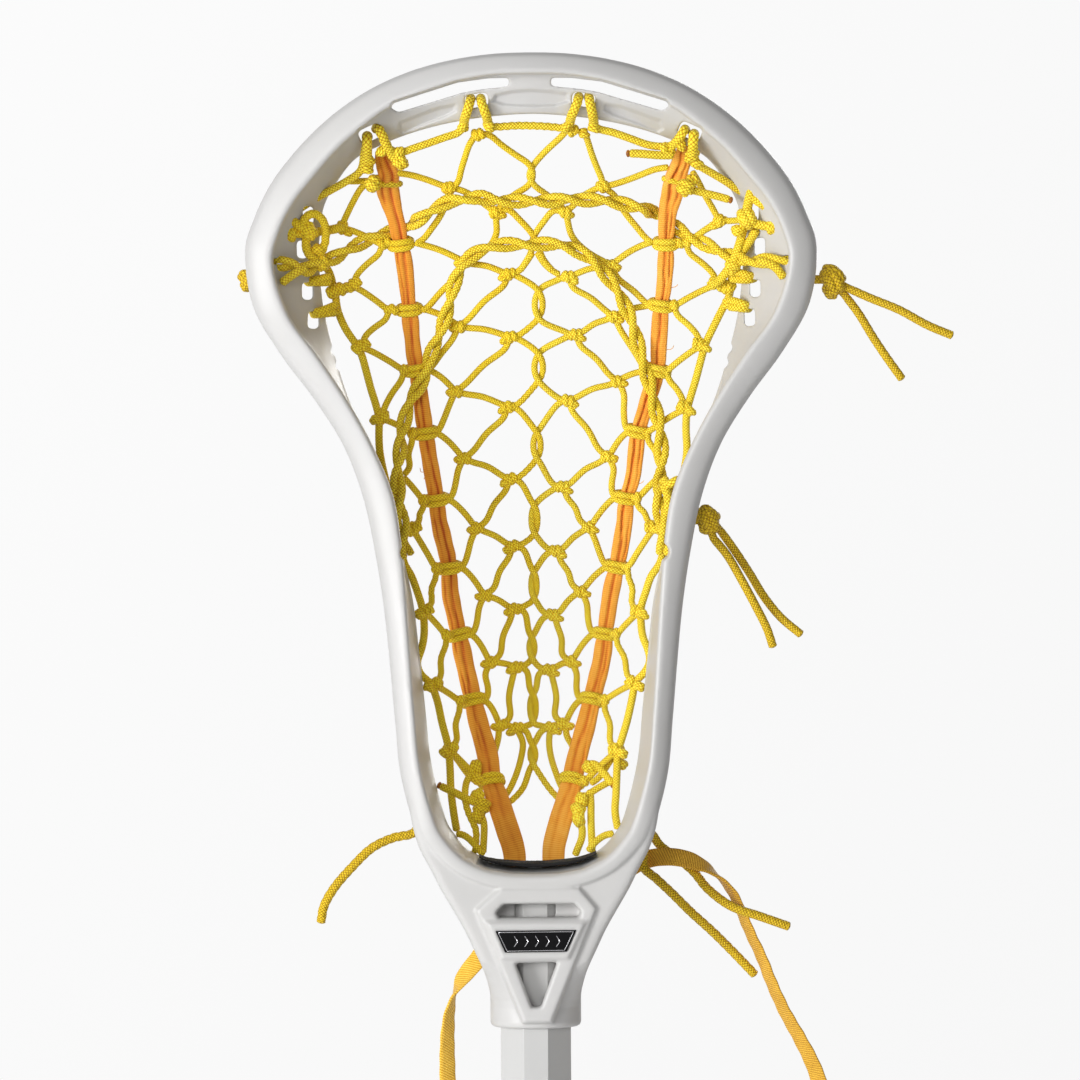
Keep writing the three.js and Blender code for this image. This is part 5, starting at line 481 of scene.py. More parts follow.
RUNNER_LINES = {"left_runner":[[-54.27,-0.68,318.03],[-53.59,0.57,315.93],[-52.55,1.91,313.11],[-51.7,3.42,309.93],[-52.23,6.04,305.71],[-51.36,8.04,301.45],[-50.22,9.48,297.16],[-49.05,10.92,292.85],[-48.25,12.36,288.55],[-47.52,13.8,284.23],[-46.67,15.24,279.91],[-46.09,16.68,275.59],[-45.71,18.08,271.25],[-45.32,19.09,266.9],[-44.93,20.1,262.54],[-44.54,21.11,258.18],[-44.14,22.12,253.81],[-43.73,23.12,249.44],[-43.27,24.13,245.07],[-42.59,25.12,240.69],[-41.89,25.98,236.31],[-41.27,26.85,231.92],[-40.74,27.71,227.53],[-40.21,28.58,223.13],[-39.62,29.44,218.73],[-39.02,30.3,214.33],[-38.41,31.17,209.92],[-37.75,32.03,205.51],[-37.02,32.9,201.1],[-36.29,33.76,196.68],[-35.62,34.62,192.26],[-35.13,35.49,187.84],[-34.58,36.35,183.42],[-33.62,37.18,178.99],[-32.58,37.9,174.55],[-31.56,38.62,170.12],[-31.04,39.34,165.68],[-30.93,40.06,161.24],[-30.67,40.78,156.79],[-29.86,41.5,152.35],[-28.96,42.05,147.9],[-28.07,42.23,143.45],[-27.18,42.4,139.01],[-26.29,42.57,134.56],[-25.38,42.74,130.12],[-24.4,42.92,125.67],[-23.41,42.46,121.24],[-22.42,41.43,116.82],[-21.42,40.39,112.41],[-20.32,39.35,108.0],[-19.04,38.32,103.6],[-17.76,37.28,99.2],[-16.85,35.1,94.85],[-16.31,32.51,90.52],[-15.36,29.92,86.2],[-13.86,27.33,81.89],[-12.37,24.74,77.59],[-10.94,22.14,73.3],[-9.53,20.91,68.96],[-8.12,19.76,64.62],[-7.4,19.3,60.5],[-7.4,19.2,55.0],[-7.4,19.2,50.6]],"right_runner":[[55.21,-1.54,319.43],[55.23,-0.03,316.98],[54.89,1.58,313.81],[53.81,3.09,310.63],[52.33,6.04,305.71],[51.37,8.04,301.45],[50.24,9.48,297.16],[49.7,10.92,292.85],[49.44,12.36,288.55],[49.32,13.8,284.23],[49.31,15.24,279.91],[49.1,16.68,275.59],[48.81,18.08,271.25],[48.35,19.09,266.9],[47.61,20.1,262.54],[47.24,21.11,258.18],[46.97,22.12,253.81],[46.72,23.12,249.44],[46.56,24.13,245.07],[46.4,25.12,240.69],[45.55,25.98,236.31],[44.04,26.85,231.92],[42.53,27.71,227.53],[41.12,28.58,223.13],[39.74,29.44,218.73],[38.74,30.3,214.33],[38.24,31.17,209.92],[37.77,32.03,205.51],[37.29,32.9,201.1],[36.27,33.76,196.68],[34.73,34.62,192.26],[34.22,35.49,187.84],[33.93,36.35,183.42],[33.24,37.18,178.99],[32.47,37.9,174.55],[31.69,38.62,170.12],[30.75,39.34,165.68],[29.7,40.06,161.24],[28.72,40.78,156.79],[28.01,41.5,152.35],[27.35,42.05,147.9],[26.73,42.23,143.45],[26.16,42.4,139.01],[25.59,42.57,134.56],[24.78,42.74,130.12],[23.65,42.92,125.67],[22.51,42.46,121.24],[21.37,41.43,116.82],[20.27,40.39,112.41],[19.15,39.35,108.0],[17.93,38.32,103.6],[16.7,37.28,99.2],[15.49,35.1,94.85],[14.47,32.51,90.52],[13.45,29.92,86.2],[12.33,27.33,81.89],[10.91,24.74,77.59],[9.44,22.14,73.3],[8.2,20.91,68.96],[7.12,19.76,64.62],[6.8,19.3,60.5],[6.8,19.2,55.0],[6.8,19.2,50.6]]}
TIPS = {"top_string_tip":{"at":[35.48,-9.0,316.05],"dir":[-2.71,0.0,0.0],"r":1.3},"top_string_tail_tip":{"at":[72.48,-2.6,299.33],"dir":[3.8,0.0,-1.16],"r":1.24},"left_outer_lace_tip":{"at":[-34.84,21.92,86.59],"dir":[-2.38,0.0,1.17],"r":1.3},"right_outer_lace_tip":{"at":[29.02,24.32,86.24],"dir":[2.73,0.0,-3.49],"r":1.28}}
WHISKERS = {"left_runner_fibres":[[[-38.54,33.26,199.08],[-40.04,32.96,199.26],[-39.58,32.76,199.9],[-39.28,32.66,201.1]],[[-39.33,32.75,201.65],[-41.12,32.45,201.83],[-41.33,32.25,202.35],[-41.47,32.15,203.3]]],"right_runner_fibres":[[[50.62,18.67,268.53],[52.25,18.37,268.7],[53.12,18.17,269.08],[53.71,18.07,269.79]],[[49.09,23.88,245.98],[51.12,23.58,246.15],[51.78,23.38,246.66],[52.22,23.28,247.61]],[[38.17,33.69,196.87],[39.59,33.39,197.05],[40.47,33.19,197.43],[41.07,33.09,198.15]]]}
TIES = {"left_outer_knot":{"c":[-103.2,-4,271.5],"r":3.0,"neck":[-94.9,-4,271.5],"nr":1.6,"sz":[1,1,1.1]},"right_upper_knot":{"c":[109.3,-4,270.0],"r":4.9,"neck":[95.2,-4,271.0],"nr":1.8,"sz":[1,1,1.22]},"right_middle_knot":{"c":[63.6,0,183.8],"r":4.3,"neck":[57.6,0,183.8],"nr":1.8,"sz":[1,1,1.3]},"lower_left_tie":{"c":[-38.5,26.5,74.0],"r":2.8,"neck":None,"nr":0,"sz":[1,1,1]},"lower_right_tie":{"c":[39.5,26.5,68.5],"r":3.2,"neck":None,"nr":0,"sz":[1,1,1]}}
TAILS = {"right_upper_tail_a":{"r":1.3,"pts":[[115.54,-4.5,266.67],[122.74,-5.0,263.39],[133.2,-5.5,259.02],[143.49,-5.5,253.37],[152.38,-5.0,249.62]]},"right_upper_tail_b":{"r":1.3,"pts":[[114.33,-3.0,263.83],[118.85,-2.5,257.68],[123.9,-2.0,249.35],[128.94,-2.0,241.73],[134.3,-2.5,234.1]]},"right_middle_tail_a":{"r":1.3,"pts":[[65.75,-1.5,176.4],[70.42,-2.0,170.59],[75.43,-2.5,161.89],[80.45,-2.5,152.45],[84.77,-2.0,143.73],[86.93,-1.5,137.19]]},"right_middle_tail_b":{"r":1.3,"pts":[[68.6,2.0,178.95],[73.48,2.5,172.04],[78.9,3.0,163.67],[83.94,3.0,155.3],[90.06,2.5,147.67],[97.27,2.0,141.49]]},"lower_left_tail":{"r":1.4,"pts":[[-42.2,26.2,73.1],[-44.51,24.5,69.15],[-52.04,22.5,67.41],[-59.71,20.5,63.85],[-67.04,19.0,56.96],[-73.65,18.0,49.32],[-77.33,17.5,42.76],[-78.45,17.0,36.93]]},"lower_right_tail_a":{"r":1.4,"pts":[[43.4,25.9,67.8],[46.02,27.6,63.86],[51.89,28.2,59.41],[58.06,26.2,54.37],[63.04,21.5,48.39],[70.2,16.8,42.8],[75.61,14.9,40.36],[80.36,14.9,38.89],[92.79,15.6,34.46]]},"lower_right_tail_b":{"r":1.4,"pts":[[40.6,23.9,65.0],[39.99,22.0,56.07],[44.36,21.6,52.05],[50.19,21.5,46.56],[56.78,22.5,39.89],[65.14,21.5,32.25],[72.78,21.0,24.58],[80.41,20.5,16.55]]}}
STRAPS = {"left_runner_tail":{"w":2.9,"t":1.3,"pts":[[-7.4,19.2,49.3],[-7.8,19.6,45.5],[-9.6,20.4,41.0],[-13.2,20.6,35.0],[-17.4,20.0,28.5],[-21.4,19.0,22.6],[-25.8,18.0,17.4],[-29.2,17.0,11.6],[-31.3,16.2,4.8],[-32.3,15.6,-3.5],[-32.5,15.2,-13.0],[-32.3,15.0,-24.0],[-31.8,15.0,-38.0],[-31.2,15.0,-54.0],[-30.6,15.0,-70.0],[-30.2,15.0,-86.0],[-30.0,15.0,-100.0]]},"right_runner_tail":{"w":2.9,"t":1.3,"pts":[[6.8,19.2,49.3],[6.9,19.4,46.8],[9.4,21.2,43.8],[15.0,23.2,44.4],[21.5,26.8,47.8],[28.5,28.4,52.0],[34.5,28.4,55.4],[39.0,27.2,57.9],[45.0,24.6,59.6],[53.5,22.6,59.4],[61.0,22.4,56.8],[67.2,21.2,52.4],[72.0,20.4,47.0],[75.4,19.8,40.0],[78.4,19.4,32.6],[82.8,19.0,23.0],[86.6,18.8,13.2],[91.2,18.6,3.0],[96.4,18.4,-6.4],[101.2,18.2,-16.0],[104.9,18.0,-27.0],[107.4,18.0,-40.0],[108.8,18.0,-54.0],[109.2,18.0,-68.0]]}}


# ---- mesh helpers ------------------------------------------------------------------------
def spline(pts, ds=0.4, alpha=0.5):
    """Centripetal curve through the points, sampled evenly by length."""
    p = np.array(pts, float)
    keep = [0] + [i for i in range(1, len(p)) if np.linalg.norm(p[i] - p[i - 1]) > 1e-4]
    p = p[keep]
    if len(p) == 2:
        out = np.linspace(p[0], p[1], 40)
    else:
        q = np.vstack([2 * p[0] - p[1], p, 2 * p[-1] - p[-2]])
        out = []
        for i in range(1, len(q) - 2):
            a, b, c, d = q[i - 1], q[i], q[i + 1], q[i + 2]
            t0 = 0.0
            t1 = t0 + np.linalg.norm(b - a) ** alpha
            t2 = t1 + np.linalg.norm(c - b) ** alpha
            t3 = t2 + np.linalg.norm(d - c) ** alpha
            t = np.linspace(t1, t2, 24, endpoint=False)[:, None]
            A1 = (t1 - t) / (t1 - t0) * a + (t - t0) / (t1 - t0) * b
            A2 = (t2 - t) / (t2 - t1) * b + (t - t1) / (t2 - t1) * c
            A3 = (t3 - t) / (t3 - t2) * c + (t - t2) / (t3 - t2) * d
            B1 = (t2 - t) / (t2 - t0) * A1 + (t - t0) / (t2 - t0) * A2
            B2 = (t3 - t) / (t3 - t1) * A2 + (t - t1) / (t3 - t1) * A3
            out.append((t2 - t) / (t2 - t1) * B1 + (t - t1) / (t2 - t1) * B2)
        out = np.vstack(out + [p[-1:]])
    s = np.concatenate([[0], np.cumsum(np.linalg.norm(np.diff(out, axis=0), axis=1))])
    n = max(3, int(round(s[-1] / ds)) + 1)
    u = np.linspace(0, s[-1], n)
    return np.stack([np.interp(u, s, out[:, k]) for k in range(3)], 1)


def frames(P, first=None):
    """Frames that turn as little as possible along the line: tangent, normal, binormal."""
    T = np.gradient(P, axis=0)
    T /= np.linalg.norm(T, axis=1)[:, None] + 1e-12
    ref = np.array(first if first is not None else (0, 1, 0), float)
    n = ref - T[0] * (ref @ T[0])
    if np.linalg.norm(n) < 1e-3:
        ref = np.array([1.0, 0, 0])
        n = ref - T[0] * (ref @ T[0])
    N = [n / np.linalg.norm(n)]
    for i in range(1, len(P)):
        n = N[-1] - T[i] * (N[-1] @ T[i])
        N.append(n / (np.linalg.norm(n) + 1e-12))
    N = np.array(N)
    return T, N, np.cross(T, N)


def soften(P, half=5, times=2):
    """Evens out a line, keeping its two ends."""
    for _ in range(times):
        h = min(half, (len(P) - 1) // 3)
        if h < 1:
            return P
        c = np.vstack([2 * P[0] - P[h:0:-1], P, 2 * P[-1] - P[-2 : -h - 2 : -1]])
        k = np.hanning(2 * h + 3)[1:-1]
        k /= k.sum()
        P = np.stack([np.convolve(c[:, i], k, "valid") for i in range(3)], 1)
    return P


class Parts:
    """Collects tubes and sweeps, then makes one mesh of them."""

    def __init__(self):
        self.v, self.f, self.a, self.n = [], [], [], 0

    def rings(self, R, attr, closed=False, cap=True):
        """R: rings x points x 3."""
        m, k = R.shape[:2]
        i = np.arange(m if closed else m - 1)[:, None]
        j = np.arange(k)[None, :]
        i2 = (i + 1) % m
        j2 = (j + 1) % k
        q = np.stack([i * k + j, i * k + j2, i2 * k + j2, i2 * k + j], -1).reshape(-1, 4)
        base = self.n
        verts, at = R.reshape(-1, 3), attr.reshape(-1, 3)
        tri = []
        if cap and not closed:
            c0, c1 = R[0].mean(0), R[-1].mean(0)
            verts = np.vstack([verts, c0, c1])
            at = np.vstack([at, [0, 0, attr[0, 0, 2]], [0, 0, attr[-1, 0, 2]]])
            a, b = m * k, m * k + 1
            for j_ in range(k):
                tri.append((a, (j_ + 1) % k, j_))
                tri.append((b, (m - 1) * k + j_, (m - 1) * k + (j_ + 1) % k))
        self.v.append(verts)
        self.a.append(at)
        self.f.extend((q + base).tolist())
        self.f.extend([[x + base for x in t] for t in tri])
        self.n += len(verts)

    def tube(self, pts, r, ring=12, ds=0.4, braid=0.07, pitch=None, closed=False, raw=False, taper=True, lay=3, smooth=0):
        P = np.array(pts, float) if raw else (soften(spline(pts, ds), smooth) if smooth else spline(pts, ds))
        T, N, B = frames(P)
        s = np.concatenate([[0], np.cumsum(np.linalg.norm(np.diff(P, axis=0), axis=1))])
        th = np.linspace(0, 2 * math.pi, ring, endpoint=False)
        k = 2 * math.pi / (pitch or 5.2 * r)
        a = np.cos(lay * th[None, :] + lay * k * s[:, None] * 0.9)
        b = np.cos(lay * th[None, :] - lay * k * s[:, None] * 0.9)
        rad = r * (1 - braid + braid * (0.5 + 0.5 * np.maximum(a, b)) * 2)
        if taper and not closed:
            e = np.minimum(s, s[-1] - s)
            rad = rad * np.sqrt(np.clip(1 - (1 - np.clip(e / (0.55 * r), 0, 1)) ** 2, 0.08, 1))[:, None]
        R = P[:, None, :] + rad[..., None] * (
            np.cos(th)[None, :, None] * N[:, None, :] + np.sin(th)[None, :, None] * B[:, None, :]
        )
        at = np.stack(
            [np.broadcast_to(np.cos(th), rad.shape), np.broadcast_to(np.sin(th), rad.shape), np.broadcast_to(s[:, None], rad.shape)], -1
        )
        self.rings(R, at, closed=closed)
        return P

    def coil(self, c, axis, rho, turns, rt, length):
        """A knot: turns of cord round a filled middle, with both ends tucked in."""
        a = np.array(axis, float)
        a /= np.linalg.norm(a)
        u = np.cross(a, (0, 1, 0.2))
        u /= np.linalg.norm(u)
        v = np.cross(a, u)
        rt, rho = rt * 1.1, rho * 1.12
        n = int(30 * turns) + 4
        t = np.linspace(0, 1, n)
        ph = 2 * math.pi * turns * t + random.uniform(0, 6.28)
        g = rho * (0.15 + 0.85 * np.clip(np.sin(math.pi * t) * 2.4, 0, 1) ** 0.7)
        P = np.array(c) + np.outer((t - 0.5) * length, a) + (g * np.cos(ph))[:, None] * u + (g * np.sin(ph))[:, None] * v
        self.tube(P, rt, ring=14, raw=True)
        h = 0.5 * length + 0.55 * rt
        bend = 0.18 * rho * (u + v)
        C = np.array([np.array(c) + a * h * q + bend * (1 - q * q) for q in np.linspace(-1, 1, 18)])
        self.tube(C, rho + 0.3 * rt, ring=16, raw=True, braid=0.03)

    def ring_wrap(self, c, t, tilt, a=4.05, b=2.8, r=1.16, gap=1.18, n=64, turns=(-1, 1)):
        tz = np.array(t, float)
        tz /= np.linalg.norm(tz)
        x = np.array([1.0, 0, 0])
        tx = x - tz * (x @ tz)
        tx /= np.linalg.norm(tx)
        ty = np.cross(tz, tx)
        for sgn in turns:
            ph = np.linspace(0, 2 * math.pi, n, endpoint=False)
            squeeze = 1 - 0.45 * np.abs(np.cos(ph)) ** 6
            P = (
                np.array(c)
                + (a * np.cos(ph))[:, None] * tx
                + (b * np.sin(ph))[:, None] * ty
                + (sgn * gap * squeeze + tilt * a * np.cos(ph))[:, None] * tz
            )
            T = np.roll(P, -1, 0) - np.roll(P, 1, 0)
            T /= np.linalg.norm(T, axis=1)[:, None]
            N = np.cross(T, tz)
            N /= np.linalg.norm(N, axis=1)[:, None]
            B = np.cross(T, N)
            ring = 12
            th = np.linspace(0, 2 * math.pi, ring, endpoint=False)
            s = np.linspace(0, 2 * math.pi * 3.4, n, endpoint=False)
            m = round(2 * math.pi * 3.4 / (5.2 * r) * 3) / (2 * math.pi * 3.4) * 2 * math.pi
            rad = r * (0.93 + 0.07 * (1 + np.maximum(np.cos(3 * th[None] + m * s[:, None]), np.cos(3 * th[None] - m * s[:, None]))))
            R = P[:, None] + rad[..., None] * (np.cos(th)[None, :, None] * N[:, None] + np.sin(th)[None, :, None] * B[:, None])
            at = np.stack([np.broadcast_to(np.cos(th), rad.shape), np.broadcast_to(np.sin(th), rad.shape), np.broadcast_to(s[:, None], rad.shape)], -1)
            self.rings(R, at, closed=True)

    def make(self, name, material, smooth=True):
        v = np.vstack(self.v) * MM
        me = bpy.data.meshes.new(name)
        me.from_pydata(v.tolist(), [], self.f)
        at = me.attributes.new("lay", "FLOAT_VECTOR", "POINT")
        at.data.foreach_set("vector", np.vstack(self.a).astype(np.float32).ravel())
        me.polygons.foreach_set("use_smooth", [smooth] * len(me.polygons))
        me.update()
        o = bpy.data.objects.new(name, me)
        bpy.context.scene.collection.objects.link(o)
        me.materials.append(material)
        return o


def mesh_object(name, verts, faces, material=None, smooth=False):
    me = bpy.data.meshes.new(name)
    me.from_pydata((np.array(verts, float) * MM).tolist(), [], [list(f) for f in faces])
    me.update()
    if smooth:
        me.polygons.foreach_set("use_smooth", [True] * len(me.polygons))
    o = bpy.data.objects.new(name, me)
    bpy.context.scene.collection.objects.link(o)
    if material:
        me.materials.append(material)
    return o


def fix_normals(o):
    b = bmesh.new()
    b.from_mesh(o.data)
    bmesh.ops.recalc_face_normals(b, faces=b.faces)
    if b.calc_volume(signed=True) < 0:
        bmesh.ops.reverse_faces(b, faces=b.faces)
    b.to_mesh(o.data)
    b.free()
    return o


def prism_y(outline, y0, y1, name="cut"):
    n = len(outline)
    v = [(p[0], y0, p[1]) for p in outline] + [(p[0], y1, p[1]) for p in outline]
    f = [tuple(range(n)), tuple(range(2 * n - 1, n - 1, -1))] + [(i, i + n, (i + 1) % n + n, (i + 1) % n) for i in range(n)]
    return fix_normals(mesh_object(name, v, f))


def prism_z(outline, z0, z1, name="cut"):
    n = len(outline)
    v = [(p[0], p[1], z0) for p in outline] + [(p[0], p[1], z1) for p in outline]
    f = [tuple(range(n)), tuple(range(2 * n - 1, n - 1, -1))] + [(i, i + n, (i + 1) % n + n, (i + 1) % n) for i in range(n)]
    return fix_normals(mesh_object(name, v, f))


def evaluated(o):
    dg = bpy.context.evaluated_depsgraph_get()
    me = bpy.data.meshes.new_from_object(o.evaluated_get(dg))
    o.modifiers.clear()
    old = o.data
    o.data = me
    bpy.data.meshes.remove(old)
    return o


def boolean(o, tool, op):
    m = o.modifiers.new("b", "BOOLEAN")
    m.operation = op
    m.object = tool
    try:
        m.solver = "MANIFOLD"
    except TypeError:
        m.solver = "EXACT"
    bpy.context.view_layer.update()
    before = len(o.data.polygons)
    evaluated(o)
    if len(o.data.polygons) == 0:
        raise RuntimeError("boolean emptied " + o.name)
    bpy.data.objects.remove(tool)
    return o


def paint(o, mat):
    """One material on every face; a boolean leaves an empty slot in front of it otherwise."""
    o.data.materials.clear()
    o.data.materials.append(mat)
    o.data.polygons.foreach_set("material_index", [0] * len(o.data.polygons))
    o.data.update()


def octagon(flats, flat):
    h, f = flats / 2, flat / 2
    return [[f, -h], [h, -f], [h, f], [f, h], [-f, h], [-h, f], [-h, -f], [-f, -h]]


# ---- materials -----------------------------------------------------------------------------
def material(name, color, rough, metal=0.0, sheen=0.0, coat=0.0, ior=1.5):
    m = bpy.data.materials.new(name)
    m.use_nodes = True
    b = m.node_tree.nodes["Principled BSDF"]
    b.inputs["Base Color"].default_value = (*color, 1)
    b.inputs["Roughness"].default_value = rough
    b.inputs["Metallic"].default_value = metal
    b.inputs["IOR"].default_value = ior
    if sheen:
        b.inputs["Sheen Weight"].default_value = sheen
        b.inputs["Sheen Roughness"].default_value = 0.5
    if coat:
        b.inputs["Coat Weight"].default_value = coat
        b.inputs["Coat Roughness"].default_value = 0.12
    return m, m.node_tree, b


def link(nt, a, b):
    nt.links.new(a, b)


def noise(nt, scale, detail=3.0, rough=0.5):
    tc = nt.nodes.new("ShaderNodeTexCoord")
    n = nt.nodes.new("ShaderNodeTexNoise")
    n.inputs["Scale"].default_value = scale
    n.inputs["Detail"].default_value = detail
    n.inputs["Roughness"].default_value = rough
    link(nt, tc.outputs["Object"], n.inputs["Vector"])
    return n


def ramp(nt, fac, stops):
    r = nt.nodes.new("ShaderNodeValToRGB")
    e = r.color_ramp.elements
    e[0].position, e[0].color = stops[0][0], (*stops[0][1], 1)
    e[1].position, e[1].color = stops[-1][0], (*stops[-1][1], 1)
    for pos, col in stops[1:-1]:
        x = e.new(pos)
        x.color = (*col, 1)
    link(nt, fac, r.inputs["Fac"])
    return r


def bump(nt, b, height, strength, distance):
    n = nt.nodes.new("ShaderNodeBump")
    n.inputs["Strength"].default_value = strength
    n.inputs["Distance"].default_value = distance
    link(nt, height, n.inputs["Height"])
    link(nt, n.outputs["Normal"], b.inputs["Normal"])


def math_node(nt, op, a, b=None, c=None):
    n = nt.nodes.new("ShaderNodeMath")
    n.operation = op
    for i, v in enumerate((a, b, c)):
        if v is None:
            continue
        if hasattr(v, "is_output"):
            link(nt, v, n.inputs[i])
        else:
            n.inputs[i].default_value = v
    return n.outputs[0]


def braided(name, dark, base, light, freq=1.0, rough=0.6, around=4.0):
    """Braided cord: slanting yarns that pass over and under, from the stored angle and length. Colour follows the yarn
    relief, with painted highlight on the crowns and painted shade in the gaps, over real tone from two noises.
    """
    m, nt, b = material(name, base, rough, sheen=0.08, ior=1.38)
    at = nt.nodes.new("ShaderNodeAttribute")
    at.attribute_name = "lay"
    sep = nt.nodes.new("ShaderNodeSeparateXYZ")
    link(nt, at.outputs["Vector"], sep.inputs[0])
    th = math_node(nt, "MULTIPLY", math_node(nt, "ARCTAN2", sep.outputs[1], sep.outputs[0]), around)
    s = math_node(nt, "MULTIPLY", sep.outputs[2], 4.0 * freq)
    su = math_node(nt, "SINE", math_node(nt, "ADD", th, s))
    sv = math_node(nt, "SINE", math_node(nt, "SUBTRACT", th, s))
    au, av = math_node(nt, "ABSOLUTE", su), math_node(nt, "ABSOLUTE", sv)
    ha = math_node(nt, "MULTIPLY", au, math_node(nt, "POWER", av, 0.3))
    hb = math_node(nt, "MULTIPLY", av, math_node(nt, "POWER", au, 0.3))
    t = math_node(nt, "MULTIPLY_ADD", math_node(nt, "MULTIPLY", su, sv), 6.0, 0.5)
    t = math_node(nt, "MINIMUM", math_node(nt, "MAXIMUM", t, 0.0), 1.0)
    h = math_node(nt, "ADD", hb, math_node(nt, "MULTIPLY", math_node(nt, "SUBTRACT", ha, hb), t))
    fib = noise(nt, 900, 2)
    blot = noise(nt, 90, 2)
    f = math_node(nt, "MULTIPLY_ADD", fib.outputs["Fac"], 0.2, math_node(nt, "MULTIPLY", h, 0.8))
    f = math_node(nt, "MULTIPLY_ADD", blot.outputs["Fac"], 0.24, math_node(nt, "SUBTRACT", f, 0.12))
    # painted highlight on yarn crowns and painted shade between yarns; the fibre and blot noises are real tone
    # variation
    r = ramp(nt, f, [(0.14, dark), (0.44, base), (0.82, light)])
    link(nt, r.outputs["Color"], b.inputs["Base Color"])
    bump(nt, b, h, 0.8, 0.00026)
    return m


def srgb(r, g, b):
    f = lambda c: c / 12.92 if c <= 0.04045 else ((c + 0.055) / 1.055) ** 2.4
    return tuple(f(x / 255) for x in (r, g, b))


head_mat, _nt, _b = material("head_plastic", srgb(197, 198, 198), 0.44, coat=0.04)
_n = noise(_nt, 900, 2)
bump(_nt, _b, _n.outputs["Fac"], 0.06, 0.0001)
_v = noise(_nt, 14, 4)
_r = ramp(_nt, _v.outputs["Fac"], [(0.3, srgb(196, 195, 193)), (0.7, srgb(200, 199, 198))])
link(_nt, _r.outputs["Color"], _b.inputs["Base Color"])
badge_mat, _nt, _b = material("badge_black", (0.004, 0.004, 0.0045), 0.4, ior=1.2)
_n = noise(_nt, 500)
bump(_nt, _b, _n.outputs["Fac"], 0.03, 0.0001)
chrome_mat, _nt, _b = material("badge_line", srgb(200, 200, 202), 0.22, metal=1.0)
_n = noise(_nt, 700)
bump(_nt, _b, _n.outputs["Fac"], 0.04, 0.0001)
foam_mat, _nt, _b = material("foam", (0.007, 0.007, 0.0075), 0.95)
_n = noise(_nt, 1600, 5, 0.7)
bump(_nt, _b, _n.outputs["Fac"], 0.8, 0.0004)
_r = ramp(_nt, _n.outputs["Fac"], [(0.3, (0.003, 0.003, 0.003)), (0.7, (0.016, 0.016, 0.017))])
link(_nt, _r.outputs["Color"], _b.inputs["Base Color"])
shaft_mat, _nt, _b = material("shaft_white", srgb(197, 196, 194), 0.3, coat=0.15)
_n = noise(_nt, 400)
bump(_nt, _b, _n.outputs["Fac"], 0.02, 0.0001)
_v = noise(_nt, 9, 4)
_r = ramp(_nt, _v.outputs["Fac"], [(0.3, srgb(193, 192, 190)), (0.7, srgb(198, 198, 197))])
link(_nt, _r.outputs["Color"], _b.inputs["Base Color"])
rubber_mat, _nt, _b = material("cap_rubber", (0.018, 0.018, 0.019), 0.78)
_n = noise(_nt, 1200, 4)
bump(_nt, _b, _n.outputs["Fac"], 0.3, 0.0002)
steel_mat, _nt, _b = material("screw_steel", (0.62, 0.62, 0.64), 0.28, metal=1.0)
_n = noise(_nt, 600)
bump(_nt, _b, _n.outputs["Fac"], 0.06, 0.0001)


def woven(name, dark, base, light, fx, fs, rough=0.78, painted_crease_shade=False, rib=False):
    """Flat woven or leather strip: fine cross weave, from the stored width and length. The weave or rib relief also
    sets the colour, with painted highlight on its tops and painted shade between, over real random tone.
    """
    m, nt, b = material(name, base, rough, sheen=0.3)
    at = nt.nodes.new("ShaderNodeAttribute")
    at.attribute_name = "lay"
    sep = nt.nodes.new("ShaderNodeSeparateXYZ")
    link(nt, at.outputs["Vector"], sep.inputs[0])
    u = math_node(nt, "MULTIPLY", sep.outputs[0], fx)
    s = math_node(nt, "MULTIPLY", sep.outputs[2], fs)
    a = math_node(nt, "SINE", math_node(nt, "ADD", u, s))
    c = math_node(nt, "SINE", math_node(nt, "SUBTRACT", u, s))
    h = math_node(nt, "MULTIPLY_ADD", math_node(nt, "MULTIPLY", a, c), 0.5, 0.5)
    if rib:
        h = math_node(nt, "MULTIPLY_ADD", a, 0.5, 0.5)
    n = noise(nt, 140, 4)
    # colour from the weave or rib height is painted highlight and painted shade; the noise is real tone variation
    f = math_node(nt, "ADD", math_node(nt, "MULTIPLY", h, 0.6), math_node(nt, "MULTIPLY", n.outputs["Fac"], 0.55))
    # painted shade: the stored crease depth darkens the colour in the runner's grooves
    if painted_crease_shade:
        crease_shade_node = nt.nodes.new("ShaderNodeAttribute")
        crease_shade_node.attribute_name = "painted_crease_shade"
        f = math_node(nt, "SUBTRACT", f, math_node(nt, "MULTIPLY", crease_shade_node.outputs["Fac"], 0.75))
    r = ramp(nt, f, [(-0.0 if painted_crease_shade else 0.2, dark), (0.55, base), (0.85, light)])
    link(nt, r.outputs["Color"], b.inputs["Base Color"])
    bump(nt, b, h, 0.5 if rib else 0.35, 0.0002)
    return m


lace_left = braided("lace_yellow_left", srgb(184, 136, 0), srgb(250, 206, 8), srgb(255, 236, 58), 0.76, around=3.0)
lace_right = braided("lace_yellow_right", srgb(180, 132, 0), srgb(252, 208, 8), srgb(255, 244, 80), 0.76, around=3.0)
lace_mid = braided("lace_yellow_mid", srgb(168, 122, 0), srgb(250, 206, 6), srgb(255, 240, 64), 0.72, around=3.0)
cord_mat = braided("lace_yellow_thick", srgb(156, 110, 0), srgb(246, 200, 6), srgb(255, 242, 72), 0.62, around=3.0)
lace_tail = braided("lace_yellow_tail", srgb(140, 102, 0), srgb(214, 172, 6), srgb(238, 204, 36), 0.7, around=3.0)
runner_left = woven("runner_orange_left", srgb(200, 88, 10), srgb(238, 154, 28), srgb(250, 182, 62), 9, 4.2, painted_crease_shade=True)
runner_right = woven("runner_orange_right", srgb(216, 104, 16), srgb(250, 170, 44), srgb(255, 196, 88), 9, 4.2, painted_crease_shade=True)
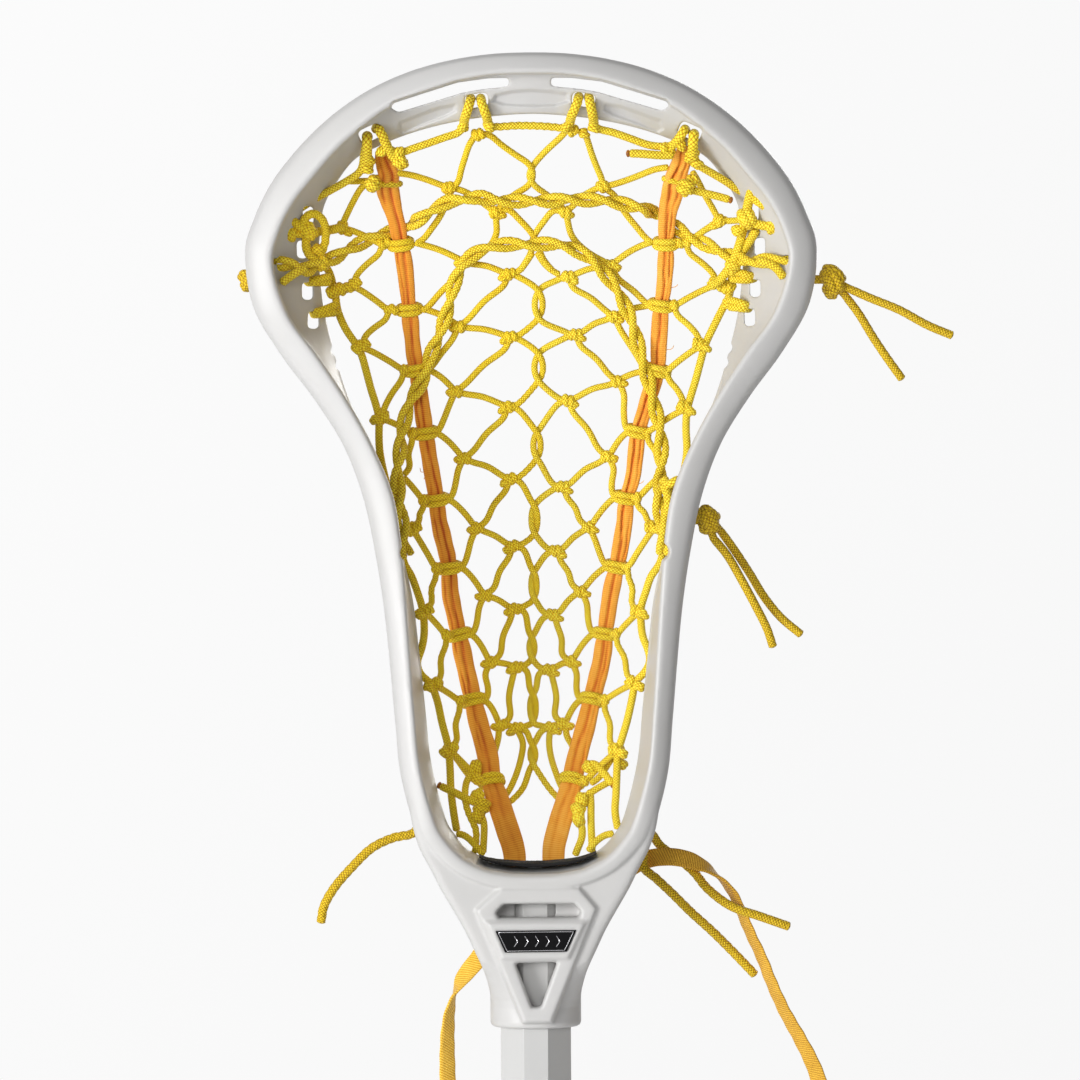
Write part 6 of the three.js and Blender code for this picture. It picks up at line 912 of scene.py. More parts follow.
# The two straps are the same orange. The left copy is lighter, as painted light, and the right copy is darker, as
# painted shade.
strap_lit_copy_left = woven("strap_orange_painted_light_left", srgb(204, 148, 14), srgb(240, 186, 44), srgb(252, 208, 84), 3.2, 6.6, rib=True)
strap_shaded_copy_right = woven("strap_orange_painted_shade_right", srgb(178, 124, 12), srgb(212, 158, 28), srgb(230, 180, 52), 3.2, 6.6, rib=True)
burnt_mat, _nt, _b = material("burnt_tip", srgb(150, 84, 8), 0.4)
_n = noise(_nt, 900)
_r = ramp(_nt, _n.outputs["Fac"], [(0.3, srgb(110, 54, 4)), (0.7, srgb(196, 124, 16))])
link(_nt, _r.outputs["Color"], _b.inputs["Base Color"])

SIDE = {"left": lace_left, "right": lace_right}
body = "stick"


def finish_piece(o, nodes, on="stick"):
    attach(o, on)
    if nodes:
        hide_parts(*nodes)
    return o


for name, t in TAILS.items():
    g = Parts()
    P = g.tube(t["pts"], t["r"] * 1.12, ring=14, ds=0.3, braid=0.1)
    d = (P[-1] - P[-4]) / np.linalg.norm(P[-1] - P[-4])
    g.tube([(P[-1] - d * 1.1).tolist(), (P[-1] - d * 0.3).tolist(), (P[-1] + d * 0.45).tolist()], t["r"] * 1.26, ring=14, ds=0.1, braid=0.02)
    o = g.make(name + "_cord", lace_tail)
    finish_piece(o, [name])

TWIST = {
    # share of the way along: turn of the strap's face, in degrees
    "left_runner_tail": [(0, 0), (0.14, -4), (0.2, -14), (0.25, -36), (0.28, -74), (0.3, -100), (0.33, -120), (0.38, -136), (0.46, -148), (0.7, -158), (1, -166)],
    "right_runner_tail": [(0, 0), (0.2, 4), (0.28, 14), (0.32, 44), (0.35, 82), (0.375, 108), (0.41, 119), (0.5, 121), (0.62, 127), (0.69, 134), (0.78, 148), (1, 164)],
}
for name, t in STRAPS.items():
    P = spline(t["pts"], 0.5)
    T = np.gradient(P, axis=0)
    T /= np.linalg.norm(T, axis=1)[:, None]
    s = np.concatenate([[0], np.cumsum(np.linalg.norm(np.diff(P, axis=0), axis=1))])
    tw = np.radians(np.interp(s / s[-1], [a for a, _ in TWIST[name]], [b for _, b in TWIST[name]]))
    k = np.hanning(15)
    k /= k.sum()
    tw = np.convolve(np.pad(tw, 7, "edge"), k, "valid")
    Y = np.array([0, 1.0, 0])
    D = Y - T * (T @ Y)[:, None]
    D /= np.linalg.norm(D, axis=1)[:, None]
    W = np.cross(T, D)
    Wd = W * np.cos(tw)[:, None] + D * np.sin(tw)[:, None]
    Td = np.cross(Wd, T)
    n = 30
    ph = np.linspace(0, 2 * math.pi, n, endpoint=False)
    cx = np.sign(np.cos(ph)) * np.abs(np.cos(ph)) ** 0.55
    cy = np.sign(np.sin(ph)) * np.abs(np.sin(ph)) ** 0.75
    w, th = t["w"] * 1.14, 0.72
    ridge = 1 + 0.05 * np.cos(6 * math.pi * cx)
    R = P[:, None] + (w * cx)[None, :, None] * Wd[:, None] + (th * cy * ridge)[None, :, None] * Td[:, None]
    wob = 0.12 * np.sin(s * 0.9)[:, None, None] * (cx**2)[None, :, None] * Td[:, None]
    g = Parts()
    at = np.stack([np.broadcast_to(cx * w, R.shape[:2]), np.broadcast_to(cy, R.shape[:2]), np.broadcast_to(s[:, None], R.shape[:2])], -1)
    g.rings(R + wob, at)
    o = g.make(name + "_strap", strap_lit_copy_left if name[0] == "l" else strap_shaded_copy_right)
    finish_piece(o, [name])

# ---- head ----------------------------------------------------------------------------------
def rim_section(s, side):
    ox, oz, ix, iz, rx, rz, yf, yb = s
    ex, ez = ox - ix, oz - iz
    w = math.hypot(ex, ez)
    ux, uz = ex / w, ez / w
    at = lambda bx, bz, d, y: np.array([side * (bx + ux * d), y, bz + uz * d])
    k = min(max((iz - 88) / 40, 0), 1)
    p6 = at(ix, iz, (0.03 + 0.09 * k) * w, yf + 8.5)
    p8 = at(rx, rz, 0.25 + 0.55 * k, yb - 6.5)
    p7 = (p6 + p8) / 2
    p15 = p7 + np.array([side * ux * 3, 0, uz * 3])
    q = min(max((iz - 62) / 28, 0), 1)
    return np.array([
        at(ox, oz, 0, yf + 5.5 + 2.2 * q), at(ox, oz, -0.09 * w, yf + 1.8 + 2.5 * q), at(ox, oz, -0.28 * w, yf + 0.25 + 2.0 * q),
        at(ix, iz, 0.28 * w, yf + 0.3 * q), at(ix, iz, 0.07 * w, yf + 1.3 - 0.8 * q), at(ix, iz, 0, yf + 4.5 - 1.2 * q),
        p6, p7, p8, at(rx, rz, 0, yb - 4), at(rx, rz, 0.3, yb - 0.6), at(rx, rz, 1.2, yb), at(rx, rz, 4, yb),
        at(rx, rz, 4.8, yb - 1.5), at(rx, rz, 4.8, yb - 5.5), p15, at(ix, iz, 0.6 * w, yf + 9.5 + 1.5 * q)])


def cyclic(A, n):
    """Smooth closed curve through rows of A, n samples, evenly by index."""
    m = len(A)
    t = np.linspace(0, m, n, endpoint=False)
    i = np.floor(t).astype(int)
    f = (t - i)
    sh = (len(t),) + (1,) * (A.ndim - 1)
    f = f.reshape(sh)
    p0, p1, p2, p3 = A[(i - 1) % m], A[i % m], A[(i + 1) % m], A[(i + 2) % m]
    return 0.5 * (2 * p1 + (p2 - p0) * f + (2 * p0 - 5 * p1 + 4 * p2 - p3) * f**2 + (3 * p1 - p0 - 3 * p2 + p3) * f**3)


loop = np.array([rim_section(s, 1) for s in RIM] + [rim_section(s, -1) for s in RIM[1:-1][::-1]])
loop = cyclic(loop, 416)
loop = np.swapaxes(cyclic(np.swapaxes(loop, 0, 1), 68), 0, 1)
_m, _k = loop.shape[:2]
_f = [(i * _k + j, i * _k + (j + 1) % _k, ((i + 1) % _m) * _k + (j + 1) % _k, ((i + 1) % _m) * _k + j) for i in range(_m) for j in range(_k)]
head = fix_normals(mesh_object("head_shell", loop.reshape(-1, 3), _f))

side = [[16.4, 8], [16.5, 12], [17.2, 15.8], [18.9, 21.6], [22.2, 28.8], [25.6, 36], [29.7, 43.2], [33.9, 50.4],
        [37.5, 57.6], [41.3, 64.8], [43.7, 72], [45, 79]]
side = [[float(p[0]), float(p[2])] for p in spline([[q[0], 0, q[1]] for q in side], 1.4)]
outline = side + [[42, 84], [33, 78], [-33, 78], [-42, 84]] + [[-p[0], p[1]] for p in side][::-1]
def mouth_ring(ix, iz, d):
    m = [[s[ix] + d + min(max((s[iz] - 58) / 20, 0), 1) * 1.1, s[iz]] for s in RIM if s[5] < 120]
    return m + [[36, 130], [-36, 130]] + [[-p[0], p[1]] for p in m[1:]][::-1]


def loft_y(levels, name="cut"):
    """Closed solid through outlines of equal length at rising depths."""
    n = len(levels[0][1])
    v, f = [], []
    for y, o_ in levels:
        v += [(p[0], y, p[1]) for p in o_]
    for j in range(len(levels) - 1):
        f += [(j * n + i, (j + 1) * n + i, (j + 1) * n + (i + 1) % n, j * n + (i + 1) % n) for i in range(n)]
    e = (len(levels) - 1) * n
    f += [tuple(range(n)), tuple(range(e + n - 1, e - 1, -1))]
    return fix_normals(mesh_object(name, v, f))


def loft_z(levels, name="cut"):
    """Closed solid through rounded sections: height, half width, front and back half depth, squareness."""
    n, v, f = 96, [], []
    for z, a, bf, bb, q in levels:
        for i in range(n):
            t = 2 * math.pi * i / n
            c, s_ = math.cos(t), math.sin(t)
            x = a * math.copysign(abs(c) ** (2 / q), c)
            y = (bb if s_ > 0 else bf) * math.copysign(abs(s_) ** (2 / q), s_)
            v.append((x, y, z))
    for j in range(len(levels) - 1):
        f += [(j * n + i, j * n + (i + 1) % n, (j + 1) * n + (i + 1) % n, (j + 1) * n + i) for i in range(n)]
    e = (len(levels) - 1) * n
    f += [tuple(range(n))[::-1], tuple(range(e, e + n))]
    return fix_normals(mesh_object(name, v, f))


throat = prism_y(outline, -19, 16.5, "throat")
_bm = bmesh.new()
_bm.from_mesh(throat.data)
_e = [e for e in _bm.edges if all(abs(v.co.y + 0.019) < 1e-5 and v.co.z < 0.0795 for v in e.verts) and abs(e.verts[0].co.z - e.verts[1].co.z) > 1e-5]
bmesh.ops.bevel(_bm, geom=_e, offset=0.0052, segments=8, profile=0.62, affect="EDGES", clamp_overlap=True)
_bm.to_mesh(throat.data)
_bm.free()
fix_normals(throat)
boolean(throat, loft_y([(-40, mouth_ring(2, 3, 0.0)), (-13, mouth_ring(2, 3, 0.4)), (14, mouth_ring(4, 5, 0.4)), (40, mouth_ring(4, 5, 0.4))]), "DIFFERENCE")
boolean(throat, loft_z([(7.0, 16.45, 16.45, 16.45, 2.0), (10, 16.7, 16.8, 16.5, 2.2), (14, 17.6, 17.6, 16.8, 2.7), (19, 19.6, 18.7, 17.4, 3.6),
                        (25, 24, 20.2, 19, 5.0), (33, 34, 24, 24, 6.0), (50, 60, 40, 40, 6.0), (95, 90, 60, 60, 6.0)]), "INTERSECT")
for k in (1, -1):
    boolean(throat, loft_y([(-15.5, [[k * 47, 56], [k * 46.5, 92], [k * 70, 92], [k * 70, 56]]), (-10, [[k * 45, 56], [k * 39.2, 92], [k * 70, 92], [k * 70, 56]]),
                            (18, [[k * 41.5, 56], [k * 37.0, 92], [k * 70, 92], [k * 70, 56]])]), "DIFFERENCE")
boolean(head, throat, "UNION")
prof = [[15.2, 0], [16.1, 0.5], [16.5, 1.6], [16.5, 15], [15.6, 16]]
cv, cf = [], []
for r, z in prof:
    for i in range(72):
        a = 2 * math.pi * i / 72
        cv.append((r * math.cos(a), r * math.sin(a), z))
for j in range(len(prof) - 1):
    for i in range(72):
        cf.append((j * 72 + i, j * 72 + (i + 1) % 72, (j + 1) * 72 + (i + 1) % 72, (j + 1) * 72 + i))
cf += [tuple(range(72))[::-1], tuple(range((len(prof) - 1) * 72, len(prof) * 72))]
boolean(head, fix_normals(mesh_object("collar", cv, cf)), "UNION")
def inset(poly, d):
    c = np.mean(poly, 0)
    q = np.array(poly, float)
    out = []
    for i in range(len(q)):
        a, b2, e = q[i - 1], q[i], q[(i + 1) % len(q)]
        n1 = np.array([-(b2 - a)[1], (b2 - a)[0]]) / np.linalg.norm(b2 - a)
        n2 = np.array([-(e - b2)[1], (e - b2)[0]]) / np.linalg.norm(e - b2)
        if n1 @ (c - b2) < 0:
            n1, n2 = -n1, -n2
        m = n1 + n2
        out.append((b2 + m / (m @ m) * 2 * d).tolist())
    return out


SH = [[-12.7, 51.5], [16.2, 51.5], [22.8, 43.8], [6, 2.4], [-4.6, 2.2], [-21.8, 43.4]]
boolean(head, loft_y([(-21, inset(SH, 1.1)), (-19.2, inset(SH, 0.0)), (-10, inset(SH, -0.6))]), "UNION")
W1 = [[-11.3, 45.3], [14.2, 45.3], [16.4, 42.6], [15.9, 40.4], [-13.1, 40.4], [-14, 42.5]]
W2 = [[-7.2, 24.1], [7.9, 24.4], [1.9, 8.3], [-1.4, 8.1]]
SE = [[-18.9, 39.8], [19.5, 39.8], [12.5, 24.8], [-12.6, 24.8]]
boolean(head, loft_y([(-22.6, inset(SE, 1.5)), (-20.9, inset(SE, 0.0)), (-12, inset(SE, 0.0))]), "UNION")
for tool in (
    prism_z(octagon(26.1, 9.0), -2, 46.6),
    loft_y([(-30, inset(W1, -1.0)), (-21.3, inset(W1, -0.8)), (-19.4, inset(W1, 0.0)), (-10.6, inset(W1, 0.0))]),
    loft_y([(-30, inset(W2, -0.9)), (-21.3, inset(W2, -0.7)), (-19.4, inset(W2, 0.0)), (-8.0, inset(W2, 0.0))]),
    prism_y([[-14.7, 36.2], [15.2, 36.4], [11.6, 28], [-11.2, 27.8]], -24.6, -21.9),
):
    boolean(head, tool, "DIFFERENCE")
slot = [[7.7, 342.9], [7.7, 340], [18, 339], [24.5, 337.9], [33, 335.4], [47.5, 331.2], [50.2, 332.5], [49.4, 334.2],
        [38.5, 337.6], [26, 341.4], [15, 342.8]]
for k in (1, -1):
    boolean(head, prism_y([[k * p[0], p[1]] for p in slot], -45, 10), "DIFFERENCE")


def rounded(cx, cz, w, h, r, deg, y0, y1):
    pts = []
    for sx, sz, a0 in ((1, 1, 0), (-1, 1, 90), (-1, -1, 180), (1, -1, 270)):
        for i in range(6):
            a = math.radians(a0 + 18 * i)
            pts.append((sx * (w / 2 - r) + r * math.cos(a), sz * (h / 2 - r) + r * math.sin(a)))
    c, s = math.cos(math.radians(deg)), math.sin(math.radians(deg))
    return prism_y([[cx + x * c + z * s, cz - x * s + z * c] for x, z in pts], y0, y1)


for x, z, t in ((19.3, 335.2, 8), (57.8, 323.9, 25)):
    for k in (1, -1):
        boolean(head, rounded(k * x, z, 8.4, 4.6, 1.4, k * t, -45, 40), "DIFFERENCE")
for x, z in ((80.9, 295), (83.3, 282.6), (81.6, 267.6), (79.6, 257)):
    for k in (1, -1):
        boolean(head, rounded(k * x, z, 3.6, 6.4, 1.2, 0, -45, 40), "DIFFERENCE")
for x in (-7.4, 6.8):
    boolean(head, prism_z([[x - 4.3, 17.2], [x + 4.3, 17.2], [x + 4.3, 21.3], [x - 4.3, 21.3]], 44, 62), "DIFFERENCE")
for k in (1, -1):
    boolean(head, prism_y([[k * 18.2, 30], [k * 18.2, 51.5], [k * 31.5, 51.5]], -12, 17), "DIFFERENCE")
_c = [[2 * math.cos(a), 8 + 2 * math.sin(a)] for a in np.linspace(0, 2 * math.pi, 24, endpoint=False)]
boolean(head, prism_y(_c, 11, 23), "DIFFERENCE")
for x0, z0 in ((-46.2, 171.9), (47.6, 171.9)):
    k = 1 if x0 > 0 else -1
    _c = [[x0 + 4.2 * math.cos(a) - k * 2.4, z0 + 3.4 * math.sin(a)] for a in np.linspace(0, 2 * math.pi, 32, endpoint=False)]
    boolean(head, prism_y(_c, -45, 40), "DIFFERENCE")
for k in (1, -1):
    boolean(head, loft_y([(-13, [[k * 79, 276.2], [k * 79, 277.4], [k * 94, 279.0], [k * 94, 276.8]]), (9, [[k * 79, 276.2], [k * 79, 277.4], [k * 94, 279.0], [k * 94, 276.8]])]), "DIFFERENCE")
rm = head.modifiers.new("r", "REMESH")
rm.mode = "VOXEL"
rm.voxel_size = 0.00053
evaluated(head)
sm = head.modifiers.new("s", "SMOOTH")
sm.factor, sm.iterations = 0.5, 4
evaluated(head)
def inside_depth(pts, poly):
    """Distance from each point to the outline, positive inside."""
    poly = np.array(poly, float)
    d = np.full(len(pts), 1e9)
    ins = np.zeros(len(pts), bool)
    for a, b2 in zip(poly, np.roll(poly, -1, 0)):
        ab = b2 - a
        t = np.clip(((pts - a) @ ab) / (ab @ ab), 0, 1)
        d = np.minimum(d, np.linalg.norm(pts - (a + t[:, None] * ab), axis=1))
        cr = ((a[1] > pts[:, 1]) != (b2[1] > pts[:, 1])) & (pts[:, 0] < (b2[0] - a[0]) * (pts[:, 1] - a[1]) / (b2[1] - a[1] + 1e-12) + a[0])
        ins ^= cr
    return np.where(ins, d, -d)


_n = len(head.data.vertices)
_co = np.zeros(_n * 3, np.float32)
_no = np.zeros(_n * 3, np.float32)
head.data.vertices.foreach_get("co", _co)
head.data.vertices.foreach_get("normal", _no)
_co, _no = _co.reshape(-1, 3), _no.reshape(-1, 3)
_xz = _co[:, [0, 2]].astype(float) / MM
RECESS = [
    [[-12.8, 337.6], [-14.6, 334.4], [-9.5, 332.9], [-3, 332.5], [3, 332.4], [9.5, 332.7], [15.2, 334.2], [13.8, 337.8], [8, 338.7], [0, 339.2], [-7, 338.8]],
    [[-26.4, 334.4], [-26.0, 331.2], [-30, 329.2], [-38, 326.4], [-46.4, 323.0], [-48.8, 324.8], [-47.6, 328.2], [-40, 331.0], [-33, 333.4]],
    [[26.4, 334.4], [26.0, 331.2], [30, 329.2], [38, 326.4], [46.4, 323.0], [48.8, 324.8], [47.6, 328.2], [40, 331.0], [33, 333.4]],
]
for _poly in RECESS:
    _d = inside_depth(_xz, _poly)
    _w = np.clip(_d / 1.5, 0, 1)
    _w = _w * _w * (3 - 2 * _w) * (_no[:, 1] < 0.15)
    _co[:, 1] += (1.7 * MM * _w).astype(np.float32)
for _x, _z in ((72.2, 246.2), (70.7, 240.8), (-72.2, 246.2), (-70.7, 240.8)):
    _d = np.sqrt(((_xz[:, 0] - _x) / 0.8) ** 2 + ((_xz[:, 1] - _z) / 1.4) ** 2)
    _w = np.clip(1.6 - _d, 0, 1) * (np.abs(_no[:, 0]) > 0.3) * (_no[:, 0] * _x < 0)
    _co[:, 0] += (np.sign(_x) * 0.9 * MM * _w).astype(np.float32)
head.data.vertices.foreach_set("co", _co.ravel())
head.data.update()
head.data.polygons.foreach_set("use_smooth", [True] * len(head.data.polygons))
paint(head, head_mat)
finish_piece(head, ["head"])

# ---- badge plate: plain plate with a thin bright outline and a row of chevrons ---------------
PL = [[-14.3, 35.9], [14.8, 36.1], [11.3, 28.3], [-10.9, 28.1]]
plate = prism_y(PL, -23.0, -22.2, "badge_plate_detail")
bv = plate.modifiers.new("b", "BEVEL")
bv.width, bv.segments = 0.00025, 3
evaluated(plate)
paint(plate, badge_mat)
finish_piece(plate, ["badge_plate"])
g = Parts()
c = np.mean(PL, 0)
edge = [[c[0] + (p[0] - c[0]) * 0.93, -23.02, c[1] + (p[1] - c[1]) * 0.86] for p in PL]
for a, b2 in zip(edge, edge[1:] + edge[:1]):
    g.tube(np.linspace(a, b2, 30), 0.16, ring=8, raw=True, braid=0, taper=False)
for i in range(5):
    x = -7.6 + i * 3.8
    g.tube(np.array([[x, -23.02, 34.0], [x + 1.3, -23.02, 32.1], [x, -23.02, 30.2]])[[0, 1, 2]], 0.22, ring=8, raw=True, braid=0, taper=False)
o = g.make("badge_lines", chrome_mat)
finish_piece(o, [])

# ---- ball stop -------------------------------------------------------------------------------
lip = [[s[4], s[5]] for s in RIM if s[4] < 26 and s[5] < 100]


def offset_up(l, d):
    out = []
    for i, p in enumerate(l):
        a, b2 = l[max(i - 1, 0)], l[min(i + 1, len(l) - 1)]
        tx, tz = b2[0] - a[0], b2[1] - a[1]
        if i == 0:
            tz = 0
        m = math.hypot(tx, tz)
        out.append([p[0] - tz / m * d, p[1] + tx / m * d])
    return out


full = [[-p[0], p[1]] for p in lip[1:]][::-1] + lip
line = spline([[p[0], 0, p[1]] for p in full], 0.5)
line = line[(line[:, 0] > -20.6) & (line[:, 0] < 22.6)]
T = np.gradient(line, axis=0)
T /= np.linalg.norm(T, axis=1)[:, None]
up = np.stack([-T[:, 2], np.zeros(len(T)), T[:, 0]], 1)
ph = np.linspace(0, 2 * math.pi, 64, endpoint=False)
sx = np.sign(np.cos(ph)) * np.abs(np.cos(ph)) ** 0.2 * 10.4 + 1.6
sy = (np.sign(np.sin(ph)) * np.abs(np.sin(ph)) ** 0.5 + 1) / 2
e = np.linspace(-1, 1, len(line))
_rs = np.random.RandomState(3)
_w = np.convolve(_rs.normal(0, 1, len(line) + 4), np.ones(5) / 5, "valid")
thick = 1.45 * np.clip(1 - np.abs(e) ** 2.4, 0.22, 1) ** 0.8 * (1 + 0.22 * _w * (np.abs(e) > 0.74))
R = line[:, None] + (0.3 + thick[:, None] * sy[None])[..., None] * up[:, None] + sx[None, :, None] * np.array([0, 1, 0])[None, None]
rag = _rs.normal(0, 0.035, R.shape)
g = Parts()
g.rings(R + rag, np.zeros(R.shape))
o = g.make("ball_stop_foam", foam_mat)
fix_normals(o)
finish_piece(o, ["ball_stop_pad"])

# ---- shaft, end cap, screw ---------------------------------------------------------------------
shaft = prism_z(octagon(25.4, 8.7), -725, 45, "shaft_tube")
boolean(shaft, prism_z(octagon(22.4, 7.5), -730, 50), "DIFFERENCE")
boolean(shaft, prism_y([[1.95 * math.cos(a), 8 + 1.95 * math.sin(a)] for a in np.linspace(0, 2 * math.pi, 24, endpoint=False)], 8, 16), "DIFFERENCE")
bv = shaft.modifiers.new("b", "BEVEL")
bv.width, bv.segments, bv.limit_method, bv.angle_limit = 0.0016, 8, "ANGLE", math.radians(30)
evaluated(shaft)
shaft.data.polygons.foreach_set("use_smooth", [False] * len(shaft.data.polygons))
paint(shaft, shaft_mat)
finish_piece(shaft, ["shaft"])

cz = -729.35
cap = prism_z(octagon(30.6, 10.6), cz, cz + 42, "end_cap_rubber")
boolean(cap, prism_z(octagon(26.1, 9.0), cz + 4, cz + 44), "DIFFERENCE")
for i in range(5):
    z = cz + 12 + i * 5.2
    ring_ = prism_z(octagon(34, 13), z, z + 1.5)
    boolean(ring_, prism_z(octagon(29.6, 10.2), z - 1, z + 3), "DIFFERENCE")
    boolean(cap, ring_, "DIFFERENCE")
bv = cap.modifiers.new("b", "BEVEL")
bv.width, bv.segments, bv.limit_method, bv.angle_limit = 0.0006, 3, "ANGLE", math.radians(30)
evaluated(cap)
cap.data.polygons.foreach_set("use_smooth", [False] * len(cap.data.polygons))
paint(cap, rubber_mat)
finish_piece(cap, ["end_cap"], "butt_cap")

prof = [[0.01, 18.9], [1.9, 18.9], [2.6, 18.7], [3.2, 18.2], [3.5, 17.4], [3.5, 16.9], [1.6, 16.9], [1.6, 10.2], [0.01, 9.4]]
cv, cf = [], []
for r, y in prof:
    for i in range(48):
        a = 2 * math.pi * i / 48
        cv.append((r * math.cos(a), y, 8 + r * math.sin(a)))
for j in range(len(prof) - 1):
    for i in range(48):
        cf.append((j * 48 + i, j * 48 + (i + 1) % 48, (j + 1) * 48 + (i + 1) % 48, (j + 1) * 48 + i))
cf += [tuple(range(48)), tuple(range((len(prof) - 1) * 48, len(prof) * 48))[::-1]]
screw = fix_normals(mesh_object("head_screw_detail", cv, cf))
boolean(screw, prism_y([[1.25 * math.cos(a), 8 + 1.25 * math.sin(a)] for a in np.linspace(0, 2 * math.pi, 6, endpoint=False)], 17.6, 20), "DIFFERENCE")
screw.data.polygons.foreach_set("use_smooth", [False] * len(screw.data.polygons))
paint(screw, steel_mat)
finish_piece(screw, ["head_screw"])

# ---- runners: folded strips with lengthwise grooves --------------------------------------------
for name, mat_ in (("left_runner", runner_left), ("right_runner", runner_right)):
    P = spline(RUNNER_LINES[name], 0.5)
    T = np.gradient(P, axis=0)
    T /= np.linalg.norm(T, axis=1)[:, None]
    s = np.concatenate([[0], np.cumsum(np.linalg.norm(np.diff(P, axis=0), axis=1))])
    X = np.array([1.0, 0, 0])
    W = X - T * (T @ X)[:, None]
    W /= np.linalg.norm(W, axis=1)[:, None]
    D = np.cross(T, W)
    z = P[:, 2]
    hw = np.interp(z, [50, 60, 70, 92, 130, 200, 280, 297, 303, 309, 313, 316, 318], [3.5, 4.1, 4.3, 3.9, 3.2, 2.9, 2.95, 3.4, 4.1, 4.2, 3.8, 3.1, 2.2])
    for _c, _t, _q in WRAPS[name.replace("runner", "outer_lace")]:
        hw = hw * (1 - 0.13 * np.exp(-(((z - _c[2]) / 2.6) ** 2)) + 0.05 * np.exp(-(((z - _c[2] + 8) / 6) ** 2)))
    thk = np.interp(z, [50, 60, 120, 300, 307, 313, 316.5], [1.35, 1.4, 1.6, 1.65, 2.5, 2.3, 1.1])
    n = 56
    ph = np.linspace(0, 2 * math.pi, n, endpoint=False)
    cx = np.sign(np.cos(ph)) * np.abs(np.cos(ph)) ** 0.7
    cy = np.sign(np.sin(ph)) * np.abs(np.sin(ph)) ** 0.6
    sd = 1 if name[0] == "l" else -1
    c1 = 0.12 * sd + 0.14 * np.sin(s * 0.045 + 1.1 * sd) + 0.05 * np.sin(s * 0.21)
    c2 = -0.52 * sd + 0.07 * np.sin(s * 0.08 + 2)
    rs = np.random.RandomState(11 if sd > 0 else 12)
    wv = lambda q: np.convolve(np.pad(rs.normal(0, 1, len(s)), q, "wrap"), np.hanning(2 * q + 1) / np.sqrt((np.hanning(2 * q + 1) ** 2).sum()), "valid")
    open_ = np.interp(z, [50, 70, 100, 130], [0.15, 0.3, 0.8, 1.0])
    c1 = c1 + 0.07 * wv(14)
    c2 = c2 + 0.05 * wv(10)
    hw = hw * (1 + 0.035 * wv(12) * open_)
    fold1 = np.exp(-(((cx[None] - c1[:, None]) / 0.13) ** 2)) * open_[:, None]
    fold2 = np.exp(-(((cx[None] - c2[:, None]) / 0.10) ** 2)) * (open_ * (0.5 + 0.5 * np.tanh(wv(16))))[:, None]
    groove = 0.72 * fold1 + 0.5 * fold2
    crown = 1 + 0.10 * wv(9)[:, None] * cx[None]
    yy = thk[:, None] * cy[None] * crown * (1 - groove)
    R = P[:, None] + (hw[:, None] * cx[None])[..., None] * W[:, None] + yy[..., None] * D[:, None]
    g = Parts()
    at = np.stack([hw[:, None] * cx[None], np.broadcast_to(cy, yy.shape), np.broadcast_to(s[:, None], yy.shape)], -1)
    g.rings(R, at)
    o = g.make(name + "_strip", mat_)
    # crease depth stored for the painted shade in the grooves
    crease_shade_layer = o.data.attributes.new("painted_crease_shade", "FLOAT", "POINT")
    _v = np.concatenate([np.clip(groove * 1.25, 0, 1).ravel(), [0, 0]])
    crease_shade_layer.data.foreach_set("value", _v.astype(np.float32))
    fix_normals(o)
    finish_piece(o, [name])

# ---- laces, strings, knots and wraps ---------------------------------------------------------------
NODES = {"upper_shooting_cord": ["upper_shooting_cord_a", "upper_shooting_cord_b"],
         "lower_shooting_cord": ["lower_shooting_cord_a", "lower_shooting_cord_b"]}
for name, rows in STRANDS.items():
    g = Parts()
    for row in rows:
        r, kind, pts = row[0], row[1], row[2]
        if kind == "t":
            rho, pitch, ph0 = row[3:]
            P = spline(pts, 0.4)
            T, N, B = frames(P)
            s = np.concatenate([[0], np.cumsum(np.linalg.norm(np.diff(P, axis=0), axis=1))])
            for k in (0, 1):
                a = 2 * math.pi * s / pitch + ph0 + math.pi * k
                Q = P + rho * (np.cos(a)[:, None] * N + np.sin(a)[:, None] * B)
                g.tube(Q, r, ring=16, raw=True, braid=0.09)
        else:
            g.tube(pts, r * 1.13, ring=12, ds=0.4, smooth=5)
    for c, ax, rho, turns, rt, ln in COILS.get(name, []):
        g.coil(c, ax, rho, turns, rt, ln)
    for c, t, tilt in WRAPS.get(name, []):
        g.ring_wrap(c, t, tilt * 0.5)
    if name == "top_string":
        for c, t in TOPWRAPS:
            g.ring_wrap(c, t, 0.12, a=3.9, b=2.5, r=1.15, turns=(0.35,))
    m = cord_mat if "shooting" in name or name == "top_string" else SIDE.get(name.split("_")[0], lace_mid)
    o = g.make(name + "_braid", m)
    finish_piece(o, NODES.get(name, [name]))

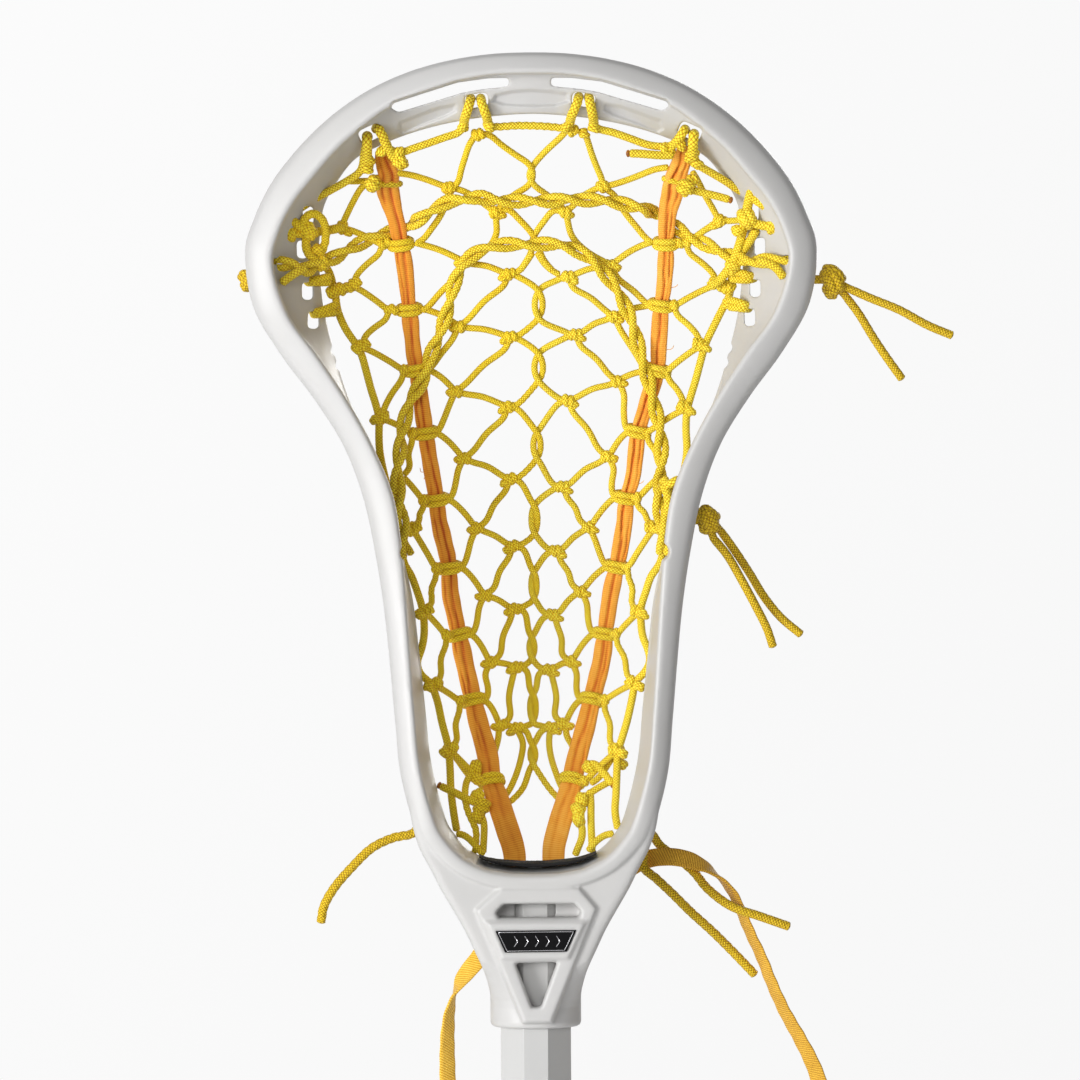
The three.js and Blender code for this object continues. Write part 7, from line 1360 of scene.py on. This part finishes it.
for name, k in TIES.items():
    g = Parts()
    r, c = k["r"], np.array(k["c"], float)
    rt = 1.5 if r > 3.5 else 1.15
    g.coil(c + [0, 0, r * 0.25], (0.45, 0.1, 1), r * 0.6, 2.3, rt, r * 1.0)
    g.coil(c + [0.4, -0.7, -r * 0.1], (1, 0.1, 0.35), r * 0.58, 2.2, rt, r * 1.15)
    g.coil(c + [0.5, 0, -r * 0.6], (-0.3, 0.3, 1), r * 0.5, 2.0, rt, r * 0.9)
    if k["neck"]:
        g.tube([k["neck"], (np.array(k["neck"]) * 0.5 + c * 0.5).tolist(), c.tolist()], k["nr"] * 0.78, ring=12)
        g.tube([(np.array(k["neck"]) + [0, 0.6, -1.1]).tolist(), c.tolist()], k["nr"] * 0.7, ring=12)
    for tn, tt in TAILS.items():
        q = np.array(tt["pts"][0], float)
        if np.linalg.norm(q - c) < 11:
            d = np.array(tt["pts"][1], float) - q
            d /= np.linalg.norm(d)
            g.tube([c.tolist(), ((c + q) / 2 - d * 0.4).tolist(), q.tolist(), (q + d * 1.6).tolist()], tt["r"] * 1.08, ring=12, taper=False)
    o = g.make(name + "_braid", lace_tail)
    finish_piece(o, [name])

# ---- melted tips and loose fibres ------------------------------------------------------------------
for name, t in TIPS.items():
    q, d = np.array(t["at"], float), np.array(t["dir"], float)
    d /= np.linalg.norm(d)
    g = Parts()
    g.tube([(q - d * 0.7).tolist(), q.tolist(), (q + d * 0.9).tolist()], t["r"], ring=14, ds=0.12, braid=0.03)
    o = g.make(name, burnt_mat)
    finish_piece(o, [])
for name, rows in WHISKERS.items():
    g = Parts()
    for w_ in rows:
        g.tube(w_, 0.13, ring=6, ds=0.3, braid=0)
    finish_piece(g.make(name, runner_left if name[0] == "l" else runner_right), [])

# ---- stage and light -----------------------------------------------------------------------------
me = bpy.data.meshes.new("floor")
_f = 7.4, frame_lo[2] - 0.0408  # clear of the end cap when it is slid off
me.from_pydata([(-_f[0], -_f[0], _f[1]), (_f[0], -_f[0], _f[1]), (_f[0], _f[0], _f[1]), (-_f[0], _f[0], _f[1])], [], [(0, 1, 2, 3)])
floor = bpy.data.objects.new("floor", me)
bpy.context.scene.collection.objects.link(floor)
floor_mat, _nt, _b = material("floor", (0.86, 0.86, 0.86), 0.7)
me.materials.append(floor_mat)
floor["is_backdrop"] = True

world = bpy.data.worlds.new("world")
bpy.context.scene.world = world
world.use_nodes = True
bg = world.node_tree.nodes["Background"]
_wt = world.node_tree
_tc = _wt.nodes.new("ShaderNodeTexCoord")
_sp = _wt.nodes.new("ShaderNodeSeparateXYZ")
link(_wt, _tc.outputs["Generated"], _sp.inputs[0])
_bk = _wt.nodes.new("ShaderNodeMapRange")
_bk.interpolation_type = "SMOOTHSTEP"
for _i, _v in enumerate((None, 0.72, 0.93, 0.0, 1.0)):
    if _v is not None:
        _bk.inputs[_i].default_value = _v
link(_wt, _sp.outputs[1], _bk.inputs[0])
_lf = math_node(_wt, "MULTIPLY_ADD", _sp.outputs[0], -0.12, 0.23)
_up = math_node(_wt, "MULTIPLY_ADD", _sp.outputs[2], 0.08, _lf)
_mx = math_node(_wt, "MULTIPLY_ADD", _bk.outputs[0], 0.72, _up)
_mx = math_node(_wt, "MINIMUM", _mx, 1.05)
link(_wt, _mx, bg.inputs["Strength"])
bg.inputs["Color"].default_value = (1, 1, 1, 1)
bpy.context.scene.view_settings.view_transform = "Standard"


def area(name, loc, target, size, power):
    l = bpy.data.lights.new(name, "AREA")
    l.shape, l.size, l.energy = "DISK", size, power
    o = bpy.data.objects.new(name, l)
    bpy.context.scene.collection.objects.link(o)
    o.location = loc
    o.rotation_mode = "QUATERNION"
    o.rotation_quaternion = (Vector(target) - Vector(loc)).to_track_quat("-Z", "Y")
    return o


area("key", (-1.5, -1.35, 0.15), (0, 0, 0.1), 0.9, 31)
area("front", (-0.7, -2.4, 0.6), (0, 0, 0.1), 0.8, 14)
area("top", (-0.3, -0.5, 2.4), (0, 0, 0.15), 1.0, 4)
area("back", (0.9, 2.3, 0.8), (0, 0, 0.1), 1.4, 20)
area("fill", (1.3, -1.9, 0.3), (0, 0, 0.15), 1.4, 3.5)

_lo, _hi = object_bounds()
